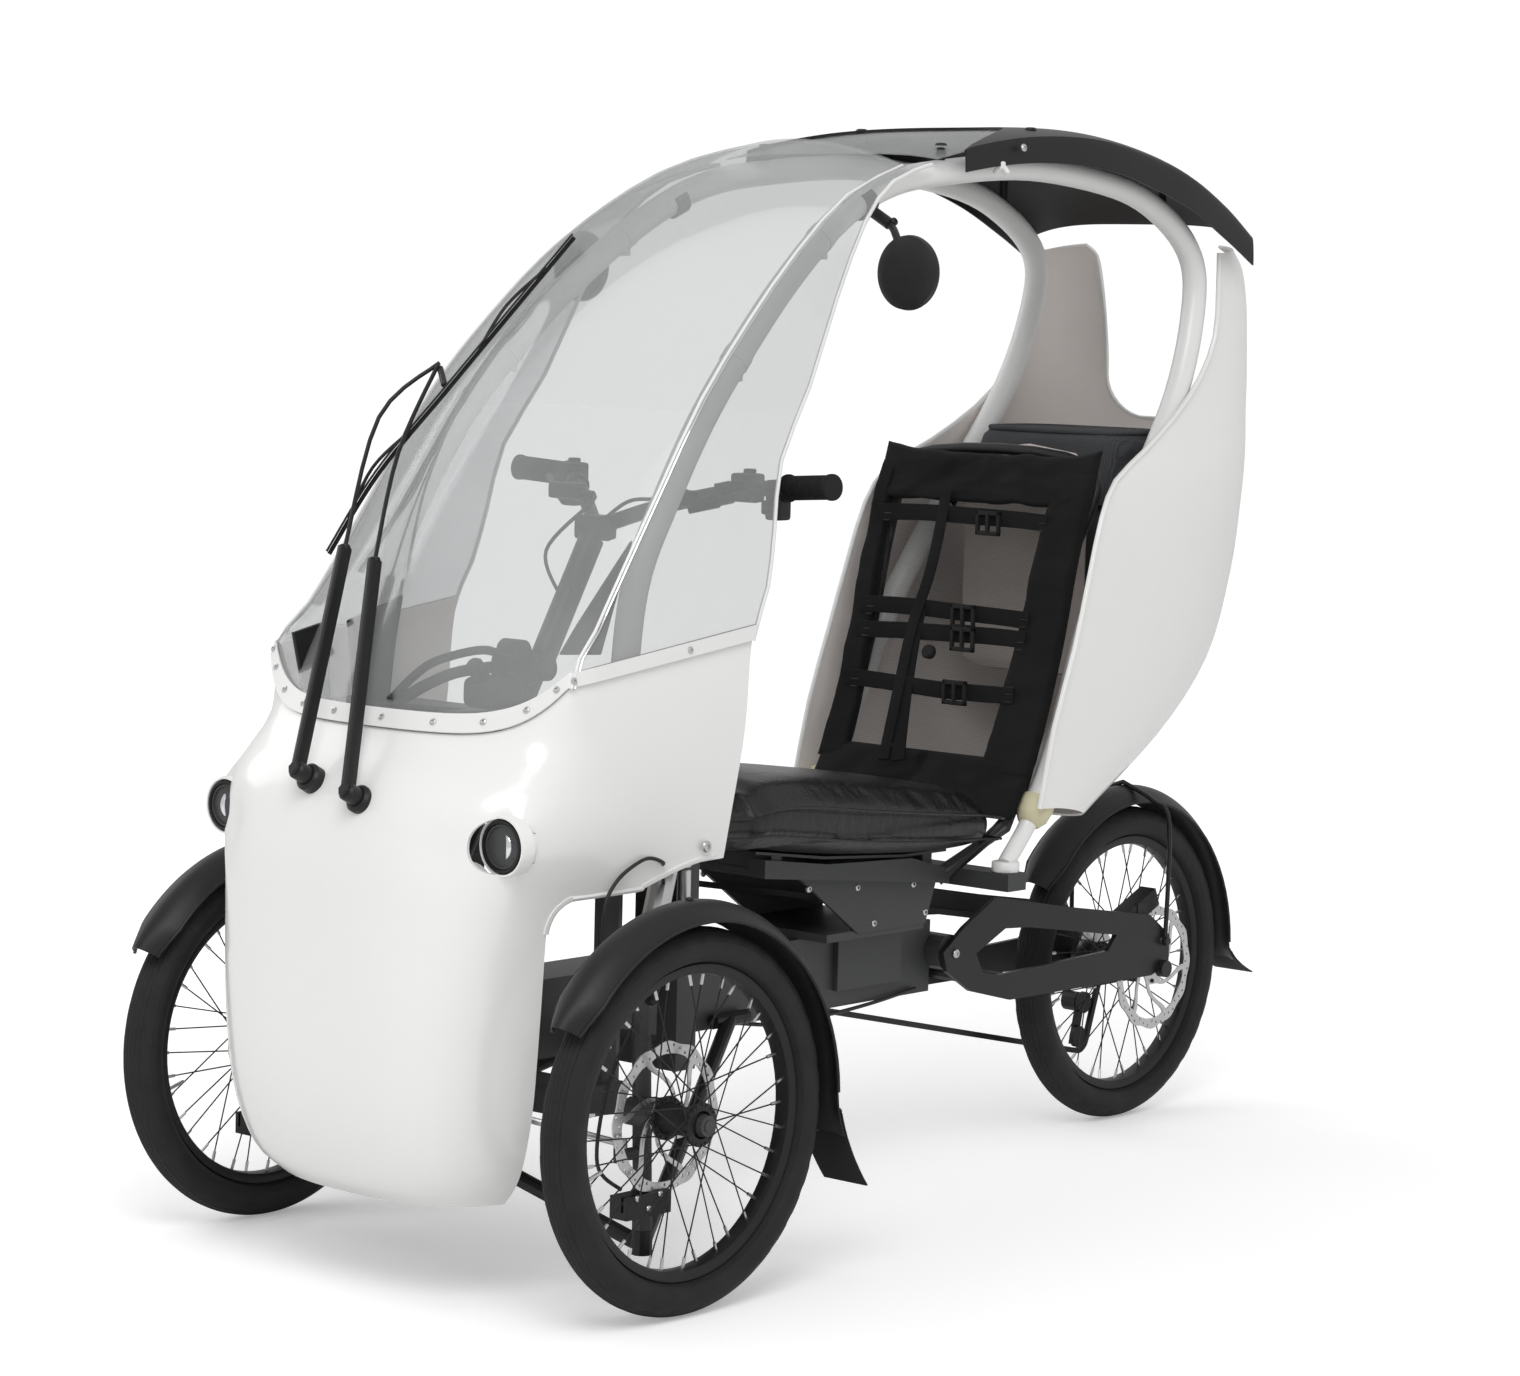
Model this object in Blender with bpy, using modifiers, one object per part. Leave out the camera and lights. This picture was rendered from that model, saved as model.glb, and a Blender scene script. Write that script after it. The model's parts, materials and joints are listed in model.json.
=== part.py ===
"""Tadpole velomobile with a fairing, windscreen, roof and tail shell.

Units are metres and +Z is up. The front faces -Y and the vehicle's left side is +X.
Pieces are laid out from the front axle: Y is zero there and grows towards the tail.
An empty then carries everything, so that the origin is under the middle of the vehicle.
"""

import math

import bmesh
import bpy
from mathutils import Matrix, Vector

# Overall sizes
WHEELBASE = 1.495
TRACK = 0.800
WHEEL_RADIUS = 0.255
ROOF_HEIGHT = 1.580
CABIN_HALF = TRACK / 2 - 0.115
SEAT_GAP = 0.0003
OVERRUN = 0.020

# Wheels
TYRE_HALF = 0.029
TYRE_DEPTH = 0.050
RIM_DEPTH = 0.012
RIM_OUTER = WHEEL_RADIUS - TYRE_DEPTH
RIM_INNER = RIM_OUTER - RIM_DEPTH
RIM_HALF = 0.015
BEAD_HALF = 0.0115
SPOKE_COUNT = 20
SPOKE_RADIUS = 0.0013
SPOKE_LEAN = math.radians(58)
SPOKE_PHASE = math.radians(2.3)
HUB_HALF = 0.031
HUB_BARREL = 0.019
HUB_FLANGE = 0.029
HUB_FLANGE_THICK = 0.004
FRONT_FLANGE_HALF = 0.029
REAR_FLANGE_HALF = 0.034
REAR_HUB_LEFT = 0.0710
REAR_HUB_RIGHT = 0.0460
AXLE_RADIUS = 0.0080
AXLE_CLEARANCE = 0.0006
ROTOR_RADIUS = 0.1015
ROTOR_INNER = 0.080
ROTOR_THICK = 0.0022
ROTOR_ARMS = 6
ROTOR_GAP = 0.0010
ROTOR_HUB = 0.030
AXLE_NUT_RADIUS = 0.014
AXLE_NUT_LENGTH = 0.012

# Fenders
FENDER_GAP = 0.043
FENDER_RADIUS = WHEEL_RADIUS + FENDER_GAP
FENDER_HALF = 0.038
FENDER_CROWN = 0.014
FENDER_THICK = 0.003
FENDER_START = math.radians(148)
FENDER_END = math.radians(2)
FENDER_STEPS = 15
FLAP_REACH = 0.056
FLAP_DROP = 0.128
REAR_FLAP_REACH = 0.058
REAR_FLAP_DROP = 0.050
FENDER_STAY = 0.004

# Frame
BEAM_HALF = 0.050
BEAM_TOP = ROOF_HEIGHT * 0.24367
BEAM_BOTTOM = ROOF_HEIGHT * 0.17405
BEAM_FRONT = -0.020
BEAM_REAR = WHEELBASE * 0.62876
CROSS_HALF = 0.215
CROSS_DEPTH = 0.030
CROSS_THICK = 0.040
TOWER_X = 0.205
TOWER_Y = 0.197
TOWER_HALF = 0.018
TOWER_TOP = ROOF_HEIGHT * 0.37975
OUTRIGGER_TOP = ROOF_HEIGHT * 0.19494
OUTRIGGER_BOTTOM = ROOF_HEIGHT * 0.17215
BOOM_HALF = 0.026
BOOM_FRONT = -0.150
BOOM_TOP = ROOF_HEIGHT * 0.22785
BOOM_BOTTOM = ROOF_HEIGHT * 0.18987
DROP_HALF = 0.092
DROP_BOTTOM = 0.140
DROP_Y = -0.045
DROP_THICK = 0.036
PIVOT_Y = WHEELBASE * 0.63746
PIVOT_Z = ROOF_HEIGHT * 0.21266
PIVOT_BOSS = 0.028
PIVOT_BOSS_HALF = 0.078
PIVOT_PIN = 0.011
PIN_CLEARANCE = 0.0006

# Front suspension: each joint's distance in from the wheel's middle
LOWER_BALL_INSET = 0.078
UPPER_BALL_INSET = 0.100
KNUCKLE_INSET = 0.082
STEER_ARM_INSET = 0.089
LOWER_BALL_X = TRACK / 2 - LOWER_BALL_INSET
LOWER_BALL_Y = 0.010
LOWER_BALL_Z = 0.112
UPPER_BALL_X = TRACK / 2 - UPPER_BALL_INSET
UPPER_BALL_Y = 0.022
UPPER_BALL_Z = 0.400
BALL_RADIUS = 0.014
ARM_RADIUS = 0.011
REAR_LEG_Y = 0.470
REAR_LEG_Z = 0.288
STRUT_RADIUS = 0.018
STRUT_TOP_X = 0.225
STRUT_TOP_Y = 0.150
STRUT_TOP_Z = ROOF_HEIGHT * 0.362
KNUCKLE_HALF = 0.013
KNUCKLE_X = TRACK / 2 - KNUCKLE_INSET
STEER_ARM_X = TRACK / 2 - STEER_ARM_INSET
STEER_ARM_Y = -0.024
STEER_ARM_RADIUS = 0.0095
TIE_ROD_RADIUS = 0.006
TIE_ROD_Z = 0.2155
TIE_ROD_INNER_X = 0.016

# Steering
STEM_BASE_Y = WHEELBASE * 0.09097
STEM_BASE_Z = ROOF_HEIGHT * 0.52152
STEM_TOP_Y = WHEELBASE * 0.15652
STEM_TOP_Z = ROOF_HEIGHT * 0.63038
STEM_RADIUS = 0.018
SHAFT_RADIUS = 0.0125
SLEEVE_RADIUS = 0.021
SLEEVE_LENGTH = 0.050
SHAFT_FOOT_Z = 0.262
COLUMN_STAY_Y = WHEELBASE * -0.10033
COLUMN_STAY_Z = ROOF_HEIGHT * 0.48418
PITMAN_LENGTH = 0.075
PITMAN_RADIUS = 0.009
BAR_RADIUS = 0.011
GRIP_RADIUS = 0.0165
LEVER_CLAMP = 0.022
LEVER_COLLAR = 0.016
LEVER_REACH = 0.030
LEVER_DROP = 0.012
LEVER_LENGTH = 0.085
LEVER_SPREAD = 0.012
GRIP_X = 0.300
GRIP_Y = WHEELBASE * 0.25753
GRIP_Z = ROOF_HEIGHT * 0.67342
GRIP_INNER_X = 0.209
GRIP_INNER_Y = WHEELBASE * 0.26488
GRIP_INNER_Z = ROOF_HEIGHT * 0.66962

# Cranks
CRANK_Y = 0.050
CRANK_Z = ROOF_HEIGHT * 0.3038
CRANK_LENGTH = 0.150
CRANK_INNER = 0.072
CRANK_THICK = 0.014
CRANK_HALF = 0.011
SHELL_RADIUS = 0.021
SHELL_HALF = 0.034
SPINDLE_RADIUS = 0.010
CHAINRING_RADIUS = 0.060
CHAINRING_THICK = 0.004
CHAIN_X = 0.060
PEDAL_INNER = 0.092
PEDAL_OUTER = 0.176
PEDAL_HALF = 0.040
PEDAL_THICK = 0.018

# Shells
FAIRING_THICK = 0.004
SCREEN_THICK = 0.003
SCREEN_GAP = 0.0005
SKIN_COLUMNS = 6
SIDE_COLUMNS = 2
ARCH_FRONT = -0.130
ARCH_TOP = ROOF_HEIGHT * 0.33987
ARCH_CORNER = 0.045
TAIL_THICK = 0.004
ROOF_THICK = 0.003
WINDOW_HALF = 0.130
WINDOW_SILL = ROOF_HEIGHT * 0.72152
WINDOW_CORNER = 0.070

# Each row: half width, corner y, corner z, front y, front z, rear x, rear y, rear z,
# then the power and root of the plan curve. Shares of CABIN_HALF, WHEELBASE and ROOF_HEIGHT.
SKIN_SHARES = (
    (0.754, -0.020, 0.085, -0.137, 0.079, 0.789, 0.040, 0.089, 3.5, 0.286),
    (0.835, -0.020, 0.111, -0.166, 0.104, 0.860, 0.054, 0.114, 3.5, 0.286),
    (0.898, -0.013, 0.161, -0.187, 0.158, 0.919, 0.080, 0.165, 3.5, 0.286),
    (0.933, -0.007, 0.228, -0.194, 0.228, 0.947, 0.100, 0.234, 3.5, 0.286),
    (0.968, 0.000, 0.316, -0.192, 0.310, 0.975, 0.127, 0.329, 3.5, 0.286),
    (0.993, 0.000, 0.392, -0.185, 0.380, 0.996, 0.142, 0.405, 3.5, 0.286),
    (1.007, -0.020, 0.456, -0.168, 0.430, 1.004, 0.155, 0.472, 3.0, 0.400),
    (0.982, -0.070, 0.515, -0.127, 0.472, 1.000, 0.162, 0.545, 2.2, 0.900),
    (0.940, -0.033, 0.560, -0.094, 0.538, 0.982, 0.184, 0.589, 2.0, 1.000),
    (0.919, -0.001, 0.601, -0.052, 0.611, 0.954, 0.197, 0.636, 2.0, 1.000),
    (0.902, 0.052, 0.673, -0.003, 0.690, 0.919, 0.212, 0.696, 2.0, 1.000),
    (0.877, 0.110, 0.748, 0.057, 0.769, 0.877, 0.258, 0.759, 2.0, 1.000),
    (0.842, 0.179, 0.815, 0.130, 0.842, 0.842, 0.301, 0.835, 2.0, 1.000),
    (0.796, 0.254, 0.876, 0.217, 0.905, 0.800, 0.348, 0.902, 2.0, 1.000),
    (0.719, 0.341, 0.927, 0.318, 0.956, 0.744, 0.401, 0.940, 2.0, 1.000),
    (0.649, 0.436, 0.956, 0.421, 0.978, 0.702, 0.468, 0.958, 2.0, 1.000),
)
FAIRING_TOP_ROW = 7.5
SCREEN_FOOT_ROW = 7
DIP_ROWS = (6, 7)
DIP_POWER = 6.0
ARCH_LIP_SHARES = ((0.021, 0.340), (0.086, 0.356), (0.137, 0.360), (0.334, 0.364))
PLAIN_POWER = 2.0

# Each row: front edge x, y, z, then the back wall's y and z on the centre line.
TAIL_SHARES = (
    (0.842, 0.638, 0.362, 0.763, 0.339),
    (0.842, 0.658, 0.437, 0.910, 0.408),
    (0.842, 0.688, 0.511, 1.003, 0.481),
    (0.828, 0.712, 0.577, 1.047, 0.570),
    (0.811, 0.734, 0.633, 1.065, 0.646),
    (0.782, 0.763, 0.668, 1.074, 0.696),
    (0.730, 0.825, 0.696, 1.077, 0.741),
    (0.688, 0.888, 0.729, 1.077, 0.785),
    (0.667, 0.936, 0.766, 1.070, 0.823),
    (0.660, 0.963, 0.807, 1.060, 0.861),
    (0.653, 0.968, 0.851, 1.047, 0.892),
    (0.639, 0.971, 0.890, 1.023, 0.900),
)
CLAMP_RADIUS = 0.0065
FAIRING_CLAMPS = ((0, 0.40, (0.9930, 0.0314, 0.4051)), (1, 0.0, (1.0035, 0.0341, 0.4842)))
SCREEN_CLAMPS = ((3, 0.53, (0.9123, 0.1117, 0.7101)), (6, 0.80, (0.8211, 0.3211, 0.8861)))
TAIL_CLAMPS = ((16, 0.0, (0.8070, 0.8328, 0.6430)), (18, 0.85, (0.8561, 0.7010, 0.4367)))
ROOF_CLAMP_ROWS = (9, 10, 12)
TAIL_POWER = 4.0
TAIL_COLUMNS = 8

# Each row: half width, y, crown z, shoulder z, flange z.
ROOF_SHARES = (
    (0.726, 0.482, 0.982, 0.976, 0.957),
    (0.754, 0.622, 0.996, 0.988, 0.965),
    (0.775, 0.738, 1.000, 0.987, 0.961),
    (0.779, 0.861, 0.985, 0.964, 0.934),
    (0.765, 0.972, 0.935, 0.915, 0.883),
)
ROOF_COLUMN_SHARES = (-1.0, -0.985, -0.93, -0.62, 0.0, 0.62, 0.93, 0.985, 1.0)

# The white hoop tube, from its foot in the nose to its foot behind the seat.
HOOP_RADIUS = 0.019
HOOP_SHARES = (
    (0.760, 0.030, 0.360),
    (0.790, 0.034, 0.480),
    (0.805, 0.045, 0.590),
    (0.800, 0.085, 0.664),
    (0.778, 0.138, 0.735),
    (0.735, 0.208, 0.803),
    (0.690, 0.272, 0.855),
    (0.640, 0.345, 0.903),
    (0.610, 0.420, 0.936),
    (0.590, 0.510, 0.952),
    (0.570, 0.656, 0.962),
    (0.555, 0.806, 0.950),
    (0.545, 0.890, 0.925),
    (0.540, 0.945, 0.886),
    (0.555, 0.950, 0.835),
    (0.590, 0.915, 0.750),
    (0.640, 0.830, 0.640),
    (0.690, 0.750, 0.530),
    (0.722, 0.695, 0.420),
    (0.732, 0.655, 0.355),
    (0.735, 0.612, 0.310),
)
HOOP_STEPS = 2
HOOP_FOOT = 0.012

# Seat: each cushion row is y, half width, bottom z and top z.
CUSHION_SHARES = (
    (0.178, 0.52, 0.356, 0.380),
    (0.190, 0.60, 0.352, 0.392),
    (0.215, 0.64, 0.351, 0.395),
    (0.241, 0.67, 0.350, 0.394),
    (0.252, 0.70, 0.349, 0.402),
    (0.300, 0.71, 0.341, 0.408),
    (0.400, 0.71, 0.3285, 0.398),
    (0.520, 0.71, 0.3205, 0.384),
    (0.590, 0.68, 0.3205, 0.374),
    (0.6155, 0.60, 0.326, 0.362),
)
CUSHION_POWER = 3.2
CUSHION_RING = 20
# Each row: y and z of the seat back's front face.
BACK_SHARES = (
    (0.617, 0.350),
    (0.655, 0.410),
    (0.690, 0.508),
    (0.712, 0.594),
    (0.745, 0.696),
)
BACK_HALF = 0.208
BACK_THICK = 0.018
STRAP_SHARES = (0.470, 0.520, 0.549, 0.630)
STRAP_HALF = 0.016
BACK_BORDER = 0.052
BACK_SPINE = 0.018
BACK_SKIRT_SHARE = 0.432
BACK_HEADER_SHARE = 0.668

# Seat frame
PAN_ROWS = (5, 9)
PAN_THICK = 0.004
FRAME_TUBE = 0.009
RAIL_SHARES = ((0.308, 0.333), (0.308, 0.316), (0.590, 0.288), (0.590, 0.302), (0.530, 0.3165), (0.400, 0.3215))
RAIL_OUTER = 0.130
RAIL_WIDTH = 0.030
CHEEK_X = 0.098
CHEEK_THICK = 0.006
CHEEK_SHARES = ((0.365, 0.318), (0.575, 0.296), (0.590, 0.286), (0.575, 0.2490), (0.470, 0.2490))
SADDLE_TOP_THICK = 0.012
SADDLE_Y_SHARES = (0.425, 0.575)
SADDLE_CLAMP_SHARES = (0.476, 0.575)
SADDLE_CLAMP_THICK = 0.010
SADDLE_CLAMP_DROP = ROOF_HEIGHT * 0.05696
SEAT_CROSS_SHARES = (0.330, 0.560)
FOOT_BAR_HALF = 0.232
FOOT_BAR_Y = HOOP_SHARES[-1][1] * WHEELBASE
FOOT_BAR_DEPTH = 0.022
FOOT_BAR_TOP = HOOP_SHARES[-1][2] * ROOF_HEIGHT - HOOP_FOOT - SEAT_GAP
FOOT_BAR_THICK = 0.026

# Swingarm: the plate's outline and its slot, as y and the height over the line from pivot to axle.
SWING_PLATE_X = 0.086
SWING_PLATE_THICK = 0.008
SWING_SHARES = (
    (0.618, -0.0025),
    (0.652, 0.1636),
    (0.703, 0.3570),
    (0.830, 0.3381),
    (0.975, 0.3350),
    (1.012, 0.2187),
    (1.012, 0.0267),
    (0.980, -0.0509),
    (0.731, -0.2598),
    (0.665, -0.2216),
    (0.625, -0.1141),
)
SLOT_SHARES = ((0.672, 0.0076), (0.720, 0.1736), (0.760, 0.1931), (0.915, 0.1895), (0.900, 0.0834), (0.712, -0.1123), (0.684, -0.0996))
BRIDGE_Y = WHEELBASE * 0.74582
BRIDGE_Z = ROOF_HEIGHT * 0.17215
REAR_CALIPER_LEAN = math.radians(24)
BRIDGE_RADIUS = 0.013
DROPOUT_NUT = 0.014
CALIPER_LENGTH = 0.085
CALIPER_HEIGHT = 0.045
CALIPER_INNER = 0.022
CALIPER_OUTER = 0.0080

# Drive
CASSETTE_RADIUS = 0.052
CASSETTE_THICK = 0.026
CASSETTE_STEP_SHARES = (1.0, 0.77, 0.55)
BELT_STEP = math.radians(12)
PULLEY_RADIUS = 0.018
UPPER_PULLEY_Y = WHEELBASE - 0.007
UPPER_PULLEY_Z = WHEEL_RADIUS - 0.075
LOWER_PULLEY_Y = WHEELBASE - 0.020
LOWER_PULLEY_Z = WHEEL_RADIUS - 0.130
CAGE_THICK = 0.004
SWING_HANGER_Z = WHEEL_RADIUS - 0.015
CHAIN_HALF = 0.0035
CHAIN_THICK = 0.009
CHAIN_CLEARANCE = 0.001

# Lamps, mirrors and wiper
LAMP_X = 0.262
LAMP_Z = ROOF_HEIGHT * 0.38987
LAMP_FACE_Y = WHEELBASE * -0.13779
LAMP_RADIUS = 0.033
LAMP_DEPTH = 0.085
LAMP_CLEARANCE = 0.0004
MIRROR_X = 0.311
MIRROR_Y = WHEELBASE * 0.34649
MIRROR_Z = ROOF_HEIGHT * 0.85949
MIRROR_RADIUS = 0.052
MIRROR_THICK = 0.018
MIRROR_ARM = 0.006
MIRROR_CLAMP_X = 0.232
MIRROR_CLAMP_Y = WHEELBASE * 0.38462
MIRROR_CLAMP_Z = ROOF_HEIGHT * 0.9019
MIRROR_ROW = 7
MIRROR_ROW_SHARE = 0.53
WIPER_ARM = 0.005
WIPER_BLADE = 0.006
WIPER_SPINDLE = 0.0627
SPINDLE_DIRECTION = Vector((0, 0.878, -0.479))
WIPER_LEFT_ARM = (
    (0.2035, -0.1886, 0.4253),
    (-0.2632, -0.0763, 0.6057),
    (-0.4912, -0.0080, 0.6937),
    (-0.5789, 0.0569, 0.7690),
)
WIPER_RIGHT_ARM = (
    (-0.1333, -0.1880, 0.4373),
    (-0.4912, -0.0722, 0.6139),
    (-0.7018, 0.0054, 0.7228),
    (-0.5789, 0.0589, 0.7709),
)
WIPER_BLADE_PATH = (
    (-0.7789, -0.0415, 0.6057),
    (-0.6316, -0.0080, 0.6759),
    (-0.4561, 0.0455, 0.7494),
    (-0.3509, 0.1070, 0.8177),
    (-0.2982, 0.1773, 0.8842),
)
# Each row of the cargo bag: height, middle y, half width, half depth.
BAG_SHARES = (
    (0.470, 0.878, 0.40, 0.26),
    (0.476, 0.877, 0.46, 0.31),
    (0.500, 0.876, 0.49, 0.34),
    (0.600, 0.876, 0.49, 0.35),
    (0.690, 0.878, 0.48, 0.34),
    (0.708, 0.879, 0.45, 0.31),
    (0.713, 0.880, 0.40, 0.26),
)
BAG_RING = 16
BAG_ROW = 16

# Facets
ROUND_SIDES = 16
ROD_SIDES = 12
WHEEL_STEPS = 36
ROTOR_STEPS = 24

METAL = {"metallic": 1.0}
PALETTE = {
    "shell": ((0.80, 0.80, 0.78, 1.0), 0.25, 0.0),
    "clear": ((0.85, 0.88, 0.90, 0.30), 0.05, 0.0),
    "satin_black": ((0.03, 0.03, 0.032, 1.0), 0.45, 0.0),
    "frame_grey": ((0.09, 0.09, 0.09, 1.0), 0.50, 0.3),
    "rubber": ((0.035, 0.034, 0.033, 1.0), 0.80, 0.0),
    "silver": ((0.62, 0.62, 0.62, 1.0), 0.30, 1.0),
    "fabric": ((0.03, 0.03, 0.03, 1.0), 0.90, 0.0),
    "leather": ((0.04, 0.038, 0.038, 1.0), 0.50, 0.0),
}

NOSE_Y = min(row[3] for row in SKIN_SHARES) * WHEELBASE
TAIL_Y = WHEELBASE + FENDER_RADIUS + REAR_FLAP_REACH
MIDDLE_Y = (NOSE_Y + TAIL_Y) / 2
HALF_TRACK = TRACK / 2
LEFT, RIGHT = 1, -1
SIDES = (("left", LEFT), ("right", RIGHT))
FRONT_CENTRES = {side: Vector((sign * HALF_TRACK, 0, WHEEL_RADIUS)) for side, sign in SIDES}
REAR_CENTRE = Vector((0, WHEELBASE, WHEEL_RADIUS))
ROTOR_X = HUB_HALF + SEAT_GAP + ROTOR_THICK / 2
REAR_ROTOR_X = REAR_HUB_LEFT + SEAT_GAP + ROTOR_THICK / 2
STEM_AXIS = Vector((0, STEM_TOP_Y - STEM_BASE_Y, STEM_TOP_Z - STEM_BASE_Z)).normalized()
STEM_BASE = Vector((0, STEM_BASE_Y, STEM_BASE_Z))


def clear_scene():
    for old in list(bpy.data.objects):
        bpy.data.objects.remove(old, do_unlink=True)


def make_materials():
    made = {}
    for name, (color, roughness, metallic) in PALETTE.items():
        material = bpy.data.materials.new(name)
        material.use_nodes = True
        shader = material.node_tree.nodes["Principled BSDF"]
        shader.inputs["Base Color"].default_value = color
        shader.inputs["Alpha"].default_value = color[3]
        shader.inputs["Roughness"].default_value = roughness
        shader.inputs["Metallic"].default_value = metallic
        made[name] = material
    return made


def loose_object(bm, name="piece"):
    """A mesh object that isn't a finished piece yet."""
    bmesh.ops.recalc_face_normals(bm, faces=bm.faces)
    mesh = bpy.data.meshes.new(name)
    bm.to_mesh(mesh)
    bm.free()
    made = bpy.data.objects.new(name, mesh)
    PARTS.objects.link(made)
    return made


def box(low, high):
    low, high = Vector(low), Vector(high)
    bm = bmesh.new()
    place = Matrix.Translation((low + high) / 2) @ Matrix.Diagonal((*(high - low), 1))
    bmesh.ops.create_cube(bm, size=1, matrix=place)
    return loose_object(bm)


def rod(start, end, radius, sides=ROD_SIDES, end_radius=None):
    start, end = Vector(start), Vector(end)
    turn = Vector((0, 0, 1)).rotation_difference(end - start).to_matrix().to_4x4()
    bm = bmesh.new()
    bmesh.ops.create_cone(
        bm,
        cap_ends=True,
        segments=sides,
        radius1=radius,
        radius2=radius if end_radius is None else end_radius,
        depth=(end - start).length,
        matrix=Matrix.Translation((start + end) / 2) @ turn,
    )
    return loose_object(bm)


def plate(outline, low_x, high_x):
    """A flat outline of (y, z) points, as thick as from low_x to high_x."""
    bm = bmesh.new()
    face = bm.faces.new([bm.verts.new((low_x, y, z)) for y, z in outline])
    pushed = bmesh.ops.extrude_face_region(bm, geom=[face])["geom"]
    corners = [item for item in pushed if isinstance(item, bmesh.types.BMVert)]
    bmesh.ops.translate(bm, verts=corners, vec=(high_x - low_x, 0, 0))
    return loose_object(bm)


def turned(profile, centre, steps=WHEEL_STEPS):
    """A closed profile of (x, radius) points, turned about the X axis through centre."""
    bm = bmesh.new()
    points = [bm.verts.new((x, 0, radius)) for x, radius in profile]
    loop = [bm.edges.new((a, b)) for a, b in zip(points, points[1:] + points[:1])]
    bmesh.ops.spin(
        bm,
        geom=points + loop,
        axis=(1, 0, 0),
        cent=(0, 0, 0),
        steps=steps,
        angle=math.tau,
        use_merge=True,
    )
    bmesh.ops.remove_doubles(bm, verts=bm.verts, dist=1e-6)
    bmesh.ops.translate(bm, verts=bm.verts, vec=centre)
    return loose_object(bm)


def smooth_path(points, steps):
    """Points along a Catmull-Rom curve through the given ones."""
    ends = [points[0] * 2 - points[1], *points, points[-1] * 2 - points[-2]]
    path = []
    for a, b, c, d in zip(ends, ends[1:], ends[2:], ends[3:]):
        for step in range(steps):
            t = step / steps
            path.append(
                (b * 2 + (c - a) * t + (a * 2 - b * 5 + c * 4 - d) * t**2 + (b * 3 - a - c * 3 + d) * t**3) / 2
            )
    return path + [points[-1]]


def tube(path, radius, resolution=3):
    curve = bpy.data.curves.new("tube", "CURVE")
    curve.dimensions = "3D"
    curve.bevel_depth = radius
    curve.bevel_resolution = resolution
    curve.use_fill_caps = True
    spline = curve.splines.new("POLY")
    spline.points.add(len(path) - 1)
    for place, point in zip(spline.points, path):
        place.co = (*point, 1)
    wire = bpy.data.objects.new("tube", curve)
    PARTS.objects.link(wire)
    bpy.context.view_layer.update()
    graph = bpy.context.evaluated_depsgraph_get()
    mesh = bpy.data.meshes.new_from_object(wire.evaluated_get(graph))
    bpy.data.objects.remove(wire)
    bm = bmesh.new()
    bm.from_mesh(mesh)
    bmesh.ops.remove_doubles(bm, verts=bm.verts, dist=1e-6)
    return loose_object(bm)


def sheet(rows, thickness, side, lift=0, open_cells=()):
    """A shell over a grid of points, thickened outwards where side is 1 and inwards where it is -1."""
    bm = bmesh.new()
    grid = [[bm.verts.new(point) for point in row] for row in rows]
    for row, (low, high) in enumerate(zip(grid, grid[1:])):
        for column, corners in enumerate(zip(low, low[1:], high[1:], high)):
            if (row, column) not in open_cells:
                bm.faces.new(corners)
    bm.normal_update()
    raised = [vert.co + vert.normal * lift for vert in bm.verts]
    for vert, place in zip(bm.verts, raised):
        vert.co = place
    mesh = bpy.data.meshes.new("sheet")
    bm.to_mesh(mesh)
    bm.free()
    shell = bpy.data.objects.new("sheet", mesh)
    PARTS.objects.link(shell)
    solid = shell.modifiers.new("thickness", "SOLIDIFY")
    solid.thickness = thickness
    solid.offset = side
    solid.use_even_offset = True
    apply_modifiers(shell)
    return shell


def apply_modifiers(piece):
    bpy.context.view_layer.update()
    graph = bpy.context.evaluated_depsgraph_get()
    mesh = bpy.data.meshes.new_from_object(piece.evaluated_get(graph))
    piece.modifiers.clear()
    piece.data = mesh


def boolean(base, tool, operation, crossing=False):
    step = base.modifiers.new(operation, "BOOLEAN")
    step.operation = operation
    step.solver = "EXACT" if crossing else "MANIFOLD"
    step.use_self = crossing
    step.object = tool
    apply_modifiers(base)
    bpy.data.objects.remove(tool)
    return base


def fuse(base, *others):
    for other in others:
        boolean(base, other, "UNION")
    return base


def cut(base, *tools):
    for tool in tools:
        boolean(base, tool, "DIFFERENCE")
    return base


def joined(pieces):
    """Loose pieces in one mesh, for a single Boolean."""
    bm = bmesh.new()
    for piece in pieces:
        bm.from_mesh(piece.data)
        bpy.data.objects.remove(piece)
    return loose_object(bm)


def finish(piece, name, material, origin=None):
    """Names a piece, gives it its material and hangs it on the vehicle's empty."""
    piece.name = name
    piece.data.name = name
    origin = Vector(origin) if origin else Vector((0, 0, 0))
    piece.data.transform(Matrix.Translation(-origin))
    piece.location = origin
    piece.parent = VEHICLE
    piece.data.materials.clear()
    piece.data.materials.append(MATERIALS[material])
    piece.data.shade_smooth()
    piece.data.set_sharp_from_angle(angle=math.radians(35))
    return piece


def scaled(pairs):
    return [(y * WHEELBASE, z * ROOF_HEIGHT) for y, z in pairs]


# Hoop tubes, which the shells, the roof and the mirrors are held on


def cabin_point(shares, sign=1):
    x, y, z = shares
    return Vector((sign * x * CABIN_HALF, y * WHEELBASE, z * ROOF_HEIGHT))


def hoop_point(index, sign):
    return cabin_point(HOOP_SHARES[index], sign)


def hoop_tube(sign, radius):
    path = smooth_path([hoop_point(index, sign) for index in range(len(HOOP_SHARES))], HOOP_STEPS)
    down = Vector((0, 0, HOOP_FOOT))
    return tube([path[0] - down, *path, path[-1] - down], radius, 2)


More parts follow.
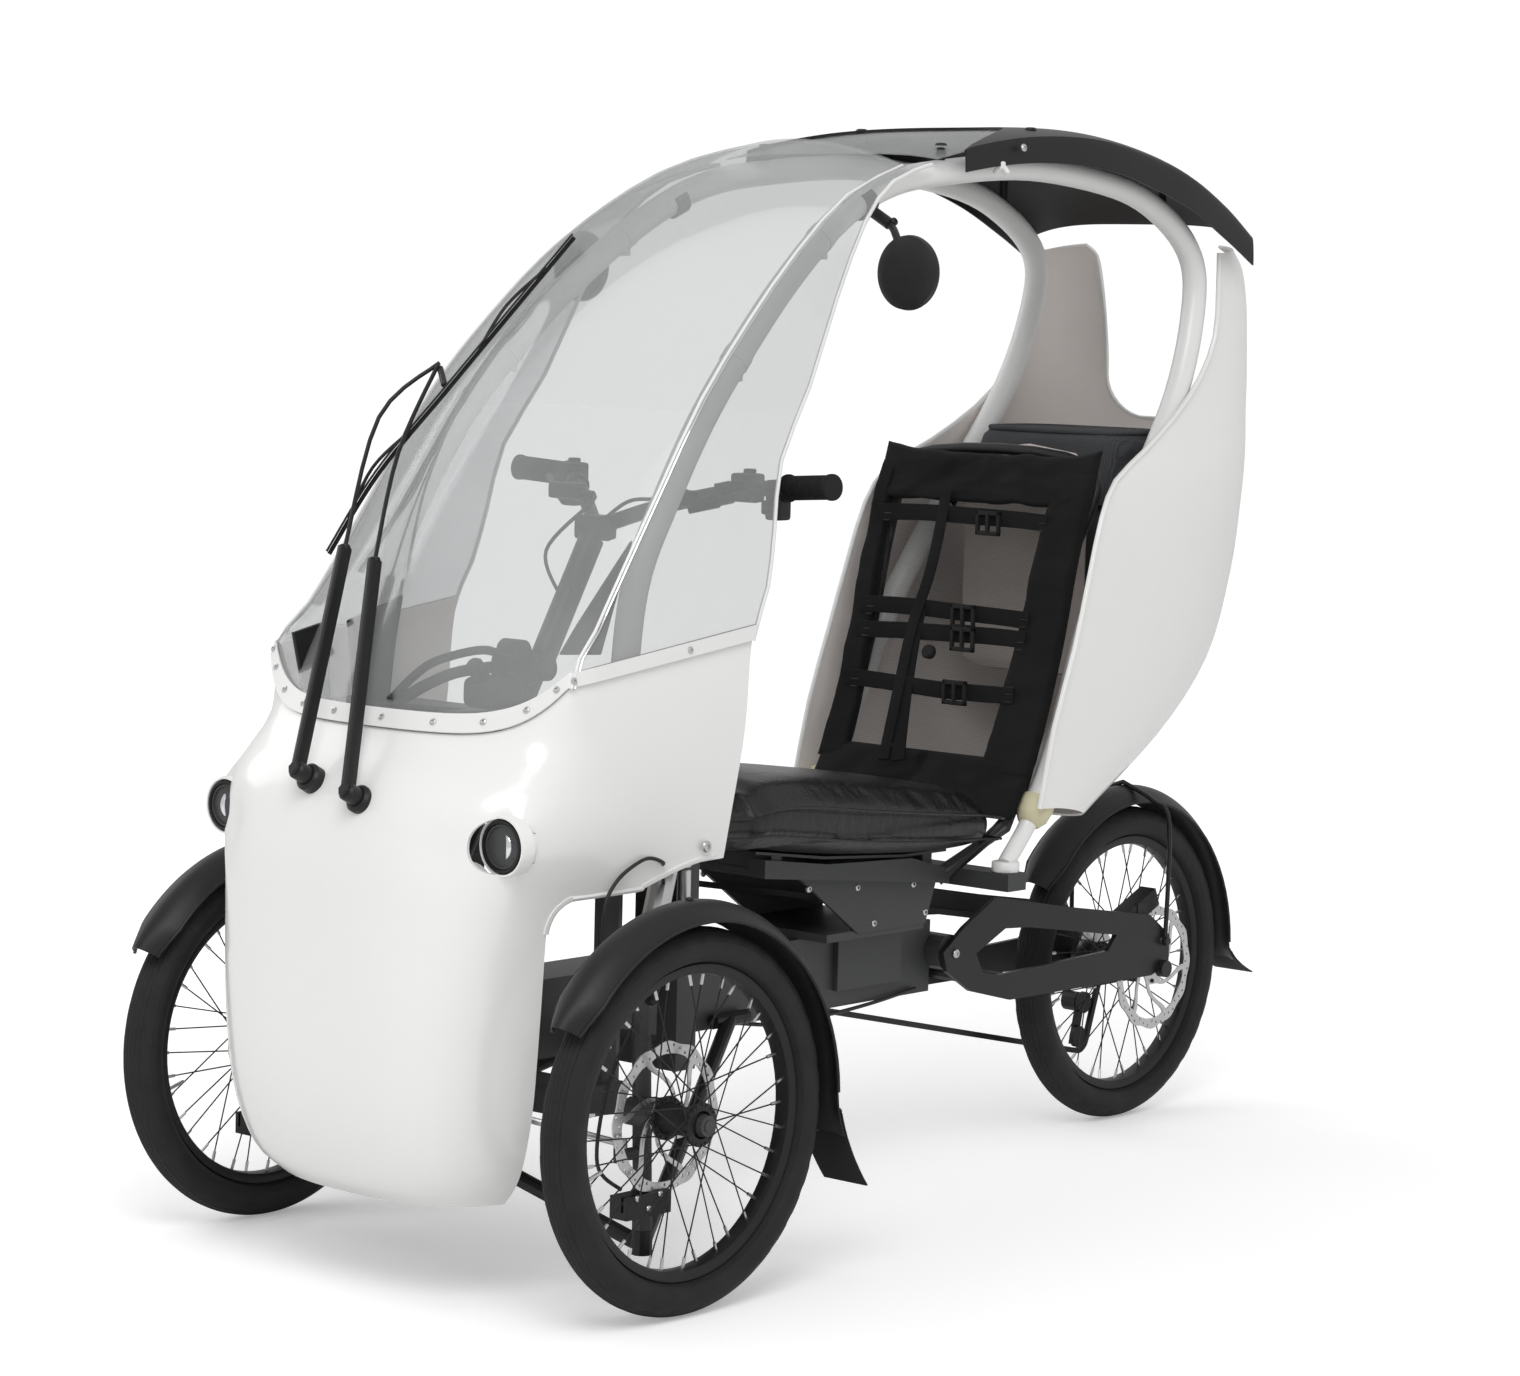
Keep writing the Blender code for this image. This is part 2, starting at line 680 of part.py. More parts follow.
def seat_on_hoop(piece, sign):
    """Trims what reaches into a hoop tube, so that it bears on the tube."""
    return cut(piece, hoop_tube(sign, HOOP_RADIUS + SEAT_GAP))


def hoop_clamps(piece, places):
    """Bolts from a shell to the hoop tubes: each place is a hoop row, a share to the next row, and where the bolt starts."""
    for side, sign in SIDES:
        for index, share, start in places:
            middle = hoop_point(index, sign).lerp(hoop_point(index + 1, sign), share)
            fuse(piece, rod(cabin_point(start, sign), middle, CLAMP_RADIUS))
        seat_on_hoop(piece, sign)
    return piece


# Wheels


def rim_profile():
    return (
        (-BEAD_HALF, RIM_INNER),
        (BEAD_HALF, RIM_INNER),
        (RIM_HALF, RIM_OUTER),
        (-RIM_HALF, RIM_OUTER),
    )


def tyre_profile():
    foot = RIM_OUTER + SEAT_GAP * 2
    height = WHEEL_RADIUS - foot
    sides = []
    for angle in range(0, 181, 30):
        turn = math.radians(angle)
        sides.append((TYRE_HALF * math.cos(turn), foot + height / 2 + height / 2 * math.sin(turn)))
    return (*sides, (-BEAD_HALF, foot), (BEAD_HALF, foot))


def hub_profile(low, high, flange):
    bore = AXLE_RADIUS + AXLE_CLEARANCE
    thick = HUB_FLANGE_THICK
    return (
        (low, bore),
        (high, bore),
        (high, HUB_BARREL),
        (flange, HUB_BARREL),
        (flange, HUB_FLANGE),
        (flange - thick, HUB_FLANGE),
        (flange - thick * 2, HUB_BARREL),
        (-flange + thick * 2, HUB_BARREL),
        (-flange + thick, HUB_FLANGE),
        (-flange, HUB_FLANGE),
        (-flange, HUB_BARREL),
        (low, HUB_BARREL),
    )


def spokes(half):
    """Crossed spokes from alternate flanges to the rim, as loose rods in one mesh."""
    rods = []
    for index in range(SPOKE_COUNT):
        flange = 1 if index % 2 else -1
        lean = SPOKE_LEAN if index // 2 % 2 else -SPOKE_LEAN
        at_rim = math.tau * index / SPOKE_COUNT + SPOKE_PHASE
        at_hub = at_rim + lean
        hub_radius = HUB_FLANGE - HUB_FLANGE_THICK / 2
        foot = (flange * (half - HUB_FLANGE_THICK / 2), hub_radius * math.cos(at_hub), hub_radius * math.sin(at_hub))
        rim_radius = (RIM_INNER + RIM_OUTER) / 2 - HUB_FLANGE_THICK / 2
        head = (flange * BEAD_HALF / 2, rim_radius * math.cos(at_rim), rim_radius * math.sin(at_rim))
        rods.append(rod(foot, head, SPOKE_RADIUS, sides=3))
    return joined(rods)


def make_wheel(name, centre, low, high, flange):
    finish(turned(tyre_profile(), centre), name + "_tyre", "rubber", centre)
    wheel = turned(rim_profile(), (0, 0, 0))
    hub = turned(hub_profile(low, high, flange), (0, 0, 0), ROUND_SIDES)
    boolean(hub, spokes(flange), "UNION", crossing=True)
    boolean(wheel, hub, "UNION")
    wheel.data.transform(Matrix.Translation(centre))
    finish(wheel, name + "_wheel", "satin_black", centre)


def make_rotor(name, centre, x):
    """A brake disc with swept arms, on the hub's side at x."""
    bore = AXLE_RADIUS + AXLE_CLEARANCE
    low, high = x - ROTOR_THICK / 2, x + ROTOR_THICK / 2
    rim = ((low, ROTOR_INNER), (high, ROTOR_INNER), (high, ROTOR_RADIUS), (low, ROTOR_RADIUS))
    ring = turned(rim, (0, 0, 0), ROTOR_STEPS)
    carrier = turned(((low, bore), (high, bore), (high, ROTOR_HUB), (low, ROTOR_HUB)), (0, 0, 0), ROTOR_STEPS // 2)
    for index in range(ROTOR_ARMS):
        turn = math.tau * index / ROTOR_ARMS
        lead = turn + math.pi / ROTOR_ARMS
        inner, outer = ROTOR_HUB - ROTOR_THICK, ROTOR_INNER + ROTOR_THICK
        width = ROTOR_THICK * 2
        corners = []
        for radius, angle, push in ((inner, turn, -1), (outer, lead, -1), (outer, lead, 1), (inner, turn, 1)):
            spread = push * width / radius
            corners.append((radius * math.cos(angle + spread), radius * math.sin(angle + spread)))
        fuse(carrier, plate(corners, low, high))
    fuse(ring, carrier)
    ring.data.transform(Matrix.Translation(centre))
    finish(ring, name, "silver", centre)


def fender_rows(reach, drop):
    """Rows across a fender, from its front tip over the wheel to the end of its flap."""
    across = [-1, -0.6, 0, 0.6, 1]
    spine = []
    for step in range(FENDER_STEPS + 1):
        angle = FENDER_START + (FENDER_END - FENDER_START) * step / FENDER_STEPS
        spine.append((FENDER_RADIUS, angle))
    rows = []
    for radius, angle in spine:
        row = []
        for share in across:
            r = radius - FENDER_CROWN * share**2
            row.append(Vector((share * FENDER_HALF, r * math.cos(angle), r * math.sin(angle))))
        rows.append(row)
    for part in (1 / 3, 2 / 3, 1):
        row = []
        for share in across:
            y = FENDER_RADIUS - FENDER_CROWN * share**2 * (1 - part) + reach * part**2
            row.append(Vector((share * FENDER_HALF, y, -drop * part)))
        rows.append(row)
    return rows


def make_fender(name, centre, reach, drop, stays):
    rows = [[centre + point for point in row] for row in fender_rows(reach, drop)]
    guard = sheet(rows, FENDER_THICK, -1)
    fuse(guard, *stays)
    return finish(guard, name, "satin_black", centre)


# Frame


def make_frame():
    frame = box((-BEAM_HALF, BEAM_FRONT, BEAM_BOTTOM), (BEAM_HALF, BEAM_REAR, BEAM_TOP))
    cross_top = BEAM_BOTTOM + SEAT_GAP
    cross = box(
        (-CROSS_HALF, -CROSS_DEPTH, cross_top - CROSS_THICK),
        (CROSS_HALF, CROSS_DEPTH, cross_top),
    )
    drop = box(
        (-DROP_HALF, DROP_Y - DROP_THICK / 2, DROP_BOTTOM),
        (DROP_HALF, DROP_Y + DROP_THICK / 2, cross_top),
    )
    drop_web = box(
        (-BEAM_HALF, DROP_Y, cross_top - CROSS_THICK),
        (BEAM_HALF, CROSS_DEPTH / 2, BEAM_BOTTOM + CROSS_THICK),
    )
    outrigger = box(
        (-TOWER_X, TOWER_Y - TOWER_HALF, OUTRIGGER_BOTTOM),
        (TOWER_X, TOWER_Y + TOWER_HALF, OUTRIGGER_TOP),
    )
    fuse(frame, cross, drop, drop_web, outrigger)
    for sign in (LEFT, RIGHT):
        inner, outer = sorted((sign * (TOWER_X - TOWER_HALF), sign * (TOWER_X + TOWER_HALF)))
        tower = box(
            (inner, TOWER_Y - TOWER_HALF * 1.1, OUTRIGGER_BOTTOM - SEAT_GAP),
            (outer, TOWER_Y + TOWER_HALF * 1.1, TOWER_TOP),
        )
        fuse(frame, tower)
        hoop_foot = HOOP_SHARES[0]
        post_x = sign * hoop_foot[0] * CABIN_HALF
        post_y = hoop_foot[1] * WHEELBASE
        post = rod(
            (post_x, post_y, cross_top - CROSS_THICK / 2),
            (post_x, post_y, hoop_foot[2] * ROOF_HEIGHT - HOOP_FOOT - SEAT_GAP),
            HOOP_RADIUS,
        )
        foot = box(
            (post_x - HOOP_RADIUS, -CROSS_DEPTH - SEAT_GAP, cross_top - CROSS_THICK - SEAT_GAP),
            (post_x + HOOP_RADIUS, post_y + HOOP_RADIUS, cross_top + SEAT_GAP),
        )
        fuse(frame, foot, post)
    boom = box((-BOOM_HALF, BOOM_FRONT, BOOM_BOTTOM), (BOOM_HALF, BEAM_FRONT + OVERRUN, BOOM_TOP))
    fuse(frame, boom, shaft_sleeve(BOOM_TOP - BOOM_HALF, SLEEVE_LENGTH * 2))
    cut(frame, shaft_bore(BOOM_TOP))
    mast = box(
        (-SHELL_HALF / 2, CRANK_Y - SHELL_RADIUS, BEAM_TOP - SEAT_GAP),
        (SHELL_HALF / 2, CRANK_Y + SHELL_RADIUS, CRANK_Z),
    )
    shell = rod((-SHELL_HALF, CRANK_Y, CRANK_Z), (SHELL_HALF, CRANK_Y, CRANK_Z), SHELL_RADIUS)
    bore = rod(
        (-SHELL_HALF - OVERRUN, CRANK_Y, CRANK_Z),
        (SHELL_HALF + OVERRUN, CRANK_Y, CRANK_Z),
        SPINDLE_RADIUS + PIN_CLEARANCE,
        ROUND_SIDES,
    )
    fuse(frame, mast, shell)
    cut(frame, bore)
    boss = rod((-PIVOT_BOSS_HALF, PIVOT_Y, PIVOT_Z), (PIVOT_BOSS_HALF, PIVOT_Y, PIVOT_Z), PIVOT_BOSS, ROUND_SIDES)
    pin_hole = rod(
        (-PIVOT_BOSS_HALF - OVERRUN, PIVOT_Y, PIVOT_Z),
        (PIVOT_BOSS_HALF + OVERRUN, PIVOT_Y, PIVOT_Z),
        PIVOT_PIN + PIN_CLEARANCE,
        ROUND_SIDES,
    )
    fuse(frame, boss)
    cut(frame, pin_hole)
    finish(frame, "frame", "frame_grey")


def on_stem_axis(z):
    return STEM_BASE + STEM_AXIS * ((z - STEM_BASE_Z) / STEM_AXIS.z)


def shaft_sleeve(z, length):
    middle = on_stem_axis(z)
    return rod(middle - STEM_AXIS * length / 2, middle + STEM_AXIS * length / 2, SLEEVE_RADIUS, ROUND_SIDES)


def shaft_bore(z):
    reach = STEM_AXIS * WHEEL_RADIUS
    middle = on_stem_axis(z)
    return rod(middle - reach, middle + reach, SHAFT_RADIUS + PIN_CLEARANCE, ROUND_SIDES)


def lower_ball(sign):
    return Vector((sign * LOWER_BALL_X, LOWER_BALL_Y, LOWER_BALL_Z))


def upper_ball(sign):
    return Vector((sign * UPPER_BALL_X, UPPER_BALL_Y, UPPER_BALL_Z))


def make_lower_arm(side, sign):
    ball = lower_ball(sign)
    seat = ball - Vector((0, 0, BALL_RADIUS))
    front = Vector((sign * (DROP_HALF + SEAT_GAP * 2 + ARM_RADIUS), DROP_Y, DROP_BOTTOM + ARM_RADIUS * 1.5))
    rear = Vector((sign * (BEAM_HALF + SEAT_GAP + ARM_RADIUS * 1.05), REAR_LEG_Y, REAR_LEG_Z))
    eye = rod(
        front - Vector((0, DROP_THICK / 2, 0)),
        front + Vector((0, DROP_THICK / 2, 0)),
        ARM_RADIUS,
    )
    rear_eye = rod(
        rear - Vector((0, DROP_THICK, 0)),
        rear + Vector((0, DROP_THICK, 0)),
        ARM_RADIUS,
    )
    cup = rod(seat - Vector((0, 0, ARM_RADIUS * 3)), seat - Vector((0, 0, SEAT_GAP)), BALL_RADIUS)
    hub = seat - Vector((0, 0, ARM_RADIUS * 1.9))
    arm = rod(front, hub, ARM_RADIUS)
    fuse(arm, rod(rear, hub, ARM_RADIUS), eye, rear_eye, cup)
    finish(arm, "lower_arm_" + side, "satin_black")


def make_strut(side, sign):
    """The suspension leg, from the cup over the upper ball to the tower."""
    seat = upper_ball(sign) + Vector((0, 0, BALL_RADIUS + SEAT_GAP))
    top = Vector((sign * STRUT_TOP_X, STRUT_TOP_Y, STRUT_TOP_Z))
    foot = seat + Vector((0, 0, ARM_RADIUS))
    strut = rod(seat, seat + Vector((0, 0, ARM_RADIUS * 2)), BALL_RADIUS)
    middle = foot.lerp(top, 0.45)
    head = box(
        (top.x - STRUT_RADIUS, top.y, top.z - STRUT_RADIUS),
        (top.x + STRUT_RADIUS, TOWER_Y - TOWER_HALF * 1.1 - SEAT_GAP, top.z + STRUT_RADIUS * 0.8),
    )
    fuse(strut, rod(foot, foot.lerp(top, 0.5), ARM_RADIUS), rod(middle, top, STRUT_RADIUS), head)
    finish(strut, "strut_" + side, "silver")


def make_knuckle(side, sign):
    """Upright with its two ball joints, the wheel's axle, the steering arm and the caliper bracket."""
    low, high = lower_ball(sign), upper_ball(sign)
    bottom = low + Vector((0, 0, SEAT_GAP - BALL_RADIUS))
    top = high - Vector((0, 0, SEAT_GAP - BALL_RADIUS))
    knuckle = rod(bottom, low + Vector((0, 0, BALL_RADIUS)), BALL_RADIUS)
    fuse(knuckle, rod(top, high - Vector((0, 0, BALL_RADIUS)), BALL_RADIUS))
    web = rod(low, high, KNUCKLE_HALF)
    centre = FRONT_CENTRES[side]
    inner = Vector((sign * (KNUCKLE_X - KNUCKLE_HALF), 0, WHEEL_RADIUS))
    seat = Vector((sign * (HALF_TRACK - ROTOR_X - ROTOR_THICK / 2 - ROTOR_GAP), 0, WHEEL_RADIUS))
    tip = Vector((sign * (HALF_TRACK + HUB_HALF + AXLE_NUT_LENGTH), 0, WHEEL_RADIUS))
    nut_seat = centre + Vector((sign * (HUB_HALF + AXLE_CLEARANCE), 0, 0))
    fuse(
        knuckle,
        web,
        rod(inner, seat, AXLE_RADIUS * 2.4),
        rod(seat, tip + Vector((sign * AXLE_CLEARANCE * 3, 0, 0)), AXLE_RADIUS, ROUND_SIDES),
        rod(nut_seat, tip, AXLE_NUT_RADIUS),
    )
    arm_tip = steer_arm_tip(sign)
    kingpin = low.lerp(high, (arm_tip.z - low.z) / (high.z - low.z))
    boss = kingpin_axis(sign) * STEER_ARM_RADIUS
    fuse(knuckle, rod(kingpin, arm_tip, STEER_ARM_RADIUS * 0.9), rod(arm_tip - boss, arm_tip + boss, STEER_ARM_RADIUS))
    finish(knuckle, "knuckle_" + side, "frame_grey", low)


def kingpin_axis(sign):
    return (upper_ball(sign) - lower_ball(sign)).normalized()


def steer_arm_tip(sign):
    drop = TIE_ROD_RADIUS + STEER_ARM_RADIUS + SEAT_GAP
    return Vector((sign * STEER_ARM_X, STEER_ARM_Y, TIE_ROD_Z)) - kingpin_axis(sign) * drop


def pitman_tip():
    foot = on_stem_axis(SHAFT_FOOT_Z)
    return foot - Vector((0, STEM_AXIS.z, -STEM_AXIS.y)) * PITMAN_LENGTH


def make_tie_rod(side, sign):
    outer = Vector((sign * STEER_ARM_X, STEER_ARM_Y, TIE_ROD_Z))
    inner = pitman_tip()
    inner = outer.lerp(inner, 1 - TIE_ROD_INNER_X / STEER_ARM_X)
    eye = kingpin_axis(sign) * TIE_ROD_RADIUS
    link = rod(outer, inner, TIE_ROD_RADIUS * 0.8)
    fuse(link, rod(outer - eye, outer + eye, STEER_ARM_RADIUS))
    finish(link, "tie_rod_" + side, "silver", outer)


def caliper_body(sign, x):
    """Two pads' housings under the disc's edge at x, with the thin one on the wheel's side."""
    slot = ROTOR_THICK / 2 + ROTOR_GAP
    height = CALIPER_HEIGHT / 2
    inner, outer = x - sign * CALIPER_INNER, x + sign * CALIPER_OUTER
    body = box((min(inner, outer), -CALIPER_LENGTH / 2, -height), (max(inner, outer), CALIPER_LENGTH / 2, height / 3))
    return cut(body, box((x - slot, -CALIPER_LENGTH, -height * 0.55), (x + slot, CALIPER_LENGTH, height)))


def make_front_caliper(side, sign):
    x = sign * (HALF_TRACK - ROTOR_X)
    body = caliper_body(sign, x)
    drop = WHEEL_RADIUS - ROTOR_RADIUS
    body.data.transform(Matrix.Translation((0, -CALIPER_LENGTH / 2 + TIE_ROD_RADIUS, drop)))
    low, high = lower_ball(sign), upper_ball(sign)
    level = drop - CALIPER_HEIGHT / 3
    start = low.lerp(high, (level - low.z) / (high.z - low.z))
    fuse(body, rod(start, (x - sign * CALIPER_INNER / 2, -TIE_ROD_RADIUS, level), TIE_ROD_RADIUS))
    cut(body, rod(low, high, KNUCKLE_HALF + SEAT_GAP))
    finish(body, "caliper_front_" + side, "satin_black", lower_ball(sign))


def make_front_corner(side, sign):
    centre = FRONT_CENTRES[side]
    make_wheel("front_" + side, centre, -HUB_HALF, HUB_HALF, FRONT_FLANGE_HALF)
    make_rotor("front_" + side + "_rotor", centre, -sign * ROTOR_X)
    make_lower_arm(side, sign)
    make_strut(side, sign)
    make_knuckle(side, sign)
    make_tie_rod(side, sign)
    make_front_caliper(side, sign)
    top = centre + Vector((0, 0, FENDER_RADIUS - FENDER_THICK))
    root = upper_ball(sign) + Vector((sign * (BALL_RADIUS + FENDER_STAY + SEAT_GAP), 0, 0))
    bend = Vector((top.x - sign * FENDER_HALF * 0.8, root.y, top.z - FENDER_CROWN * 2))
    stay = rod(root, bend, FENDER_STAY)
    fuse(stay, rod(bend, top, FENDER_STAY))
    make_fender("fender_front_" + side, centre, FLAP_REACH, FLAP_DROP, [stay])


# Steering


def make_steering():
    foot = on_stem_axis(SHAFT_FOOT_Z)
    stem_top = Vector((0, STEM_TOP_Y, STEM_TOP_Z))
    column = rod(foot, STEM_BASE, SHAFT_RADIUS, ROUND_SIDES)
    neck = stem_top - STEM_AXIS * (BAR_RADIUS * 1.6 + SEAT_GAP)
    fuse(column, rod(STEM_BASE - STEM_AXIS * STEM_RADIUS, neck, STEM_RADIUS, ROUND_SIDES))
    fuse(column, rod(foot + STEM_AXIS * PITMAN_RADIUS, pitman_tip(), PITMAN_RADIUS))
    finish(column, "steering_column", "satin_black", STEM_BASE)
    bar = rod(
        (-STEM_RADIUS * 1.3, STEM_TOP_Y, STEM_TOP_Z),
        (STEM_RADIUS * 1.3, STEM_TOP_Y, STEM_TOP_Z),
        BAR_RADIUS * 1.6,
    )
    for side, sign in SIDES:
        inner = Vector((sign * GRIP_INNER_X, GRIP_INNER_Y, GRIP_INNER_Z))
        outer = Vector((sign * GRIP_X, GRIP_Y, GRIP_Z))
        along = (outer - inner).normalized()
        path = [
            stem_top,
            stem_top.lerp(inner, 0.35) + Vector((0, 0, BAR_RADIUS)),
            stem_top.lerp(inner, 0.75) + Vector((0, 0, BAR_RADIUS)),
            inner - along * GRIP_RADIUS,
        ]
        fuse(bar, tube([*smooth_path(path, 3), inner], BAR_RADIUS, 2))
        grip = rod(inner + along * SEAT_GAP, outer, GRIP_RADIUS, ROUND_SIDES)
        finish(grip, "grip_" + side, "rubber", STEM_BASE)
    finish(bar, "handlebar", "satin_black", STEM_BASE)
    for side, sign in SIDES:
        make_lever(side, sign)


def make_lever(side, sign):
    """The brake lever's clamp on the bar, its reservoir and blade, and the switch box beside it."""
    stem_top = Vector((0, STEM_TOP_Y, STEM_TOP_Z))
    inner = Vector((sign * GRIP_INNER_X, GRIP_INNER_Y, GRIP_INNER_Z))
    rise = Vector((0, 0, BAR_RADIUS))
    low, high = stem_top.lerp(inner, 0.35) + rise, stem_top.lerp(inner, 0.75) + rise
    along = (high - low).normalized()
    ahead = Vector((0, -1, 0))
    clamp = high - along * LEVER_CLAMP
    lever = rod(clamp - along * LEVER_CLAMP / 2, clamp + along * LEVER_CLAMP / 2, LEVER_COLLAR)
    body = clamp + ahead * LEVER_REACH + Vector((0, 0, -LEVER_DROP))
    tip = body + along * LEVER_LENGTH + ahead * LEVER_SPREAD
    fuse(
        lever,
        rod(clamp + ahead * LEVER_COLLAR / 2, body, LEVER_COLLAR * 0.6),
        rod(body - along * LEVER_CLAMP * 1.4, body + along * LEVER_CLAMP * 0.6, LEVER_COLLAR * 0.62),
        rod(body, tip, LEVER_COLLAR * 0.34),
    )
    path = [stem_top, low, high, inner - (Vector((sign * GRIP_X, GRIP_Y, GRIP_Z)) - inner).normalized() * GRIP_RADIUS]
    cut(lever, tube(smooth_path(path, 3), BAR_RADIUS + SEAT_GAP, 2))
    finish(lever, "brake_lever_" + side, "satin_black", STEM_BASE)


def make_column_stay():
    """The upper bearing of the steering column, held from the nose."""
    middle = on_stem_axis(STEM_BASE_Z - STEM_RADIUS * 2 - SLEEVE_LENGTH)
    stay = shaft_sleeve(middle.z, SLEEVE_LENGTH)
    front = Vector((0, COLUMN_STAY_Y, COLUMN_STAY_Z))
    fuse(stay, rod(front, middle, BAR_RADIUS))
    finish(cut(stay, shaft_bore(middle.z)), "column_stay", "satin_black")


# Cranks


def make_cranks():
    spindle = rod((-CRANK_INNER, CRANK_Y, CRANK_Z), (CRANK_INNER, CRANK_Y, CRANK_Z), SPINDLE_RADIUS, ROUND_SIDES)
    for side, sign in SIDES:
        reach = -sign * CRANK_LENGTH
        low, high = sorted((sign * (CRANK_INNER - SEAT_GAP), sign * (CRANK_INNER + CRANK_THICK)))
        ends = sorted((CRANK_Y - math.copysign(CRANK_HALF, reach), CRANK_Y + reach + math.copysign(CRANK_HALF, reach)))
        fuse(spindle, box((low, ends[0], CRANK_Z - CRANK_HALF), (high, ends[1], CRANK_Z + CRANK_HALF)))
        centre = Vector((sign * PEDAL_INNER, CRANK_Y + reach, CRANK_Z))
        pedal = box(
            (min(centre.x, sign * PEDAL_OUTER), centre.y - PEDAL_HALF, CRANK_Z - PEDAL_THICK / 2),
            (max(centre.x, sign * PEDAL_OUTER), centre.y + PEDAL_HALF, CRANK_Z + PEDAL_THICK / 2),
        )
        start = Vector((sign * (CRANK_INNER + CRANK_THICK + SEAT_GAP), centre.y, CRANK_Z))
        fuse(pedal, rod(start, centre + Vector((sign * PEDAL_THICK, 0, 0)), SPINDLE_RADIUS * 0.6))
        finish(pedal, "pedal_" + side, "satin_black", centre)
    inner = SPINDLE_RADIUS / 2
    low, high = -CHAIN_X - CHAINRING_THICK / 2, -CHAIN_X + CHAINRING_THICK / 2
    ring = turned(
        ((low, inner), (high, inner), (high, CHAINRING_RADIUS), (low, CHAINRING_RADIUS)),
        (0, CRANK_Y, CRANK_Z),
    )
    fuse(spindle, ring)
    finish(spindle, "crankset", "silver", (0, CRANK_Y, CRANK_Z))


def belt_path(circles):
    """Points of a belt round circles of (y, z, radius), given clockwise as seen from +X mirrored."""
    count = len(circles)
    normals = []
    for index in range(count):
        ya, za, ra = circles[index]
        yb, zb, rb = circles[(index + 1) % count]
        span = math.hypot(yb - ya, zb - za)
        dy, dz = (yb - ya) / span, (zb - za) / span
        lean = (ra - rb) / span
        rise = math.sqrt(1 - lean**2)
        normals.append(math.atan2(dz * lean + dy * rise, dy * lean - dz * rise))
    path = []
    for index in range(count):
        y, z, radius = circles[index]
        start, end = normals[index - 1], normals[index]
        turn = (start - end) % math.tau
        steps = max(1, round(turn / BELT_STEP))
        for step in range(steps + 1):
            angle = start - turn * step / steps
            path.append((y + radius * math.cos(angle), z + radius * math.sin(angle)))
    return path


def belt(path, thick, low_x, high_x):
    """A closed band of this thickness along a path of (y, z) points."""
    bm = bmesh.new()
    rings = []
    count = len(path)
    for index in range(count):
        before, here, after = Vector(path[index - 1]), Vector(path[index]), Vector(path[(index + 1) % count])
        along = (after - before).normalized()
        out = Vector((-along.y, along.x)) * thick / 2
        ring = []
        for x, push in ((low_x, 1), (high_x, 1), (high_x, -1), (low_x, -1)):
            point = here + out * push
            ring.append(bm.verts.new((x, point.x, point.y)))
        rings.append(ring)
    for ring, following in zip(rings, rings[1:] + rings[:1]):
        for corner in range(4):
            after = (corner + 1) % 4
            bm.faces.new((ring[corner], ring[after], following[after], following[corner]))
    return loose_object(bm)


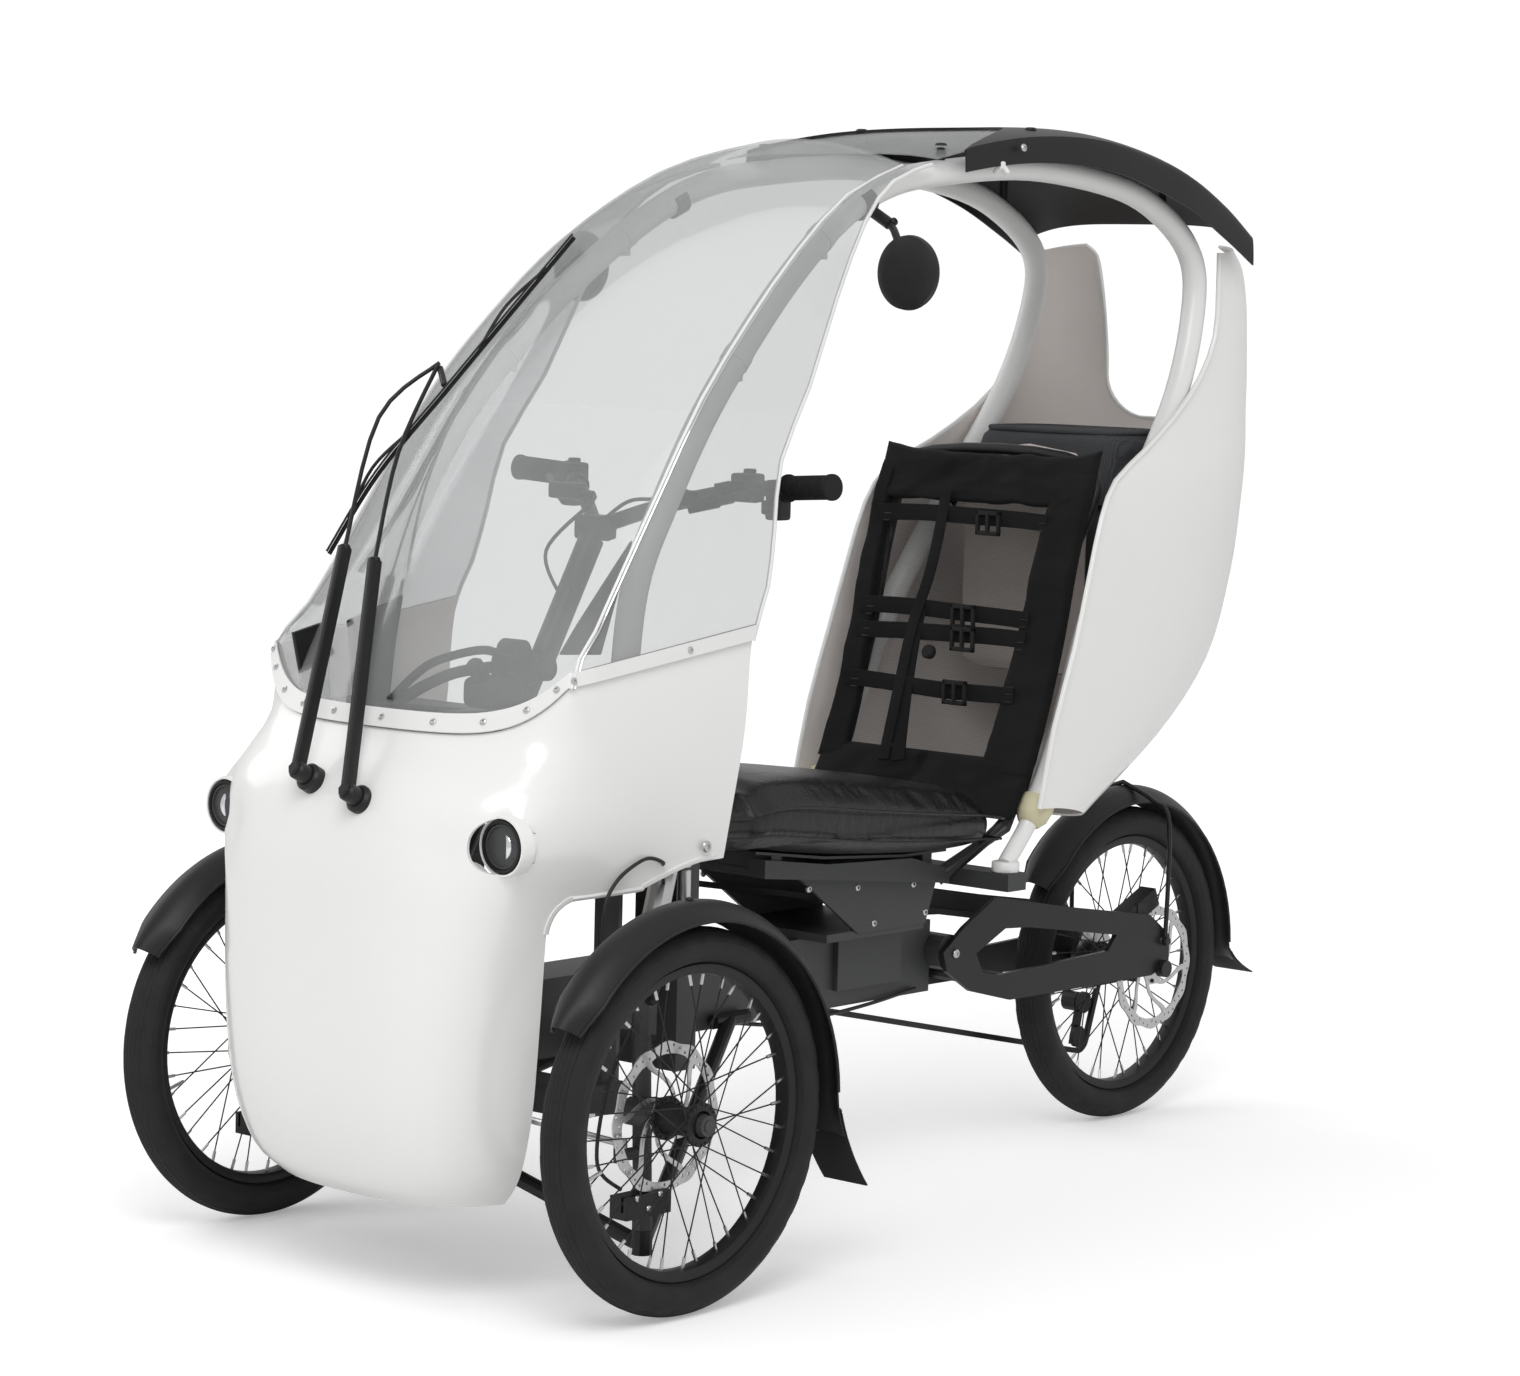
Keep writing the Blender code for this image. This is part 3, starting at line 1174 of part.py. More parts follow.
def make_drive():
    sprocket = CASSETTE_RADIUS * CASSETTE_STEP_SHARES[1]
    low = -REAR_HUB_RIGHT - SEAT_GAP - CASSETTE_THICK
    high = -REAR_HUB_RIGHT - SEAT_GAP
    bore = AXLE_RADIUS + AXLE_CLEARANCE
    inner_face = -CHAIN_X + CHAIN_HALF + CHAIN_CLEARANCE
    outer_face = -CHAIN_X - CHAIN_HALF - CHAIN_CLEARANCE
    profile = (
        (low, bore),
        (high, bore),
        (high, CASSETTE_RADIUS),
        (inner_face, CASSETTE_RADIUS),
        (inner_face, sprocket),
        (outer_face, sprocket),
        (outer_face, CASSETTE_RADIUS * CASSETTE_STEP_SHARES[2]),
        (low, CASSETTE_RADIUS * CASSETTE_STEP_SHARES[2]),
    )
    finish(turned(profile, REAR_CENTRE), "cassette", "silver", REAR_CENTRE)
    stand_off = CHAIN_CLEARANCE + CHAIN_THICK / 2
    pulley = PULLEY_RADIUS + stand_off
    circles = (
        (CRANK_Y, CRANK_Z, CHAINRING_RADIUS + stand_off),
        (WHEELBASE, WHEEL_RADIUS, sprocket + stand_off),
        (LOWER_PULLEY_Y, LOWER_PULLEY_Z, pulley),
    )
    path = belt_path(circles)
    finish(belt(path, CHAIN_THICK, -CHAIN_X - CHAIN_HALF, -CHAIN_X + CHAIN_HALF), "chain", "satin_black")
    plate_x = -SWING_PLATE_X - SWING_PLATE_THICK / 2
    upper = Vector((-CHAIN_X, UPPER_PULLEY_Y, UPPER_PULLEY_Z))
    lower = Vector((-CHAIN_X, LOWER_PULLEY_Y, LOWER_PULLEY_Z))
    wide = Vector((CHAIN_HALF, 0, 0))
    mech = rod(upper - wide, upper + wide, PULLEY_RADIUS)
    cage_x = -CHAIN_X - CHAIN_HALF - CHAIN_CLEARANCE
    along = (lower - upper).normalized()
    across = Vector((0, along.z, -along.y)) * PULLEY_RADIUS * 0.55
    tail = along * PULLEY_RADIUS * 0.8
    corners = (upper - tail - across, upper - tail + across, lower + tail + across, lower + tail - across)
    cage = plate([(point.y, point.z) for point in corners], cage_x - CAGE_THICK, cage_x)
    pins = [rod(point - wide * 0.9, Vector((cage_x - CAGE_THICK / 2, point.y, point.z)), PULLEY_RADIUS / 4) for point in (upper, lower)]
    guide = rod(lower - wide, lower + wide, PULLEY_RADIUS)
    fuse(mech, cage, *pins, guide)
    hanger_y = WHEELBASE + AXLE_NUT_RADIUS
    knuckle = rod(
        (plate_x - CAGE_THICK, UPPER_PULLEY_Y, UPPER_PULLEY_Z),
        (cage_x - CAGE_THICK / 2, UPPER_PULLEY_Y, UPPER_PULLEY_Z),
        PULLEY_RADIUS * 0.9,
    )
    link = rod(
        (plate_x - CAGE_THICK * 2, UPPER_PULLEY_Y, UPPER_PULLEY_Z),
        (plate_x - CAGE_THICK * 2, hanger_y, SWING_HANGER_Z),
        CAGE_THICK * 1.6,
    )
    fuse(mech, knuckle, link)
    finish(mech, "derailleur", "satin_black")


# Rear


def swing_outline(shares):
    points = []
    for y, rise in shares:
        back = (y * WHEELBASE - PIVOT_Y) / (WHEELBASE - PIVOT_Y)
        points.append((y * WHEELBASE, PIVOT_Z + (WHEEL_RADIUS - PIVOT_Z) * back + rise * WHEEL_RADIUS))
    return points


def make_swingarm():
    slot_outline = swing_outline(SLOT_SHARES)
    arm = None
    for side, sign in SIDES:
        low, high = sorted((sign * (SWING_PLATE_X - SWING_PLATE_THICK / 2), sign * (SWING_PLATE_X + SWING_PLATE_THICK / 2)))
        side_plate = plate(swing_outline(SWING_SHARES), low, high)
        cut(side_plate, plate(slot_outline, low - OVERRUN, high + OVERRUN))
        nut_low, nut_high = sorted((sign * SWING_PLATE_X, sign * (SWING_PLATE_X + DROPOUT_NUT)))
        fuse(side_plate, rod((nut_low, WHEELBASE, WHEEL_RADIUS), (nut_high, WHEELBASE, WHEEL_RADIUS), AXLE_NUT_RADIUS))
        arm = fuse(arm, side_plate) if arm else side_plate
    x = SWING_PLATE_X
    fuse(
        arm,
        rod((-x, WHEELBASE, WHEEL_RADIUS), (x, WHEELBASE, WHEEL_RADIUS), AXLE_RADIUS, ROUND_SIDES),
        rod((-x, PIVOT_Y, PIVOT_Z), (x, PIVOT_Y, PIVOT_Z), PIVOT_PIN, ROUND_SIDES),
        rod((-x, BRIDGE_Y, BRIDGE_Z), (x, BRIDGE_Y, BRIDGE_Z), BRIDGE_RADIUS),
    )
    finish(arm, "swingarm", "silver")


def make_rear():
    make_wheel("rear", REAR_CENTRE, -REAR_HUB_RIGHT, REAR_HUB_LEFT, REAR_FLANGE_HALF)
    make_rotor("rear_rotor", REAR_CENTRE, REAR_ROTOR_X)
    make_swingarm()
    make_drive()
    body = caliper_body(LEFT, REAR_ROTOR_X)
    body.data.transform(Matrix.Rotation(math.pi, 4, "X"))
    body.data.transform(Matrix.Translation((0, 0, ROTOR_RADIUS)))
    body.data.transform(Matrix.Rotation(REAR_CALIPER_LEAN, 4, "X"))
    body.data.transform(Matrix.Translation((0, WHEELBASE, WHEEL_RADIUS)))
    reach = ROTOR_RADIUS + CALIPER_HEIGHT / 4
    bolt_y = WHEELBASE - reach * math.sin(REAR_CALIPER_LEAN)
    bolt_z = WHEEL_RADIUS + reach * math.cos(REAR_CALIPER_LEAN)
    plate_face = SWING_PLATE_X - SWING_PLATE_THICK / 2
    lug = box(
        (REAR_ROTOR_X + CALIPER_OUTER / 2, bolt_y - CALIPER_HEIGHT / 3, bolt_z - CALIPER_HEIGHT / 2),
        (plate_face - SEAT_GAP, bolt_y + CALIPER_HEIGHT / 3, bolt_z + CALIPER_HEIGHT / 6),
    )
    fuse(body, lug)
    finish(body, "rear_caliper", "satin_black")
    top = REAR_CENTRE + Vector((0, 0, FENDER_RADIUS - FENDER_THICK))
    stays = []
    for side, sign in SIDES:
        root = Vector((sign * (SWING_PLATE_X + SWING_PLATE_THICK / 2 + SEAT_GAP + FENDER_STAY), WHEELBASE, WHEEL_RADIUS + CALIPER_HEIGHT))
        bend = Vector((root.x, WHEELBASE, top.z - FENDER_CROWN * 2))
        stay = rod(root, bend, FENDER_STAY)
        fuse(stay, rod(bend - Vector((0, 0, FENDER_STAY)), top, FENDER_STAY))
        stays.append(stay)
    make_fender("fender_rear", REAR_CENTRE, REAR_FLAP_REACH, REAR_FLAP_DROP, stays)


# Shells


def skin_row(index):
    """One row of the front skin, from the right rear edge round the nose to the left one."""
    half, crease_y, crease_z, front_y, front_z, rear_x, rear_y, rear_z, power, root = SKIN_SHARES[index]
    lift = DIP_POWER if index in DIP_ROWS else PLAIN_POWER
    crease = Vector((half * CABIN_HALF, crease_y * WHEELBASE, crease_z * ROOF_HEIGHT))
    front = Vector((0, front_y * WHEELBASE, front_z * ROOF_HEIGHT))
    rear = Vector((rear_x * CABIN_HALF, rear_y * WHEELBASE, rear_z * ROOF_HEIGHT))
    half_row = []
    for column in range(SKIN_COLUMNS + 1):
        share = math.sin(math.pi / 2 * column / SKIN_COLUMNS) ** (2 / power)
        depth = 1 - max(0.0, 1 - share**power) ** root
        y = front.y + (crease.y - front.y) * depth
        z = front.z + (crease.z - front.z) * share**lift
        half_row.append(Vector((crease.x * share, y, z)))
    for column in range(1, SIDE_COLUMNS + 1):
        half_row.append(crease.lerp(rear, column / SIDE_COLUMNS))
    return [Vector((-point.x, point.y, point.z)) for point in reversed(half_row[1:])] + half_row


def skin_rows(levels):
    rows = []
    for level in levels:
        low = int(level)
        row = skin_row(low)
        if level > low:
            row = [a.lerp(b, level - low) for a, b in zip(row, skin_row(low + 1))]
        rows.append(row)
    return rows


def make_fairing():
    shell = sheet(skin_rows((*range(8), FAIRING_TOP_ROW)), FAIRING_THICK, -1)
    arch = [(ARCH_FRONT, -OVERRUN)]
    for step in range(7):
        turn = math.pi - math.pi / 2 * step / 6
        arch.append((ARCH_FRONT + ARCH_CORNER * (1 + math.cos(turn)), ARCH_TOP - ARCH_CORNER * (1 - math.sin(turn))))
    arch += scaled(ARCH_LIP_SHARES)
    arch.append((arch[-1][0], -OVERRUN))
    cut(shell, plate(arch, -CABIN_HALF * 2, CABIN_HALF * 2))
    for side, sign in SIDES:
        hole = rod(
            (sign * LAMP_X, LAMP_FACE_Y - LAMP_DEPTH, LAMP_Z),
            (sign * LAMP_X, LAMP_FACE_Y + LAMP_DEPTH * 2, LAMP_Z),
            LAMP_RADIUS + LAMP_CLEARANCE,
            ROUND_SIDES * 2,
        )
        cut(shell, hole)
    for start, end, radius in wiper_pivots():
        cut(shell, rod(start, end, radius + SEAT_GAP))
    hoop_clamps(shell, FAIRING_CLAMPS)
    finish(shell, "nose_fairing", "shell")


def make_screen():
    rows = skin_rows((SCREEN_FOOT_ROW, FAIRING_TOP_ROW, *range(SCREEN_FOOT_ROW + 1, len(SKIN_SHARES))))
    screen = sheet(rows, SCREEN_THICK, 1, SCREEN_GAP)
    hoop_clamps(screen, SCREEN_CLAMPS)
    finish(screen, "windscreen", "clear")


def tail_row(index):
    edge_x, edge_y, edge_z, back_y, back_z = TAIL_SHARES[index]
    row = []
    for column in range(TAIL_COLUMNS + 1):
        turn = math.pi / 2 * column / TAIL_COLUMNS
        x = edge_x * CABIN_HALF * math.cos(turn) ** (2 / TAIL_POWER) if column < TAIL_COLUMNS else 0
        run = math.sin(turn) ** (2 / TAIL_POWER)
        y = (edge_y + (back_y - edge_y) * run) * WHEELBASE
        z = (edge_z + (back_z - edge_z) * run**PLAIN_POWER) * ROOF_HEIGHT
        row.append(Vector((x, y, z)))
    return row + [Vector((-point.x, point.y, point.z)) for point in reversed(row[:-1])]


def make_tail():
    shell = sheet([tail_row(index) for index in range(len(TAIL_SHARES))], TAIL_THICK, -1)
    window = []
    for step in range(5):
        turn = math.pi + math.pi / 2 * step / 4
        window.append((-WINDOW_HALF + WINDOW_CORNER * (1 + math.cos(turn)), WINDOW_SILL + WINDOW_CORNER * (1 + math.sin(turn))))
    window += [(-x, z) for x, z in reversed(window)]
    window += [(WINDOW_HALF, ROOF_HEIGHT), (-WINDOW_HALF, ROOF_HEIGHT)]
    opening = plate(window, TAIL_Y - WHEELBASE * 0.27, TAIL_Y)
    opening.data.transform(Matrix(((0, 1, 0, 0), (1, 0, 0, 0), (0, 0, 1, 0), (0, 0, 0, 1))))
    opening.data.flip_normals()
    cut(shell, opening)
    hoop_clamps(shell, TAIL_CLAMPS)
    finish(shell, "tail_fairing", "shell")


def make_roof():
    rows = []
    for half, y, crown, shoulder, flange in ROOF_SHARES:
        row = []
        for share in ROOF_COLUMN_SHARES:
            spread = abs(share)
            if spread == 1:
                z = flange
            else:
                z = crown + (shoulder - crown) * spread**4
            row.append(Vector((share * half * CABIN_HALF, y * WHEELBASE, z * ROOF_HEIGHT)))
        rows.append(row)
    roof = sheet(rows, ROOF_THICK, 1)
    bolts = []
    for index in ROOF_CLAMP_ROWS:
        middle = hoop_point(index, LEFT)
        top = roof_height(middle.x, middle.y) + ROOF_THICK * 1.8
        bolts.append((index, 0, (middle.x / CABIN_HALF, middle.y / WHEELBASE, top / ROOF_HEIGHT)))
    hoop_clamps(roof, bolts)
    finish(roof, "roof_panel", "satin_black")


def roof_height(x, y):
    """The roof's underside at this place."""
    for low, high in zip(ROOF_SHARES, ROOF_SHARES[1:]):
        if y <= high[1] * WHEELBASE:
            break
    share = (y / WHEELBASE - low[1]) / (high[1] - low[1])
    half, _, crown, shoulder, _ = (a + (b - a) * share for a, b in zip(low, high))
    spread = x / (half * CABIN_HALF)
    return (crown + (shoulder - crown) * spread**4) * ROOF_HEIGHT


def make_hoops():
    for side, sign in SIDES:
        finish(hoop_tube(sign, HOOP_RADIUS), "hoop_" + side, "shell")


# Seat


def loft(rings):
    """A closed body through rings of points, each ring in the same order."""
    bm = bmesh.new()
    grid = [[bm.verts.new(point) for point in ring] for ring in rings]
    for low, high in zip(grid, grid[1:]):
        for a, b, c, d in zip(low, low[1:] + low[:1], high[1:] + high[:1], high):
            bm.faces.new((a, b, c, d))
    bm.faces.new(grid[0])
    bm.faces.new(list(reversed(grid[-1])))
    return loose_object(bm)


def make_cushion():
    rings = []
    for y, half, bottom, top in CUSHION_SHARES:
        ring = []
        for step in range(CUSHION_RING):
            turn = math.tau * step / CUSHION_RING
            reach = (abs(math.cos(turn)) ** CUSHION_POWER + abs(math.sin(turn)) ** CUSHION_POWER) ** (-1 / CUSHION_POWER)
            x = half * CABIN_HALF * reach * math.cos(turn)
            middle, height = (bottom + top) / 2, (top - bottom) / 2
            ring.append(Vector((x, y * WHEELBASE, (middle + height * reach * math.sin(turn)) * ROOF_HEIGHT)))
        rings.append(ring)
    finish(loft(rings), "seat_cushion", "leather")


def back_y(z):
    """How far back the seat back's front face is at this height."""
    rows = scaled(BACK_SHARES)
    for (low_y, low_z), (high_y, high_z) in zip(rows, rows[1:]):
        if z <= high_z:
            break
    return low_y + (high_y - low_y) * (z - low_z) / (high_z - low_z)


def make_seat_back():
    inner = BACK_HALF - BACK_BORDER
    columns = (-BACK_HALF, -inner, -BACK_SPINE, BACK_SPINE, inner, BACK_HALF)
    levels = [BACK_SHARES[0][1] * ROOF_HEIGHT, BACK_SKIRT_SHARE * ROOF_HEIGHT]
    for share in STRAP_SHARES:
        levels += [share * ROOF_HEIGHT - STRAP_HALF, share * ROOF_HEIGHT + STRAP_HALF]
    levels += [BACK_HEADER_SHARE * ROOF_HEIGHT, BACK_SHARES[-1][1] * ROOF_HEIGHT]
    rows = [[Vector((x, back_y(z), z)) for x in columns] for z in levels]
    open_cells = [(row, column) for row in range(1, len(rows) - 1, 2) for column in (1, 3)]
    back = sheet(rows, BACK_THICK, -1, 0, open_cells)
    finish(back, "seat_back", "fabric")


def make_seat_base():
    """Rails, cheek plates and the saddle that clamps the beam."""
    rail_outline = scaled(RAIL_SHARES)
    cheek_outline = scaled(CHEEK_SHARES)
    low_y, high_y = (share * WHEELBASE for share in SADDLE_Y_SHARES)
    base = box(
        (-CHEEK_X - CHEEK_THICK / 2, low_y, BEAM_TOP + SEAT_GAP),
        (CHEEK_X + CHEEK_THICK / 2, high_y, BEAM_TOP + SEAT_GAP + SADDLE_TOP_THICK),
    )
    for side, sign in SIDES:
        low, high = sorted((sign * (RAIL_OUTER - RAIL_WIDTH), sign * RAIL_OUTER))
        rail = plate(rail_outline, low, high)
        low, high = sorted((sign * CHEEK_X, sign * (CHEEK_X + CHEEK_THICK)))
        cheek = plate(cheek_outline, low, high)
        clamp_low, clamp_high = (share * WHEELBASE for share in SADDLE_CLAMP_SHARES)
        low, high = sorted((sign * (BEAM_HALF + SEAT_GAP), sign * (BEAM_HALF + SADDLE_CLAMP_THICK)))
        clamp = box(
            (low, clamp_low, BEAM_TOP + SADDLE_TOP_THICK / 2 - SADDLE_CLAMP_DROP),
            (high, clamp_high, BEAM_TOP + SADDLE_TOP_THICK / 2),
        )
        fuse(base, cheek, rail, clamp)
    for y in SEAT_CROSS_SHARES:
        middle = y * WHEELBASE
        level = rail_level(middle)
        bar = box(
            (-RAIL_OUTER + RAIL_WIDTH / 2, middle - SADDLE_TOP_THICK, level - SADDLE_TOP_THICK),
            (RAIL_OUTER - RAIL_WIDTH / 2, middle + SADDLE_TOP_THICK, level),
        )
        fuse(base, bar)
    fuse(base, seat_pan(), seat_frame())
    finish(base, "seat_base", "frame_grey")


def cushion_bottom(y):
    for low, high in zip(CUSHION_SHARES, CUSHION_SHARES[1:]):
        if y <= high[0] * WHEELBASE:
            break
    share = (y / WHEELBASE - low[0]) / (high[0] - low[0])
    return (low[2] + (high[2] - low[2]) * share) * ROOF_HEIGHT


def seat_pan():
    """The board under the cushion, with two feet that reach down to the rails."""
    half = RAIL_OUTER - RAIL_WIDTH / 4
    rows = []
    for y, _, bottom, _ in CUSHION_SHARES[PAN_ROWS[0] : PAN_ROWS[1]]:
        z = bottom * ROOF_HEIGHT - SEAT_GAP
        rows.append([Vector((x, y * WHEELBASE, z)) for x in (-half, half)])
    pan = sheet(rows, PAN_THICK, -1)
    for share in SEAT_CROSS_SHARES:
        y = share * WHEELBASE
        foot = box(
            (-half + SEAT_GAP, y - SADDLE_TOP_THICK * 0.9, rail_level(y) - SADDLE_TOP_THICK / 2),
            (half - SEAT_GAP, y + SADDLE_TOP_THICK * 0.9, cushion_bottom(y) - PAN_THICK),
        )
        fuse(pan, foot)
    return pan


def seat_frame():
    """The bent tube behind the seat back's fabric."""
    rows = [Vector((0, y, z)) for y, z in scaled(BACK_SHARES)]
    offset = BACK_THICK + FRAME_TUBE + SEAT_GAP * 5
    side_path = []
    for index, here in enumerate(rows):
        before, after = rows[max(index - 1, 0)], rows[min(index + 1, len(rows) - 1)]
        first, second = (here - before).normalized(), (after - here).normalized()
        along = (first + second).normalized()
        half_turn = first.angle(second) / 2 if first.length and second.length else 0
        out = Vector((0, along.z, -along.y)) * offset / math.cos(half_turn)
        side_path.append(here + out)
    side_path[-1] = side_path[-2].lerp(side_path[-1], 0.9)
    half = BACK_HALF - BACK_BORDER / 2
    foot = Vector((RAIL_OUTER - RAIL_WIDTH / 2, RAIL_SHARES[2][0] * WHEELBASE - RAIL_WIDTH / 2, rail_level(RAIL_SHARES[2][0] * WHEELBASE)))
    left = [foot] + [point + Vector((half, 0, 0)) for point in side_path]
    right = [Vector((-point.x, point.y, point.z)) for point in reversed(left)]
    return tube(left + right, FRAME_TUBE, 1)


def rail_level(y):
    low_y, high_y = RAIL_SHARES[0][0] * WHEELBASE, RAIL_SHARES[2][0] * WHEELBASE
    low_z, high_z = RAIL_SHARES[1][1] * ROOF_HEIGHT, RAIL_SHARES[2][1] * ROOF_HEIGHT
    return low_z + (high_z - low_z) * (y - low_y) / (high_y - low_y) + SADDLE_TOP_THICK


def make_foot_bar():
    """The bar across the beam that carries the hoops' rear feet."""
    low_y = FOOT_BAR_Y - FOOT_BAR_DEPTH
    bar = box(
        (-FOOT_BAR_HALF, low_y, FOOT_BAR_TOP - FOOT_BAR_THICK),
        (FOOT_BAR_HALF, FOOT_BAR_Y + FOOT_BAR_DEPTH, FOOT_BAR_TOP),
    )
    post = box(
        (-BEAM_HALF * 0.8, low_y + SEAT_GAP, BEAM_TOP + SEAT_GAP),
        (BEAM_HALF * 0.8, PIVOT_Y - PIVOT_BOSS - SEAT_GAP, FOOT_BAR_TOP - FOOT_BAR_THICK / 2),
    )
    fuse(bar, post)
    finish(bar, "foot_bar", "frame_grey")


def make_bag():
    """A soft bag behind the seat, hung from the hoop tubes."""
    rings = []
    for z, y, half, depth in BAG_SHARES:
        ring = []
        for step in range(BAG_RING):
            turn = math.tau * step / BAG_RING
            reach = (abs(math.cos(turn)) ** TAIL_POWER + abs(math.sin(turn)) ** TAIL_POWER) ** (-1 / TAIL_POWER)
            x = half * CABIN_HALF * reach * math.cos(turn)
            ring.append(Vector((x, y * WHEELBASE + depth * CABIN_HALF * reach * math.sin(turn), z * ROOF_HEIGHT)))
        rings.append(ring)
    bag = loft(rings)
    for side, sign in SIDES:
        middle = hoop_point(BAG_ROW, sign)
        start = Vector((0, middle.y, middle.z))
        fuse(bag, rod(start, middle, CLAMP_RADIUS * 1.5))
        seat_on_hoop(bag, sign)
    finish(bag, "cargo_bag", "fabric")


# Lamps, mirrors and wiper


def wiper_pivots():
    """Where the two wiper spindles pass through the nose: outer end, inner end and radius."""
    pivots = []
    for path, radius in ((WIPER_LEFT_ARM, WIPER_ARM * 2.6), (WIPER_RIGHT_ARM, WIPER_ARM * 2.0)):
        start = cabin_point(path[0])
        pivots.append((start + Vector((0, -WIPER_ARM / 3, WIPER_ARM / 4)), start + SPINDLE_DIRECTION * WIPER_SPINDLE, radius))
    return pivots


def make_wiper():
    """Two parallel arms, thick below and thin above, and the blade along the clear sheet."""
    wiper = None
    for path in (WIPER_LEFT_ARM, WIPER_RIGHT_ARM):
        points = [cabin_point(point) for point in path]
        arm = tube(points[:2], WIPER_ARM, 1)
        fuse(arm, tube([points[0].lerp(points[1], 0.94), *points[2:]], WIPER_ARM * 0.6, 1))
        wiper = fuse(wiper, arm) if wiper else arm
    middle = cabin_point(WIPER_BLADE_PATH[2])
    blade = tube(smooth_path([cabin_point(point) for point in WIPER_BLADE_PATH], 2), WIPER_BLADE, 1)
    joint = Vector((0, -WIPER_ARM, WIPER_ARM))
    fuse(blade, rod(cabin_point(WIPER_LEFT_ARM[-1]) - joint, middle + joint, WIPER_ARM))
    pivots = [rod(start, end, radius) for start, end, radius in wiper_pivots()]
    fuse(wiper, blade, *pivots)
    finish(wiper, "wiper", "satin_black")




def make_lamps():
    for side, sign in SIDES:
        lamp = rod(
            (sign * LAMP_X, LAMP_FACE_Y, LAMP_Z),
            (sign * LAMP_X, LAMP_FACE_Y + LAMP_DEPTH, LAMP_Z),
            LAMP_RADIUS,
            ROUND_SIDES * 2,
        )
        finish(lamp, "headlight_" + side, "satin_black")


def make_mirrors():
    for side, sign in SIDES:
        centre = Vector((sign * MIRROR_X, MIRROR_Y, MIRROR_Z))
        depth = Vector((0, MIRROR_THICK / 2, 0))
        mirror = rod(centre - depth, centre + depth, MIRROR_RADIUS, ROUND_SIDES * 2)
        clamp = Vector((sign * MIRROR_CLAMP_X, MIRROR_CLAMP_Y, MIRROR_CLAMP_Z))
        middle = hoop_point(MIRROR_ROW, sign).lerp(hoop_point(MIRROR_ROW + 1, sign), MIRROR_ROW_SHARE)
        fuse(mirror, rod(clamp, centre, MIRROR_ARM), rod(middle, clamp, MIRROR_ARM * 1.5))
        seat_on_hoop(mirror, sign)
        finish(mirror, "mirror_" + side, "satin_black")


clear_scene()
PARTS = bpy.data.collections.new("velomobile")
bpy.context.scene.collection.children.link(PARTS)
MATERIALS = make_materials()
VEHICLE = bpy.data.objects.new("vehicle", None)
VEHICLE.location = (0, -MIDDLE_Y, 0)
PARTS.objects.link(VEHICLE)

make_frame()
for SIDE, SIGN in SIDES:
    make_front_corner(SIDE, SIGN)
make_steering()
make_column_stay()
make_cranks()
make_rear()
make_fairing()
make_screen()
make_tail()
make_roof()
make_hoops()
make_cushion()
make_seat_back()
make_seat_base()
make_foot_bar()
make_lamps()
make_mirrors()
make_wiper()
make_bag()
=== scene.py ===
"""Looks of the velomobile: finishes, soft goods, trim, floor, light and camera.

Metres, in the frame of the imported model: the front faces -Y and the left side is +X.
Shapes are written from the front axle, as the model is laid out, and shifted by AXLE_Y.
"""

import json
import math

import bmesh
import bpy
from mathutils import Matrix, Vector, noise
from mathutils.bvhtree import BVHTree
from mathutils.geometry import delaunay_2d_cdt


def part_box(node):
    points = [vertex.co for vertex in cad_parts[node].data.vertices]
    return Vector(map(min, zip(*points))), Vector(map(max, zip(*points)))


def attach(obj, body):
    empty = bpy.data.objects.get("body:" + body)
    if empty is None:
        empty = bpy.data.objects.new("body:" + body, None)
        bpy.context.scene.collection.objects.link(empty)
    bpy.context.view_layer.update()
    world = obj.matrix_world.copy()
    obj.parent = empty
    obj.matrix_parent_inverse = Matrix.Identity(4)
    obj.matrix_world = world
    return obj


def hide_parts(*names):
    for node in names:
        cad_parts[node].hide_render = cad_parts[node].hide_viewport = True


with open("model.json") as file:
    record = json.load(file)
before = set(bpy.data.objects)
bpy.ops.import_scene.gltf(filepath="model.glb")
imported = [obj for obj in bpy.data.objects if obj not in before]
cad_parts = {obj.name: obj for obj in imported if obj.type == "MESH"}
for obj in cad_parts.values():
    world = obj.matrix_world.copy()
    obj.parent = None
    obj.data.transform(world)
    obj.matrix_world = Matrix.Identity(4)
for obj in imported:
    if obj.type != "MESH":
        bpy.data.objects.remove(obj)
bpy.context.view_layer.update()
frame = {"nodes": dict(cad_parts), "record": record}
NODES = frame["nodes"]

# Where the front axle lies in the row's frame.
AXLE_Y = (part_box("front_left_tyre")[0][1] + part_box("front_left_tyre")[1][1]) / 2
WHEELBASE = 1.495
HALF_TRACK = 0.400
WHEEL_RADIUS = 0.255
ROOF_HEIGHT = 1.580
CABIN_HALF = 0.285
SIDES = (("left", 1), ("right", -1))
TINY = 1e-5

PIECES = bpy.data.collections.new("pieces")
bpy.context.scene.collection.children.link(PIECES)


# Points


def place(x, y, z):
    """A point given from the front axle, in the row's frame."""
    return Vector((x, y + AXLE_Y, z))


def cabin_point(x, y, z, sign=1):
    """A point given in shares of the cabin's half width, the wheelbase and the roof's height."""
    return Vector((sign * x * CABIN_HALF, y * WHEELBASE, z * ROOF_HEIGHT))


def sided(point, sign):
    """A point of the left side, or its mirror image."""
    return Vector((sign * point.x, point.y, point.z))


def polar(radius, turn):
    return radius * math.cos(turn), radius * math.sin(turn)


def catmull(a, b, c, d, t):
    return ((2 * b) + (c - a) * t + (2 * a - 5 * b + 4 * c - d) * t * t + (3 * b - 3 * c + d - a) * t**3) / 2


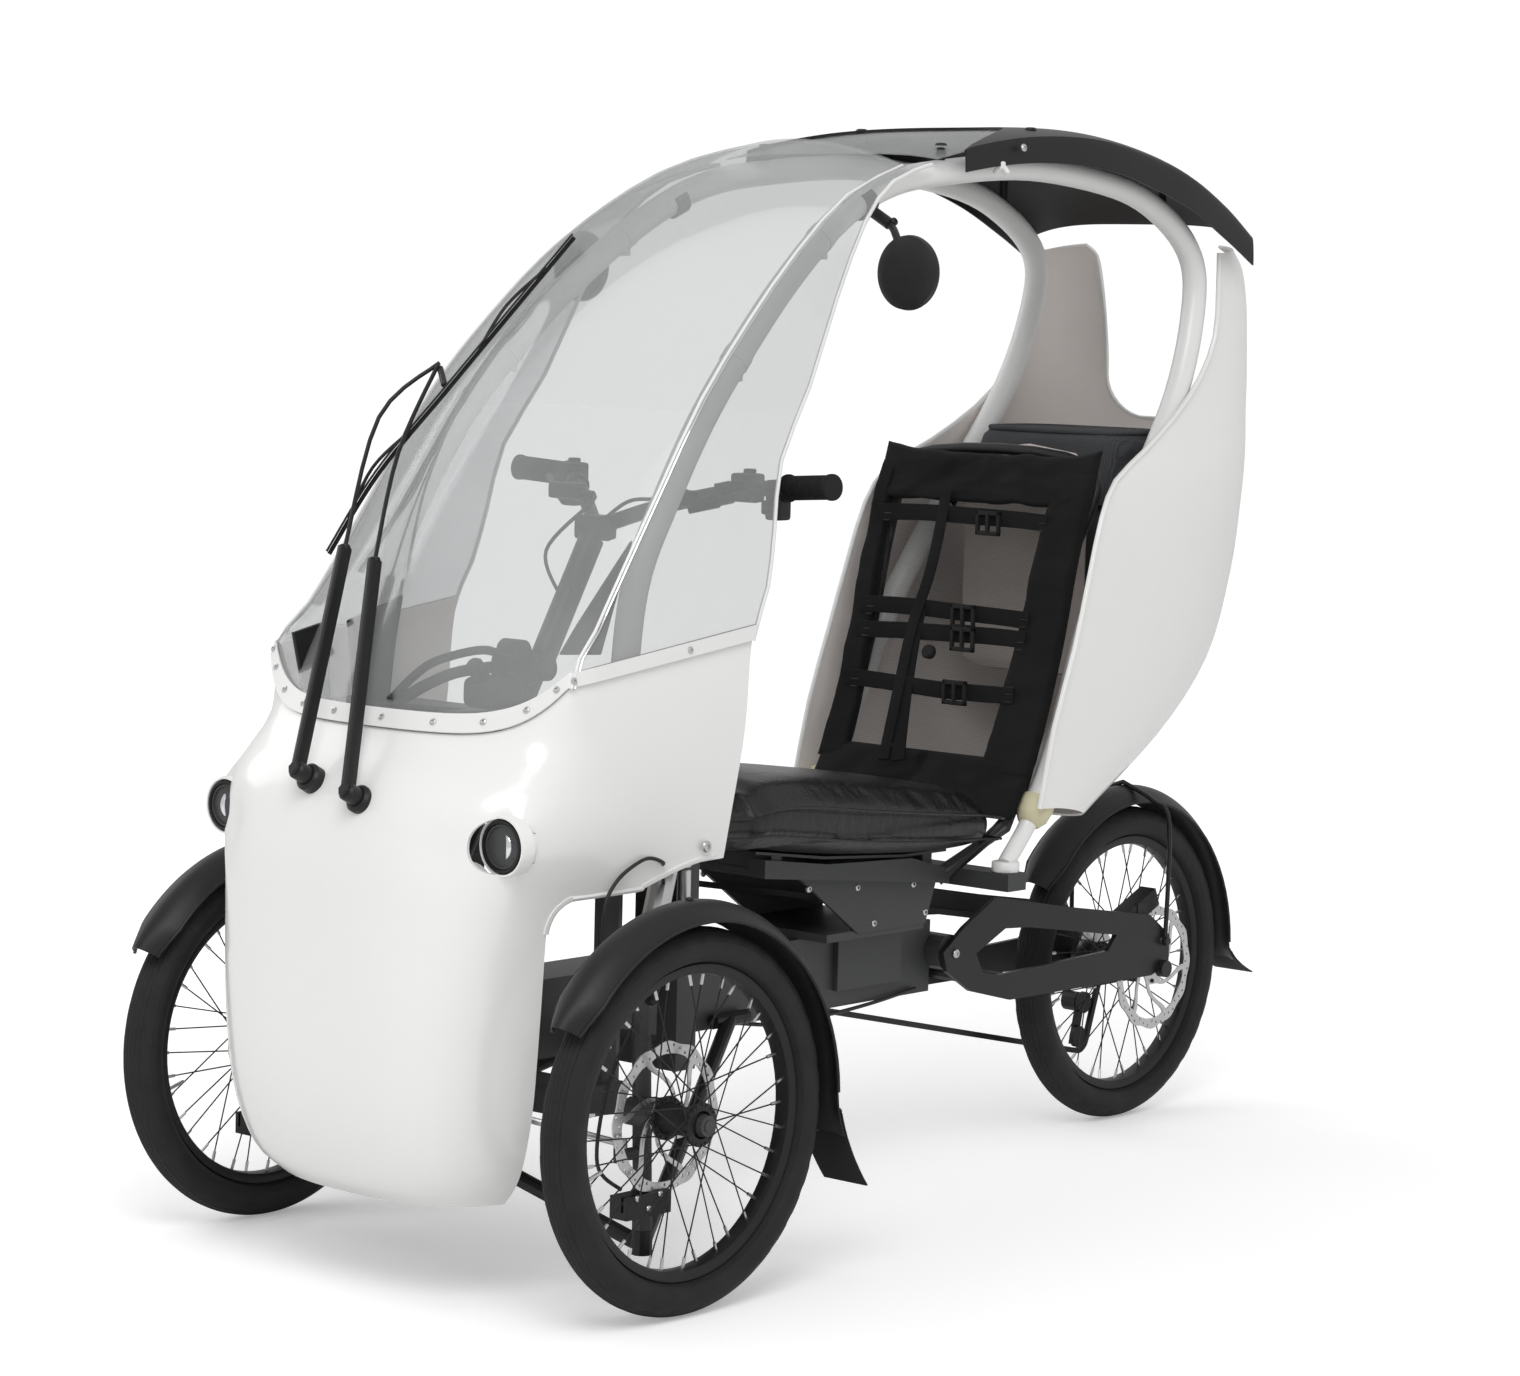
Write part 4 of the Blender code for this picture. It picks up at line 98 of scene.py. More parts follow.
def spline(items, steps, between, closed=False):
    """Items with Catmull-Rom steps between them."""
    count = len(items)
    made = []
    for index in range(count if closed else count - 1):
        spots = [index + offset for offset in (-1, 0, 1, 2)]
        around = [items[spot % count if closed else min(max(spot, 0), count - 1)] for spot in spots]
        made += [between(*around, step / steps) for step in range(steps)]
    return made if closed else made + [items[-1]]


def smooth_line(points, steps, closed=False):
    return spline([Vector(point) for point in points], steps, catmull, closed)


def smooth_values(rows, steps):
    return spline(rows, steps, lambda a, b, c, d, t: [catmull(*four, t) for four in zip(a, b, c, d)])


# Forms: each helper gives a bmesh, laid out from the front axle


def weld(bm, distance=1e-6):
    bmesh.ops.remove_doubles(bm, verts=bm.verts, dist=distance)
    return bm


def outward(bm):
    bmesh.ops.recalc_face_normals(bm, faces=bm.faces)
    return bm


def grid(rows, closed=False, caps=False):
    """Faces between rows of points, with each row closed and the ends capped if asked."""
    bm = bmesh.new()
    lines = [[bm.verts.new(point) for point in row] for row in rows]
    for low, high in zip(lines, lines[1:]):
        pairs = list(zip(low, low[1:], high[1:], high))
        if closed:
            pairs.append((low[-1], low[0], high[0], high[-1]))
        for corners in pairs:
            bm.faces.new(corners)
    if caps:
        bm.faces.new(list(reversed(lines[0])))
        bm.faces.new(lines[-1])
    return outward(bm)


def merged(*forms):
    """All forms in the first one."""
    base = forms[0]
    for form in forms[1:]:
        mesh = bpy.data.meshes.new("part")
        form.to_mesh(mesh)
        base.from_mesh(mesh)
        form.free()
        bpy.data.meshes.remove(mesh)
    return base


def sweep(path, radius, sides=10, closed=False, flat=None, radii=None, up=None):
    """A tube along a path, round or with flat = (width, thickness) and rounded corners."""
    path = [Vector(point) for point in path]
    count = len(path)
    rows = []
    side = None
    for index, here in enumerate(path):
        before = path[index - 1] if index or closed else here
        after = path[(index + 1) % count] if index < count - 1 or closed else here
        along = (after - before).normalized()
        if side is None:
            guide = Vector(up or ((0, 0, 1) if abs(along.z) < 0.9 else (1, 0, 0)))
            side = along.cross(guide).normalized()
        side = (side - along * side.dot(along)).normalized()
        top = side.cross(along).normalized()
        size = radii[index] if radii else radius
        row = []
        for step in range(sides):
            across, high = polar(1, math.tau * step / sides)
            if flat:
                across = math.copysign(abs(across) ** 0.35, across) * flat[0] / 2
                high = math.copysign(abs(high) ** 0.35, high) * flat[1] / 2
            else:
                across, high = across * size, high * size
            row.append(here + side * across + top * high)
        rows.append(row)
    return weld(grid(rows + rows[:1], True)) if closed else grid(rows, True, True)


def lathe(profile, centre, steps=48, axis="X"):
    """Points of (along, radius), turned about an axis through centre."""
    centre = Vector(centre)
    rows = []
    for step in range(steps):
        row = []
        for along, radius in profile:
            a, b = polar(radius, math.tau * step / steps)
            row.append(centre + Vector({"X": (along, a, b), "Y": (a, along, b), "Z": (a, b, along)}[axis]))
        rows.append(row)
    bm = weld(grid(rows + rows[:1]))
    bmesh.ops.holes_fill(bm, edges=bm.edges)
    return outward(bm)


def turned_to(bm, spot, direction):
    """Turns a form laid along Z so that it points along direction, and puts it at spot."""
    turn = Vector((0, 0, 1)).rotation_difference(Vector(direction)).to_matrix().to_4x4()
    bmesh.ops.transform(bm, matrix=Matrix.Translation(Vector(spot)) @ turn, verts=bm.verts)
    return bm


def block(low, high, bevel=0.002, steps=2, at=(0, 0, 0)):
    """A box-like body with rounded edges, from two corners, which may be given from a spot."""
    low, high = Vector(at) + Vector(low), Vector(at) + Vector(high)
    bm = bmesh.new()
    place_at = Matrix.Translation((low + high) / 2) @ Matrix.Diagonal((*(high - low), 1))
    bmesh.ops.create_cube(bm, size=1, matrix=place_at)
    bmesh.ops.bevel(bm, geom=bm.edges[:], offset=bevel, segments=steps, profile=0.6, affect="EDGES")
    return bm


def pushed(bm, faces, push):
    """Makes a flat form thick."""
    moved = bmesh.ops.extrude_face_region(bm, geom=faces)["geom"]
    bmesh.ops.translate(bm, verts=[item for item in moved if isinstance(item, bmesh.types.BMVert)], vec=push)
    return outward(bm)


def slab(outline, low, high, axis="X", bevel=0.0):
    """A flat outline of two coordinates, as thick as from low to high along axis."""
    bm = bmesh.new()
    spots = [{"X": (low, a, b), "Y": (a, low, b)}[axis] for a, b in outline]
    face = bm.faces.new([bm.verts.new(spot) for spot in spots])
    pushed(bm, [face], Vector(((high - low) * (axis == "X"), (high - low) * (axis == "Y"), 0)))
    if bevel:
        rims = [edge for edge in bm.edges if edge.calc_face_angle(0) > 0.6]
        bmesh.ops.bevel(bm, geom=rims, offset=bevel, segments=2, profile=0.6, affect="EDGES")
    return bm


def screw(spot, direction, radius=0.0045, height=0.003, socket=True):
    """A domed screw head with a sunk socket."""
    profile = [(0, 0), (0, radius), (height * 0.35, radius), (height * 0.8, radius * 0.86), (height, radius * 0.62)]
    if socket:
        profile += [(height, radius * 0.42), (height * 0.45, radius * 0.38)]
    profile.append((profile[-1][0], 0))
    return turned_to(lathe([(a, max(r, TINY)) for a, r in profile], (0, 0, 0), 10, "Z"), spot, direction)


def rod(start, end, radius, sides=14, bevel=0.0015, at=(0, 0, 0)):
    """A round bar with rounded ends, from start to end, which may be given from a spot."""
    start, end = Vector(at) + Vector(start), Vector(at) + Vector(end)
    length = (end - start).length
    soft = min(bevel, radius * 0.5, length * 0.3)
    half = [(0, TINY), (0, radius - soft), (soft, radius)]
    profile = half + [(length - soft, radius), (length, radius - soft), (length, TINY)]
    return turned_to(lathe(profile, (0, 0, 0), sides, "Z"), start, end - start)


# Pieces


def new_object(name, bm, collection=PIECES):
    mesh = bpy.data.meshes.new(name)
    bm.to_mesh(mesh)
    bm.free()
    made = bpy.data.objects.new(name, mesh)
    collection.objects.link(made)
    return made


def piece(name, bm, material, body="chassis", replaces=(), angle=38, thick=0):
    """A finished object from a form, riding on a body. A second material is for its inside."""
    bmesh.ops.translate(bm, verts=bm.verts, vec=(0, AXLE_Y, 0))
    made = new_object(name, bm)
    keys = (material,) if isinstance(material, str) else material
    for key in keys:
        made.data.materials.append(MATERIALS[key])
    if thick:
        solid = made.modifiers.new("thick", "SOLIDIFY")
        solid.thickness = abs(thick)
        solid.offset = math.copysign(1, thick)
        if len(keys) > 1:
            solid.material_offset = 1
            solid.material_offset_rim = 0
        bake(made)
    shade(made, angle)
    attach(made, body)
    if replaces:
        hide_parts(*replaces)
    return made


def bake(obj):
    """Applies an object's modifiers to its mesh."""
    bpy.context.view_layer.update()
    graph = bpy.context.evaluated_depsgraph_get()
    mesh = bpy.data.meshes.new_from_object(obj.evaluated_get(graph), depsgraph=graph)
    obj.modifiers.clear()
    old = obj.data
    obj.data = mesh
    bpy.data.meshes.remove(old)


def shade(obj, angle):
    """Smooth faces with sharp edges above an angle."""
    for face in obj.data.polygons:
        face.use_smooth = True
    obj.data.set_sharp_from_angle(angle=math.radians(angle))


def carve(obj, tool):
    """Cuts a form out of a piece."""
    bmesh.ops.translate(tool, verts=tool.verts, vec=(0, AXLE_Y, 0))
    cutter = new_object("tool", tool)
    cut = obj.modifiers.new("cut", "BOOLEAN")
    cut.operation = "DIFFERENCE"
    cut.solver = "EXACT"
    cut.object = cutter
    bake(obj)
    mesh = cutter.data
    bpy.data.objects.remove(cutter)
    bpy.data.meshes.remove(mesh)


# Materials


def node_material(name):
    material = bpy.data.materials.new(name)
    material.use_nodes = True
    tree = material.node_tree
    return material, tree, tree.nodes["Principled BSDF"]


def fill(node, values):
    """Sets a node's inputs by their names."""
    for key, value in values.items():
        node.inputs[key].default_value = value


def add(tree, kind, **values):
    """A node with its properties and input values set."""
    node = tree.nodes.new("ShaderNode" + kind)
    for key, value in values.items():
        if key in node.inputs.keys():
            node.inputs[key].default_value = value
        else:
            setattr(node, key, value)
    return node


def texture_of(tree, kind, scale, stretch=(1, 1, 1), **values):
    """A procedural texture that stays with the piece."""
    where = add(tree, "TexCoord")
    mapping = add(tree, "Mapping", Scale=stretch)
    texture = add(tree, kind, Scale=scale, **values)
    tree.links.new(where.outputs["Object"], mapping.inputs["Vector"])
    tree.links.new(mapping.outputs[0], texture.inputs["Vector"])
    return texture


def waves(tree, scale, direction, distortion):
    return texture_of(
        tree, "TexWave", scale, wave_type="BANDS", bands_direction=direction, Distortion=distortion
    ).outputs["Fac"]


def mixed_color(tree, factor, low, high, shader):
    mix = add(tree, "Mix", data_type="RGBA")
    mix.inputs[6].default_value = (*low, 1)
    mix.inputs[7].default_value = (*high, 1)
    tree.links.new(factor, mix.inputs[0])
    tree.links.new(mix.outputs[2], shader.inputs["Base Color"])


def ranged(tree, value, low, high, start=0.0, end=1.0):
    spread = add(tree, "MapRange")
    fill(spread, {"From Min": start, "From Max": end, "To Min": low, "To Max": high})
    tree.links.new(value, spread.inputs["Value"])
    return spread.outputs[0]


def combined(tree, operation, first, second):
    node = add(tree, "Math", operation=operation)
    tree.links.new(first, node.inputs[0])
    tree.links.new(second, node.inputs[1])
    return node.outputs[0]


def mixed_shader(tree, share, first, second):
    node = add(tree, "MixShader")
    for source, target in zip((share, first.outputs[0], second.outputs[0]), node.inputs):
        tree.links.new(source, target)
    return node


def add_bump(tree, shader, height, distance, below=None):
    bump = add(tree, "Bump", Distance=distance, Strength=1.0)
    tree.links.new(height, bump.inputs["Height"])
    if below:
        tree.links.new(below, bump.inputs["Normal"])
    tree.links.new(bump.outputs[0], shader.inputs["Normal"])
    return bump.outputs[0]


def solid(name, low, high, rough, metallic=0.0, grain=40.0, bump=0.0, coat=0.0, patch=6.0, shine=0.5):
    """A solid finish: two close tones in soft patches, a fine grain and varied roughness."""
    material, tree, shader = node_material(name)
    mixed_color(tree, texture_of(tree, "TexNoise", patch, Detail=3.0).outputs[0], low, high, shader)
    fill(shader, {"Metallic": metallic, "Specular IOR Level": shine})
    grains = texture_of(tree, "TexNoise", grain, Detail=4.0).outputs[0]
    tree.links.new(ranged(tree, grains, max(0.02, rough - 0.06), rough + 0.06), shader.inputs["Roughness"])
    if bump:
        add_bump(tree, shader, grains, bump)
    if coat:
        fill(shader, {"Coat Weight": coat, "Coat Roughness": 0.06})
    return material


def make_clear(name, tint, veil):
    """Clear sheet: it lets light straight through, with faint haze, fine scratches and a sheen."""
    material, tree, shader = node_material(name)
    tree.nodes.remove(shader)
    scratches = texture_of(tree, "TexNoise", 5.0, Detail=6.0).outputs[0]
    through = add(tree, "BsdfTransparent", Color=(*tint, 1))
    haze = add(tree, "BsdfDiffuse", Color=(0.90, 0.91, 0.91, 1))
    gloss = add(tree, "BsdfGlossy", Roughness=0.04)
    hazed = mixed_shader(tree, ranged(tree, scratches, veil * 0.9, veil * 1.25, 0.4, 0.7), through, haze)
    facing = add(tree, "LayerWeight", Blend=0.18)
    top = mixed_shader(tree, ranged(tree, facing.outputs["Fresnel"], 0.0, 0.42), hazed, gloss)
    tree.links.new(top.outputs[0], tree.nodes["Material Output"].inputs["Surface"])
    return material


def make_weave(name, low, high, scale, rough=0.85, bump=0.0004, see_through=0.0):
    """Cloth: two sets of threads that cross, see-through between if open, with a painted highlight on the threads'
    crowns and painted shade between them and in soft creases.
    """
    material, tree, shader = node_material(name)
    threads = combined(tree, "MAXIMUM", waves(tree, scale, "X", 0.4), waves(tree, scale, "Z", 0.4))
    fold_shade = texture_of(tree, "TexNoise", 9.0, Detail=4.0).outputs[0]
    # Painted light: the colour is lighter on the threads' crowns and darker between them and in soft creases.
    mixed_color(tree, combined(tree, "MULTIPLY", threads, fold_shade), low, high, shader)
    fill(shader, {"Roughness": rough, "Sheen Weight": 0.04, "Specular IOR Level": 0.15})
    add_bump(tree, shader, threads, bump)
    if see_through:
        tree.links.new(ranged(tree, threads, 1 - see_through, 0.5, 0.55, 0.95), shader.inputs["Alpha"])
    return material


def make_leather():
    """Smooth black leather: fine pebbles, soft creases with painted shade down in them, and a dull shine."""
    material, tree, shader = node_material("black_leather")
    pebbles = texture_of(tree, "TexVoronoi", 420.0)
    creases = texture_of(tree, "TexNoise", 26.0, (1, 2.2, 1), Detail=6.0, Distortion=0.8).outputs[0]
    # Painted shade: the colour is darker down in the creases, where the same noise sinks the bump.
    mixed_color(tree, creases, (0.003, 0.003, 0.0034), (0.009, 0.009, 0.0095), shader)
    tree.links.new(ranged(tree, creases, 0.26, 0.40), shader.inputs["Roughness"])
    low = add_bump(tree, shader, creases, 0.0016)
    add_bump(tree, shader, pebbles.outputs["Distance"], 0.0003, low)
    return material


def make_tread():
    """Tyre rubber: dusty crown, fine mould lines round the sidewall."""
    material, tree, shader = node_material("tyre_rubber")
    dust = texture_of(tree, "TexNoise", 24.0, Detail=6.0).outputs[0]
    mixed_color(tree, dust, (0.009, 0.009, 0.009), (0.024, 0.0235, 0.023), shader)
    fill(shader, {"Roughness": 0.62, "Specular IOR Level": 0.28})
    low = add_bump(tree, shader, waves(tree, 210.0, "X", 0.0), 0.00025)
    add_bump(tree, shader, dust, 0.0003, low)
    return material


def make_disc():
    """Ground steel: fine scratches round the disc."""
    material, tree, shader = node_material("ground_steel")
    rings = texture_of(tree, "TexNoise", 600.0, Detail=3.0).outputs[0]
    mixed_color(tree, rings, (0.50, 0.50, 0.51), (0.68, 0.68, 0.68), shader)
    fill(shader, {"Metallic": 1.0, "Anisotropic": 0.6})
    tree.links.new(ranged(tree, rings, 0.22, 0.38), shader.inputs["Roughness"])
    return material


# Each solid finish: its name, two tones, roughness, metal, grain and bump, then coat, patch or shine
SHELL = ("shell_white", (0.855, 0.855, 0.84), (0.885, 0.885, 0.87), 0.24, 0, 90, 0.00008, 0.4)
# The inside's warm pale tone is partly its own colour and partly painted light: it is made brighter to stand for the
# light that comes through the shell.
SHELL_INSIDE = ("shell_inside", (0.87, 0.815, 0.78), (0.92, 0.87, 0.835), 0.6, 0, 160, 0.0003, 0, 12)
TUBE = ("tube_white", (0.80, 0.80, 0.79), (0.85, 0.85, 0.84), 0.30, 0, 120, 0.00005)
SATIN = ("satin_black", (0.008, 0.008, 0.0085), (0.017, 0.017, 0.018), 0.42, 0, 260, 0.00006, 0, 6, 0.32)
BLACK = ("black_paint", (0.009, 0.009, 0.010), (0.018, 0.018, 0.019), 0.38, 0, 300, 0.00005, 0, 6, 0.35)
POWDER = ("powder_coat", (0.046, 0.047, 0.048), (0.062, 0.063, 0.064), 0.46, 0.1, 700, 0.00006, 0, 6, 0.4)
GRIP = ("grip_rubber", (0.008, 0.008, 0.008), (0.018, 0.018, 0.018), 0.70, 0, 500, 0.0002, 0, 6, 0.25)
SILVER = ("brushed_metal", (0.55, 0.55, 0.56), (0.68, 0.68, 0.68), 0.30, 1.0, 400, 0.00003)
CHROME = ("lamp_reflector", (0.80, 0.81, 0.82), (0.90, 0.90, 0.90), 0.10, 1.0, 60, 0.0001)
MIRROR = ("mirror_glass", (0.80, 0.82, 0.83), (0.84, 0.85, 0.86), 0.07, 1.0, 40)
HOSE = ("hose_rubber", (0.010, 0.010, 0.010), (0.018, 0.018, 0.018), 0.5, 0, 300, 0.0001)
BAG_FRONT = ("bag_front", (0.60, 0.54, 0.50), (0.68, 0.62, 0.58), 0.8, 0, 240, 0.0004, 0, 9)
AGED = ("aged_collar", (0.60, 0.56, 0.36), (0.70, 0.66, 0.46), 0.45, 0, 90, 0.0001)
MATERIALS = {
    "shell": solid(*SHELL),
    "shell_inside": solid(*SHELL_INSIDE),
    "tube_white": solid(*TUBE),
    "satin_black": solid(*SATIN),
    "black_metal": solid(*BLACK),
    "frame_grey": solid(*POWDER),
    "rubber": solid(*GRIP),
    "tyre": make_tread(),
    "silver": solid(*SILVER),
    "disc": make_disc(),
    "fabric": make_weave("black_webbing", (0.004, 0.004, 0.0045), (0.016, 0.016, 0.017), 260.0),
    "felt": make_weave("grey_bag_cloth", (0.050, 0.052, 0.056), (0.115, 0.118, 0.124), 150.0, 0.95, 0.0008),
    "mesh": make_weave("open_mesh", (0.008, 0.008, 0.009), (0.022, 0.022, 0.024), 120.0, see_through=0.86),
    "leather": make_leather(),
    "clear": make_clear("clear_sheet", (0.815, 0.820, 0.822), 0.15),
    "lens": make_clear("lamp_lens", (0.97, 0.975, 0.98), 0.02),
    "chrome": solid(*CHROME),
    "mirror": solid(*MIRROR),
    "hose": solid(*HOSE),
    "liner": solid(*BAG_FRONT),
    "amber": solid(*AGED),
}
for part in frame["record"]["subparts"]:
    NODES[part["node"]].data.materials.clear()
    NODES[part["node"]].data.materials.append(MATERIALS[part["material_slot"]])


# Tables of the outer forms, in shares of CABIN_HALF, WHEELBASE and ROOF_HEIGHT

# half, crease y and z, front y and z, rear x, y and z, power and root of each row of the front skin
SKIN_SHARES = (
    (0.754, -0.020, 0.085, -0.137, 0.079, 0.789, 0.040, 0.089, 3.5, 0.286),
    (0.835, -0.020, 0.111, -0.166, 0.104, 0.860, 0.054, 0.114, 3.5, 0.286),
    (0.898, -0.013, 0.161, -0.187, 0.158, 0.919, 0.080, 0.165, 3.5, 0.286),
    (0.933, -0.007, 0.228, -0.194, 0.228, 0.947, 0.100, 0.234, 3.5, 0.286),
    (0.968, 0.000, 0.316, -0.192, 0.310, 0.975, 0.127, 0.329, 3.5, 0.286),
    (0.993, 0.000, 0.392, -0.185, 0.380, 0.996, 0.142, 0.405, 3.5, 0.286),
    (1.007, -0.020, 0.456, -0.168, 0.430, 1.004, 0.155, 0.472, 3.0, 0.400),
    (0.982, -0.070, 0.515, -0.127, 0.472, 1.000, 0.162, 0.545, 2.2, 0.900),
    (0.940, -0.033, 0.560, -0.094, 0.538, 0.982, 0.184, 0.589, 2.0, 1.000),
    (0.919, -0.001, 0.601, -0.052, 0.611, 0.954, 0.197, 0.636, 2.0, 1.000),
    (0.902, 0.052, 0.673, -0.003, 0.690, 0.919, 0.212, 0.696, 2.0, 1.000),
    (0.877, 0.110, 0.748, 0.057, 0.769, 0.877, 0.258, 0.759, 2.0, 1.000),
    (0.842, 0.179, 0.815, 0.130, 0.842, 0.842, 0.301, 0.835, 2.0, 1.000),
    (0.796, 0.254, 0.876, 0.217, 0.905, 0.800, 0.348, 0.902, 2.0, 1.000),
    (0.719, 0.341, 0.927, 0.318, 0.956, 0.744, 0.401, 0.940, 2.0, 1.000),
    (0.649, 0.436, 0.956, 0.421, 0.978, 0.702, 0.468, 0.958, 2.0, 1.000),
)
# edge x, y and z, back y and z of each row of the tail
TAIL_SHARES = (
    (0.842, 0.638, 0.362, 0.763, 0.339),
    (0.842, 0.658, 0.437, 0.910, 0.408),
    (0.842, 0.688, 0.511, 1.003, 0.481),
    (0.828, 0.712, 0.577, 1.047, 0.570),
    (0.811, 0.734, 0.633, 1.065, 0.646),
    (0.782, 0.763, 0.668, 1.074, 0.696),
    (0.730, 0.825, 0.696, 1.077, 0.741),
    (0.688, 0.888, 0.729, 1.077, 0.785),
    (0.667, 0.936, 0.766, 1.070, 0.823),
    (0.660, 0.963, 0.807, 1.060, 0.861),
    (0.653, 0.968, 0.851, 1.047, 0.892),
    (0.639, 0.971, 0.890, 1.023, 0.900),
)
# half, y, crown, shoulder and flange of each section of the roof
ROOF_SHARES = (
    (0.726, 0.482, 0.982, 0.976, 0.957),
    (0.754, 0.622, 0.996, 0.988, 0.965),
    (0.775, 0.738, 1.000, 0.987, 0.961),
    (0.779, 0.861, 0.985, 0.964, 0.934),
    (0.769, 0.940, 0.954, 0.935, 0.904),
    (0.764, 0.997, 0.918, 0.904, 0.878),
)
# x, y and z along a hoop, from its front foot
HOOP_SHARES = (
    (0.760, 0.030, 0.360),
    (0.790, 0.034, 0.480),
    (0.805, 0.045, 0.590),
    (0.800, 0.085, 0.664),
    (0.778, 0.138, 0.735),
    (0.735, 0.208, 0.803),
    (0.690, 0.272, 0.855),
    (0.640, 0.345, 0.903),
    (0.610, 0.420, 0.936),
    (0.590, 0.510, 0.952),
    (0.570, 0.656, 0.962),
    (0.555, 0.806, 0.950),
    (0.545, 0.890, 0.925),
    (0.540, 0.945, 0.886),
    (0.555, 0.950, 0.835),
    (0.590, 0.915, 0.750),
    (0.640, 0.830, 0.640),
    (0.690, 0.750, 0.530),
    (0.722, 0.695, 0.420),
    (0.732, 0.655, 0.355),
    (0.735, 0.612, 0.310),
)
# y, half, bottom and top of each section of the cushion
CUSHION_SHARES = (
    (0.178, 0.52, 0.356, 0.380),
    (0.190, 0.60, 0.352, 0.392),
    (0.215, 0.64, 0.351, 0.395),
    (0.241, 0.67, 0.350, 0.394),
    (0.252, 0.70, 0.349, 0.402),
    (0.300, 0.71, 0.341, 0.408),
    (0.400, 0.71, 0.3285, 0.398),
    (0.520, 0.71, 0.3205, 0.384),
    (0.590, 0.68, 0.3205, 0.374),
    (0.6155, 0.60, 0.326, 0.362),
)
# y and z up the front face of the seat back
BACK_SHARES = (
    (0.617, 0.350),
    (0.655, 0.410),
    (0.690, 0.508),
    (0.712, 0.594),
    (0.745, 0.696),
)
# z, y, half and depth of each section of the bag
BAG_SHARES = (
    (0.470, 0.878, 0.40, 0.26),
    (0.476, 0.877, 0.46, 0.31),
    (0.500, 0.876, 0.49, 0.34),
    (0.600, 0.876, 0.49, 0.35),
    (0.690, 0.878, 0.48, 0.34),
    (0.708, 0.879, 0.45, 0.31),
    (0.713, 0.880, 0.40, 0.26),
)
WIPER_LEFT_ARM = (
    (0.2035, -0.1886, 0.4253),
    (-0.2632, -0.0763, 0.6057),
    (-0.4912, -0.0080, 0.6937),
    (-0.5789, 0.0569, 0.7690),
)
WIPER_RIGHT_ARM = (
    (-0.1333, -0.1880, 0.4373),
    (-0.4912, -0.0722, 0.6139),
    (-0.7018, 0.0054, 0.7228),
    (-0.5789, 0.0589, 0.7709),
)
WIPER_BLADE_PATH = (
    (-0.7789, -0.0415, 0.6057),
    (-0.6316, -0.0080, 0.6759),
    (-0.4561, 0.0455, 0.7494),
    (-0.3509, 0.1070, 0.8177),
    (-0.2982, 0.1773, 0.8842),
)


def make_smoothing():
    """A modifier group that shades a CAD node smooth, except over its sharp edges."""
    group = bpy.data.node_groups.new("smooth_by_angle", "GeometryNodeTree")
    for way in ("INPUT", "OUTPUT"):
        group.interface.new_socket("Geometry", in_out=way, socket_type="NodeSocketGeometry")
    start = group.nodes.new("NodeGroupInput")
    faces, edges = (group.nodes.new("GeometryNodeSetShadeSmooth") for _ in range(2))
    faces.domain, edges.domain = "FACE", "EDGE"
    angle = group.nodes.new("GeometryNodeInputMeshEdgeAngle")
    below = group.nodes.new("ShaderNodeMath")
    below.operation = "LESS_THAN"
    below.inputs[1].default_value = math.radians(38)
    end = group.nodes.new("NodeGroupOutput")
    group.links.new(start.outputs[0], faces.inputs["Geometry"])
    group.links.new(faces.outputs[0], edges.inputs["Geometry"])
    group.links.new(angle.outputs["Unsigned Angle"], below.inputs[0])
    group.links.new(below.outputs[0], edges.inputs["Shade Smooth"])
    group.links.new(edges.outputs[0], end.inputs[0])
    return group


SMOOTHING = make_smoothing()
BEVELLED = (
    "frame", "seat_base", "foot_bar", "swingarm", "crankset", "column_stay", "derailleur", "rear_caliper",
    "caliper_front_left", "caliper_front_right",
)
for node_name, node_object in NODES.items():
    if node_name in BEVELLED:
        soft = node_object.modifiers.new("soft_edges", "BEVEL")
        soft.width = 0.0014
        soft.segments = 2
        soft.limit_method = "ANGLE"
        soft.angle_limit = math.radians(40)
        soft.harden_normals = False
    node_object.modifiers.new("smooth_shading", "NODES").node_group = SMOOTHING


# Shells

FINE = 4
SKIN_COLUMNS = 26
SIDE_STEPS = 8
TAIL_COLUMNS = 28
TAIL_ROUND = 2 / 4.0
FAIRING_THICK = 0.004
SCREEN_THICK = 0.003
# The power of the skin's rise from the middle: steeper in the two rows of the dip over the nose
LIFTS = {6: 6.0, 7: 6.0}


def skin_half(row):
    """Half of a row of the front skin, from the middle over the crease to the rear edge."""
    half, crease_y, crease_z, front_y, front_z, rear_x, rear_y, rear_z, power, root, lift = row
    crease, rear = cabin_point(half, crease_y, crease_z), cabin_point(rear_x, rear_y, rear_z)
    front = cabin_point(0, front_y, front_z)
    made = []
    for column in range(SKIN_COLUMNS + 1):
        share = math.sin(math.pi / 2 * column / SKIN_COLUMNS) ** (2 / power)
        depth = 1 - max(0.0, 1 - share**power) ** root
        y = front.y + (crease.y - front.y) * depth
        made.append(Vector((crease.x * share, y, front.z + (crease.z - front.z) * share**lift)))
    return made + [crease.lerp(rear, step / SIDE_STEPS) for step in range(1, SIDE_STEPS + 1)]


def mirrored_row(half):
    """A whole row from its left half, whose first point lies on the middle."""
    return [sided(point, -1) for point in reversed(half[1:])] + list(half)


def facing_out(bm, centre):
    """Turns the faces of an open sheet away from a point inside it."""
    centre = Vector(centre)
    if sum(face.normal.dot(face.calc_center_median() - centre) for face in bm.faces) < 0:
        bmesh.ops.reverse_faces(bm, faces=bm.faces)
    return bm


def ray_tree(obj):
    """A piece's faces, ready for rays."""
    bm = bmesh.new()
    bm.from_mesh(obj.data)
    tree = BVHTree.FromBMesh(bm)
    bm.free()
    return tree


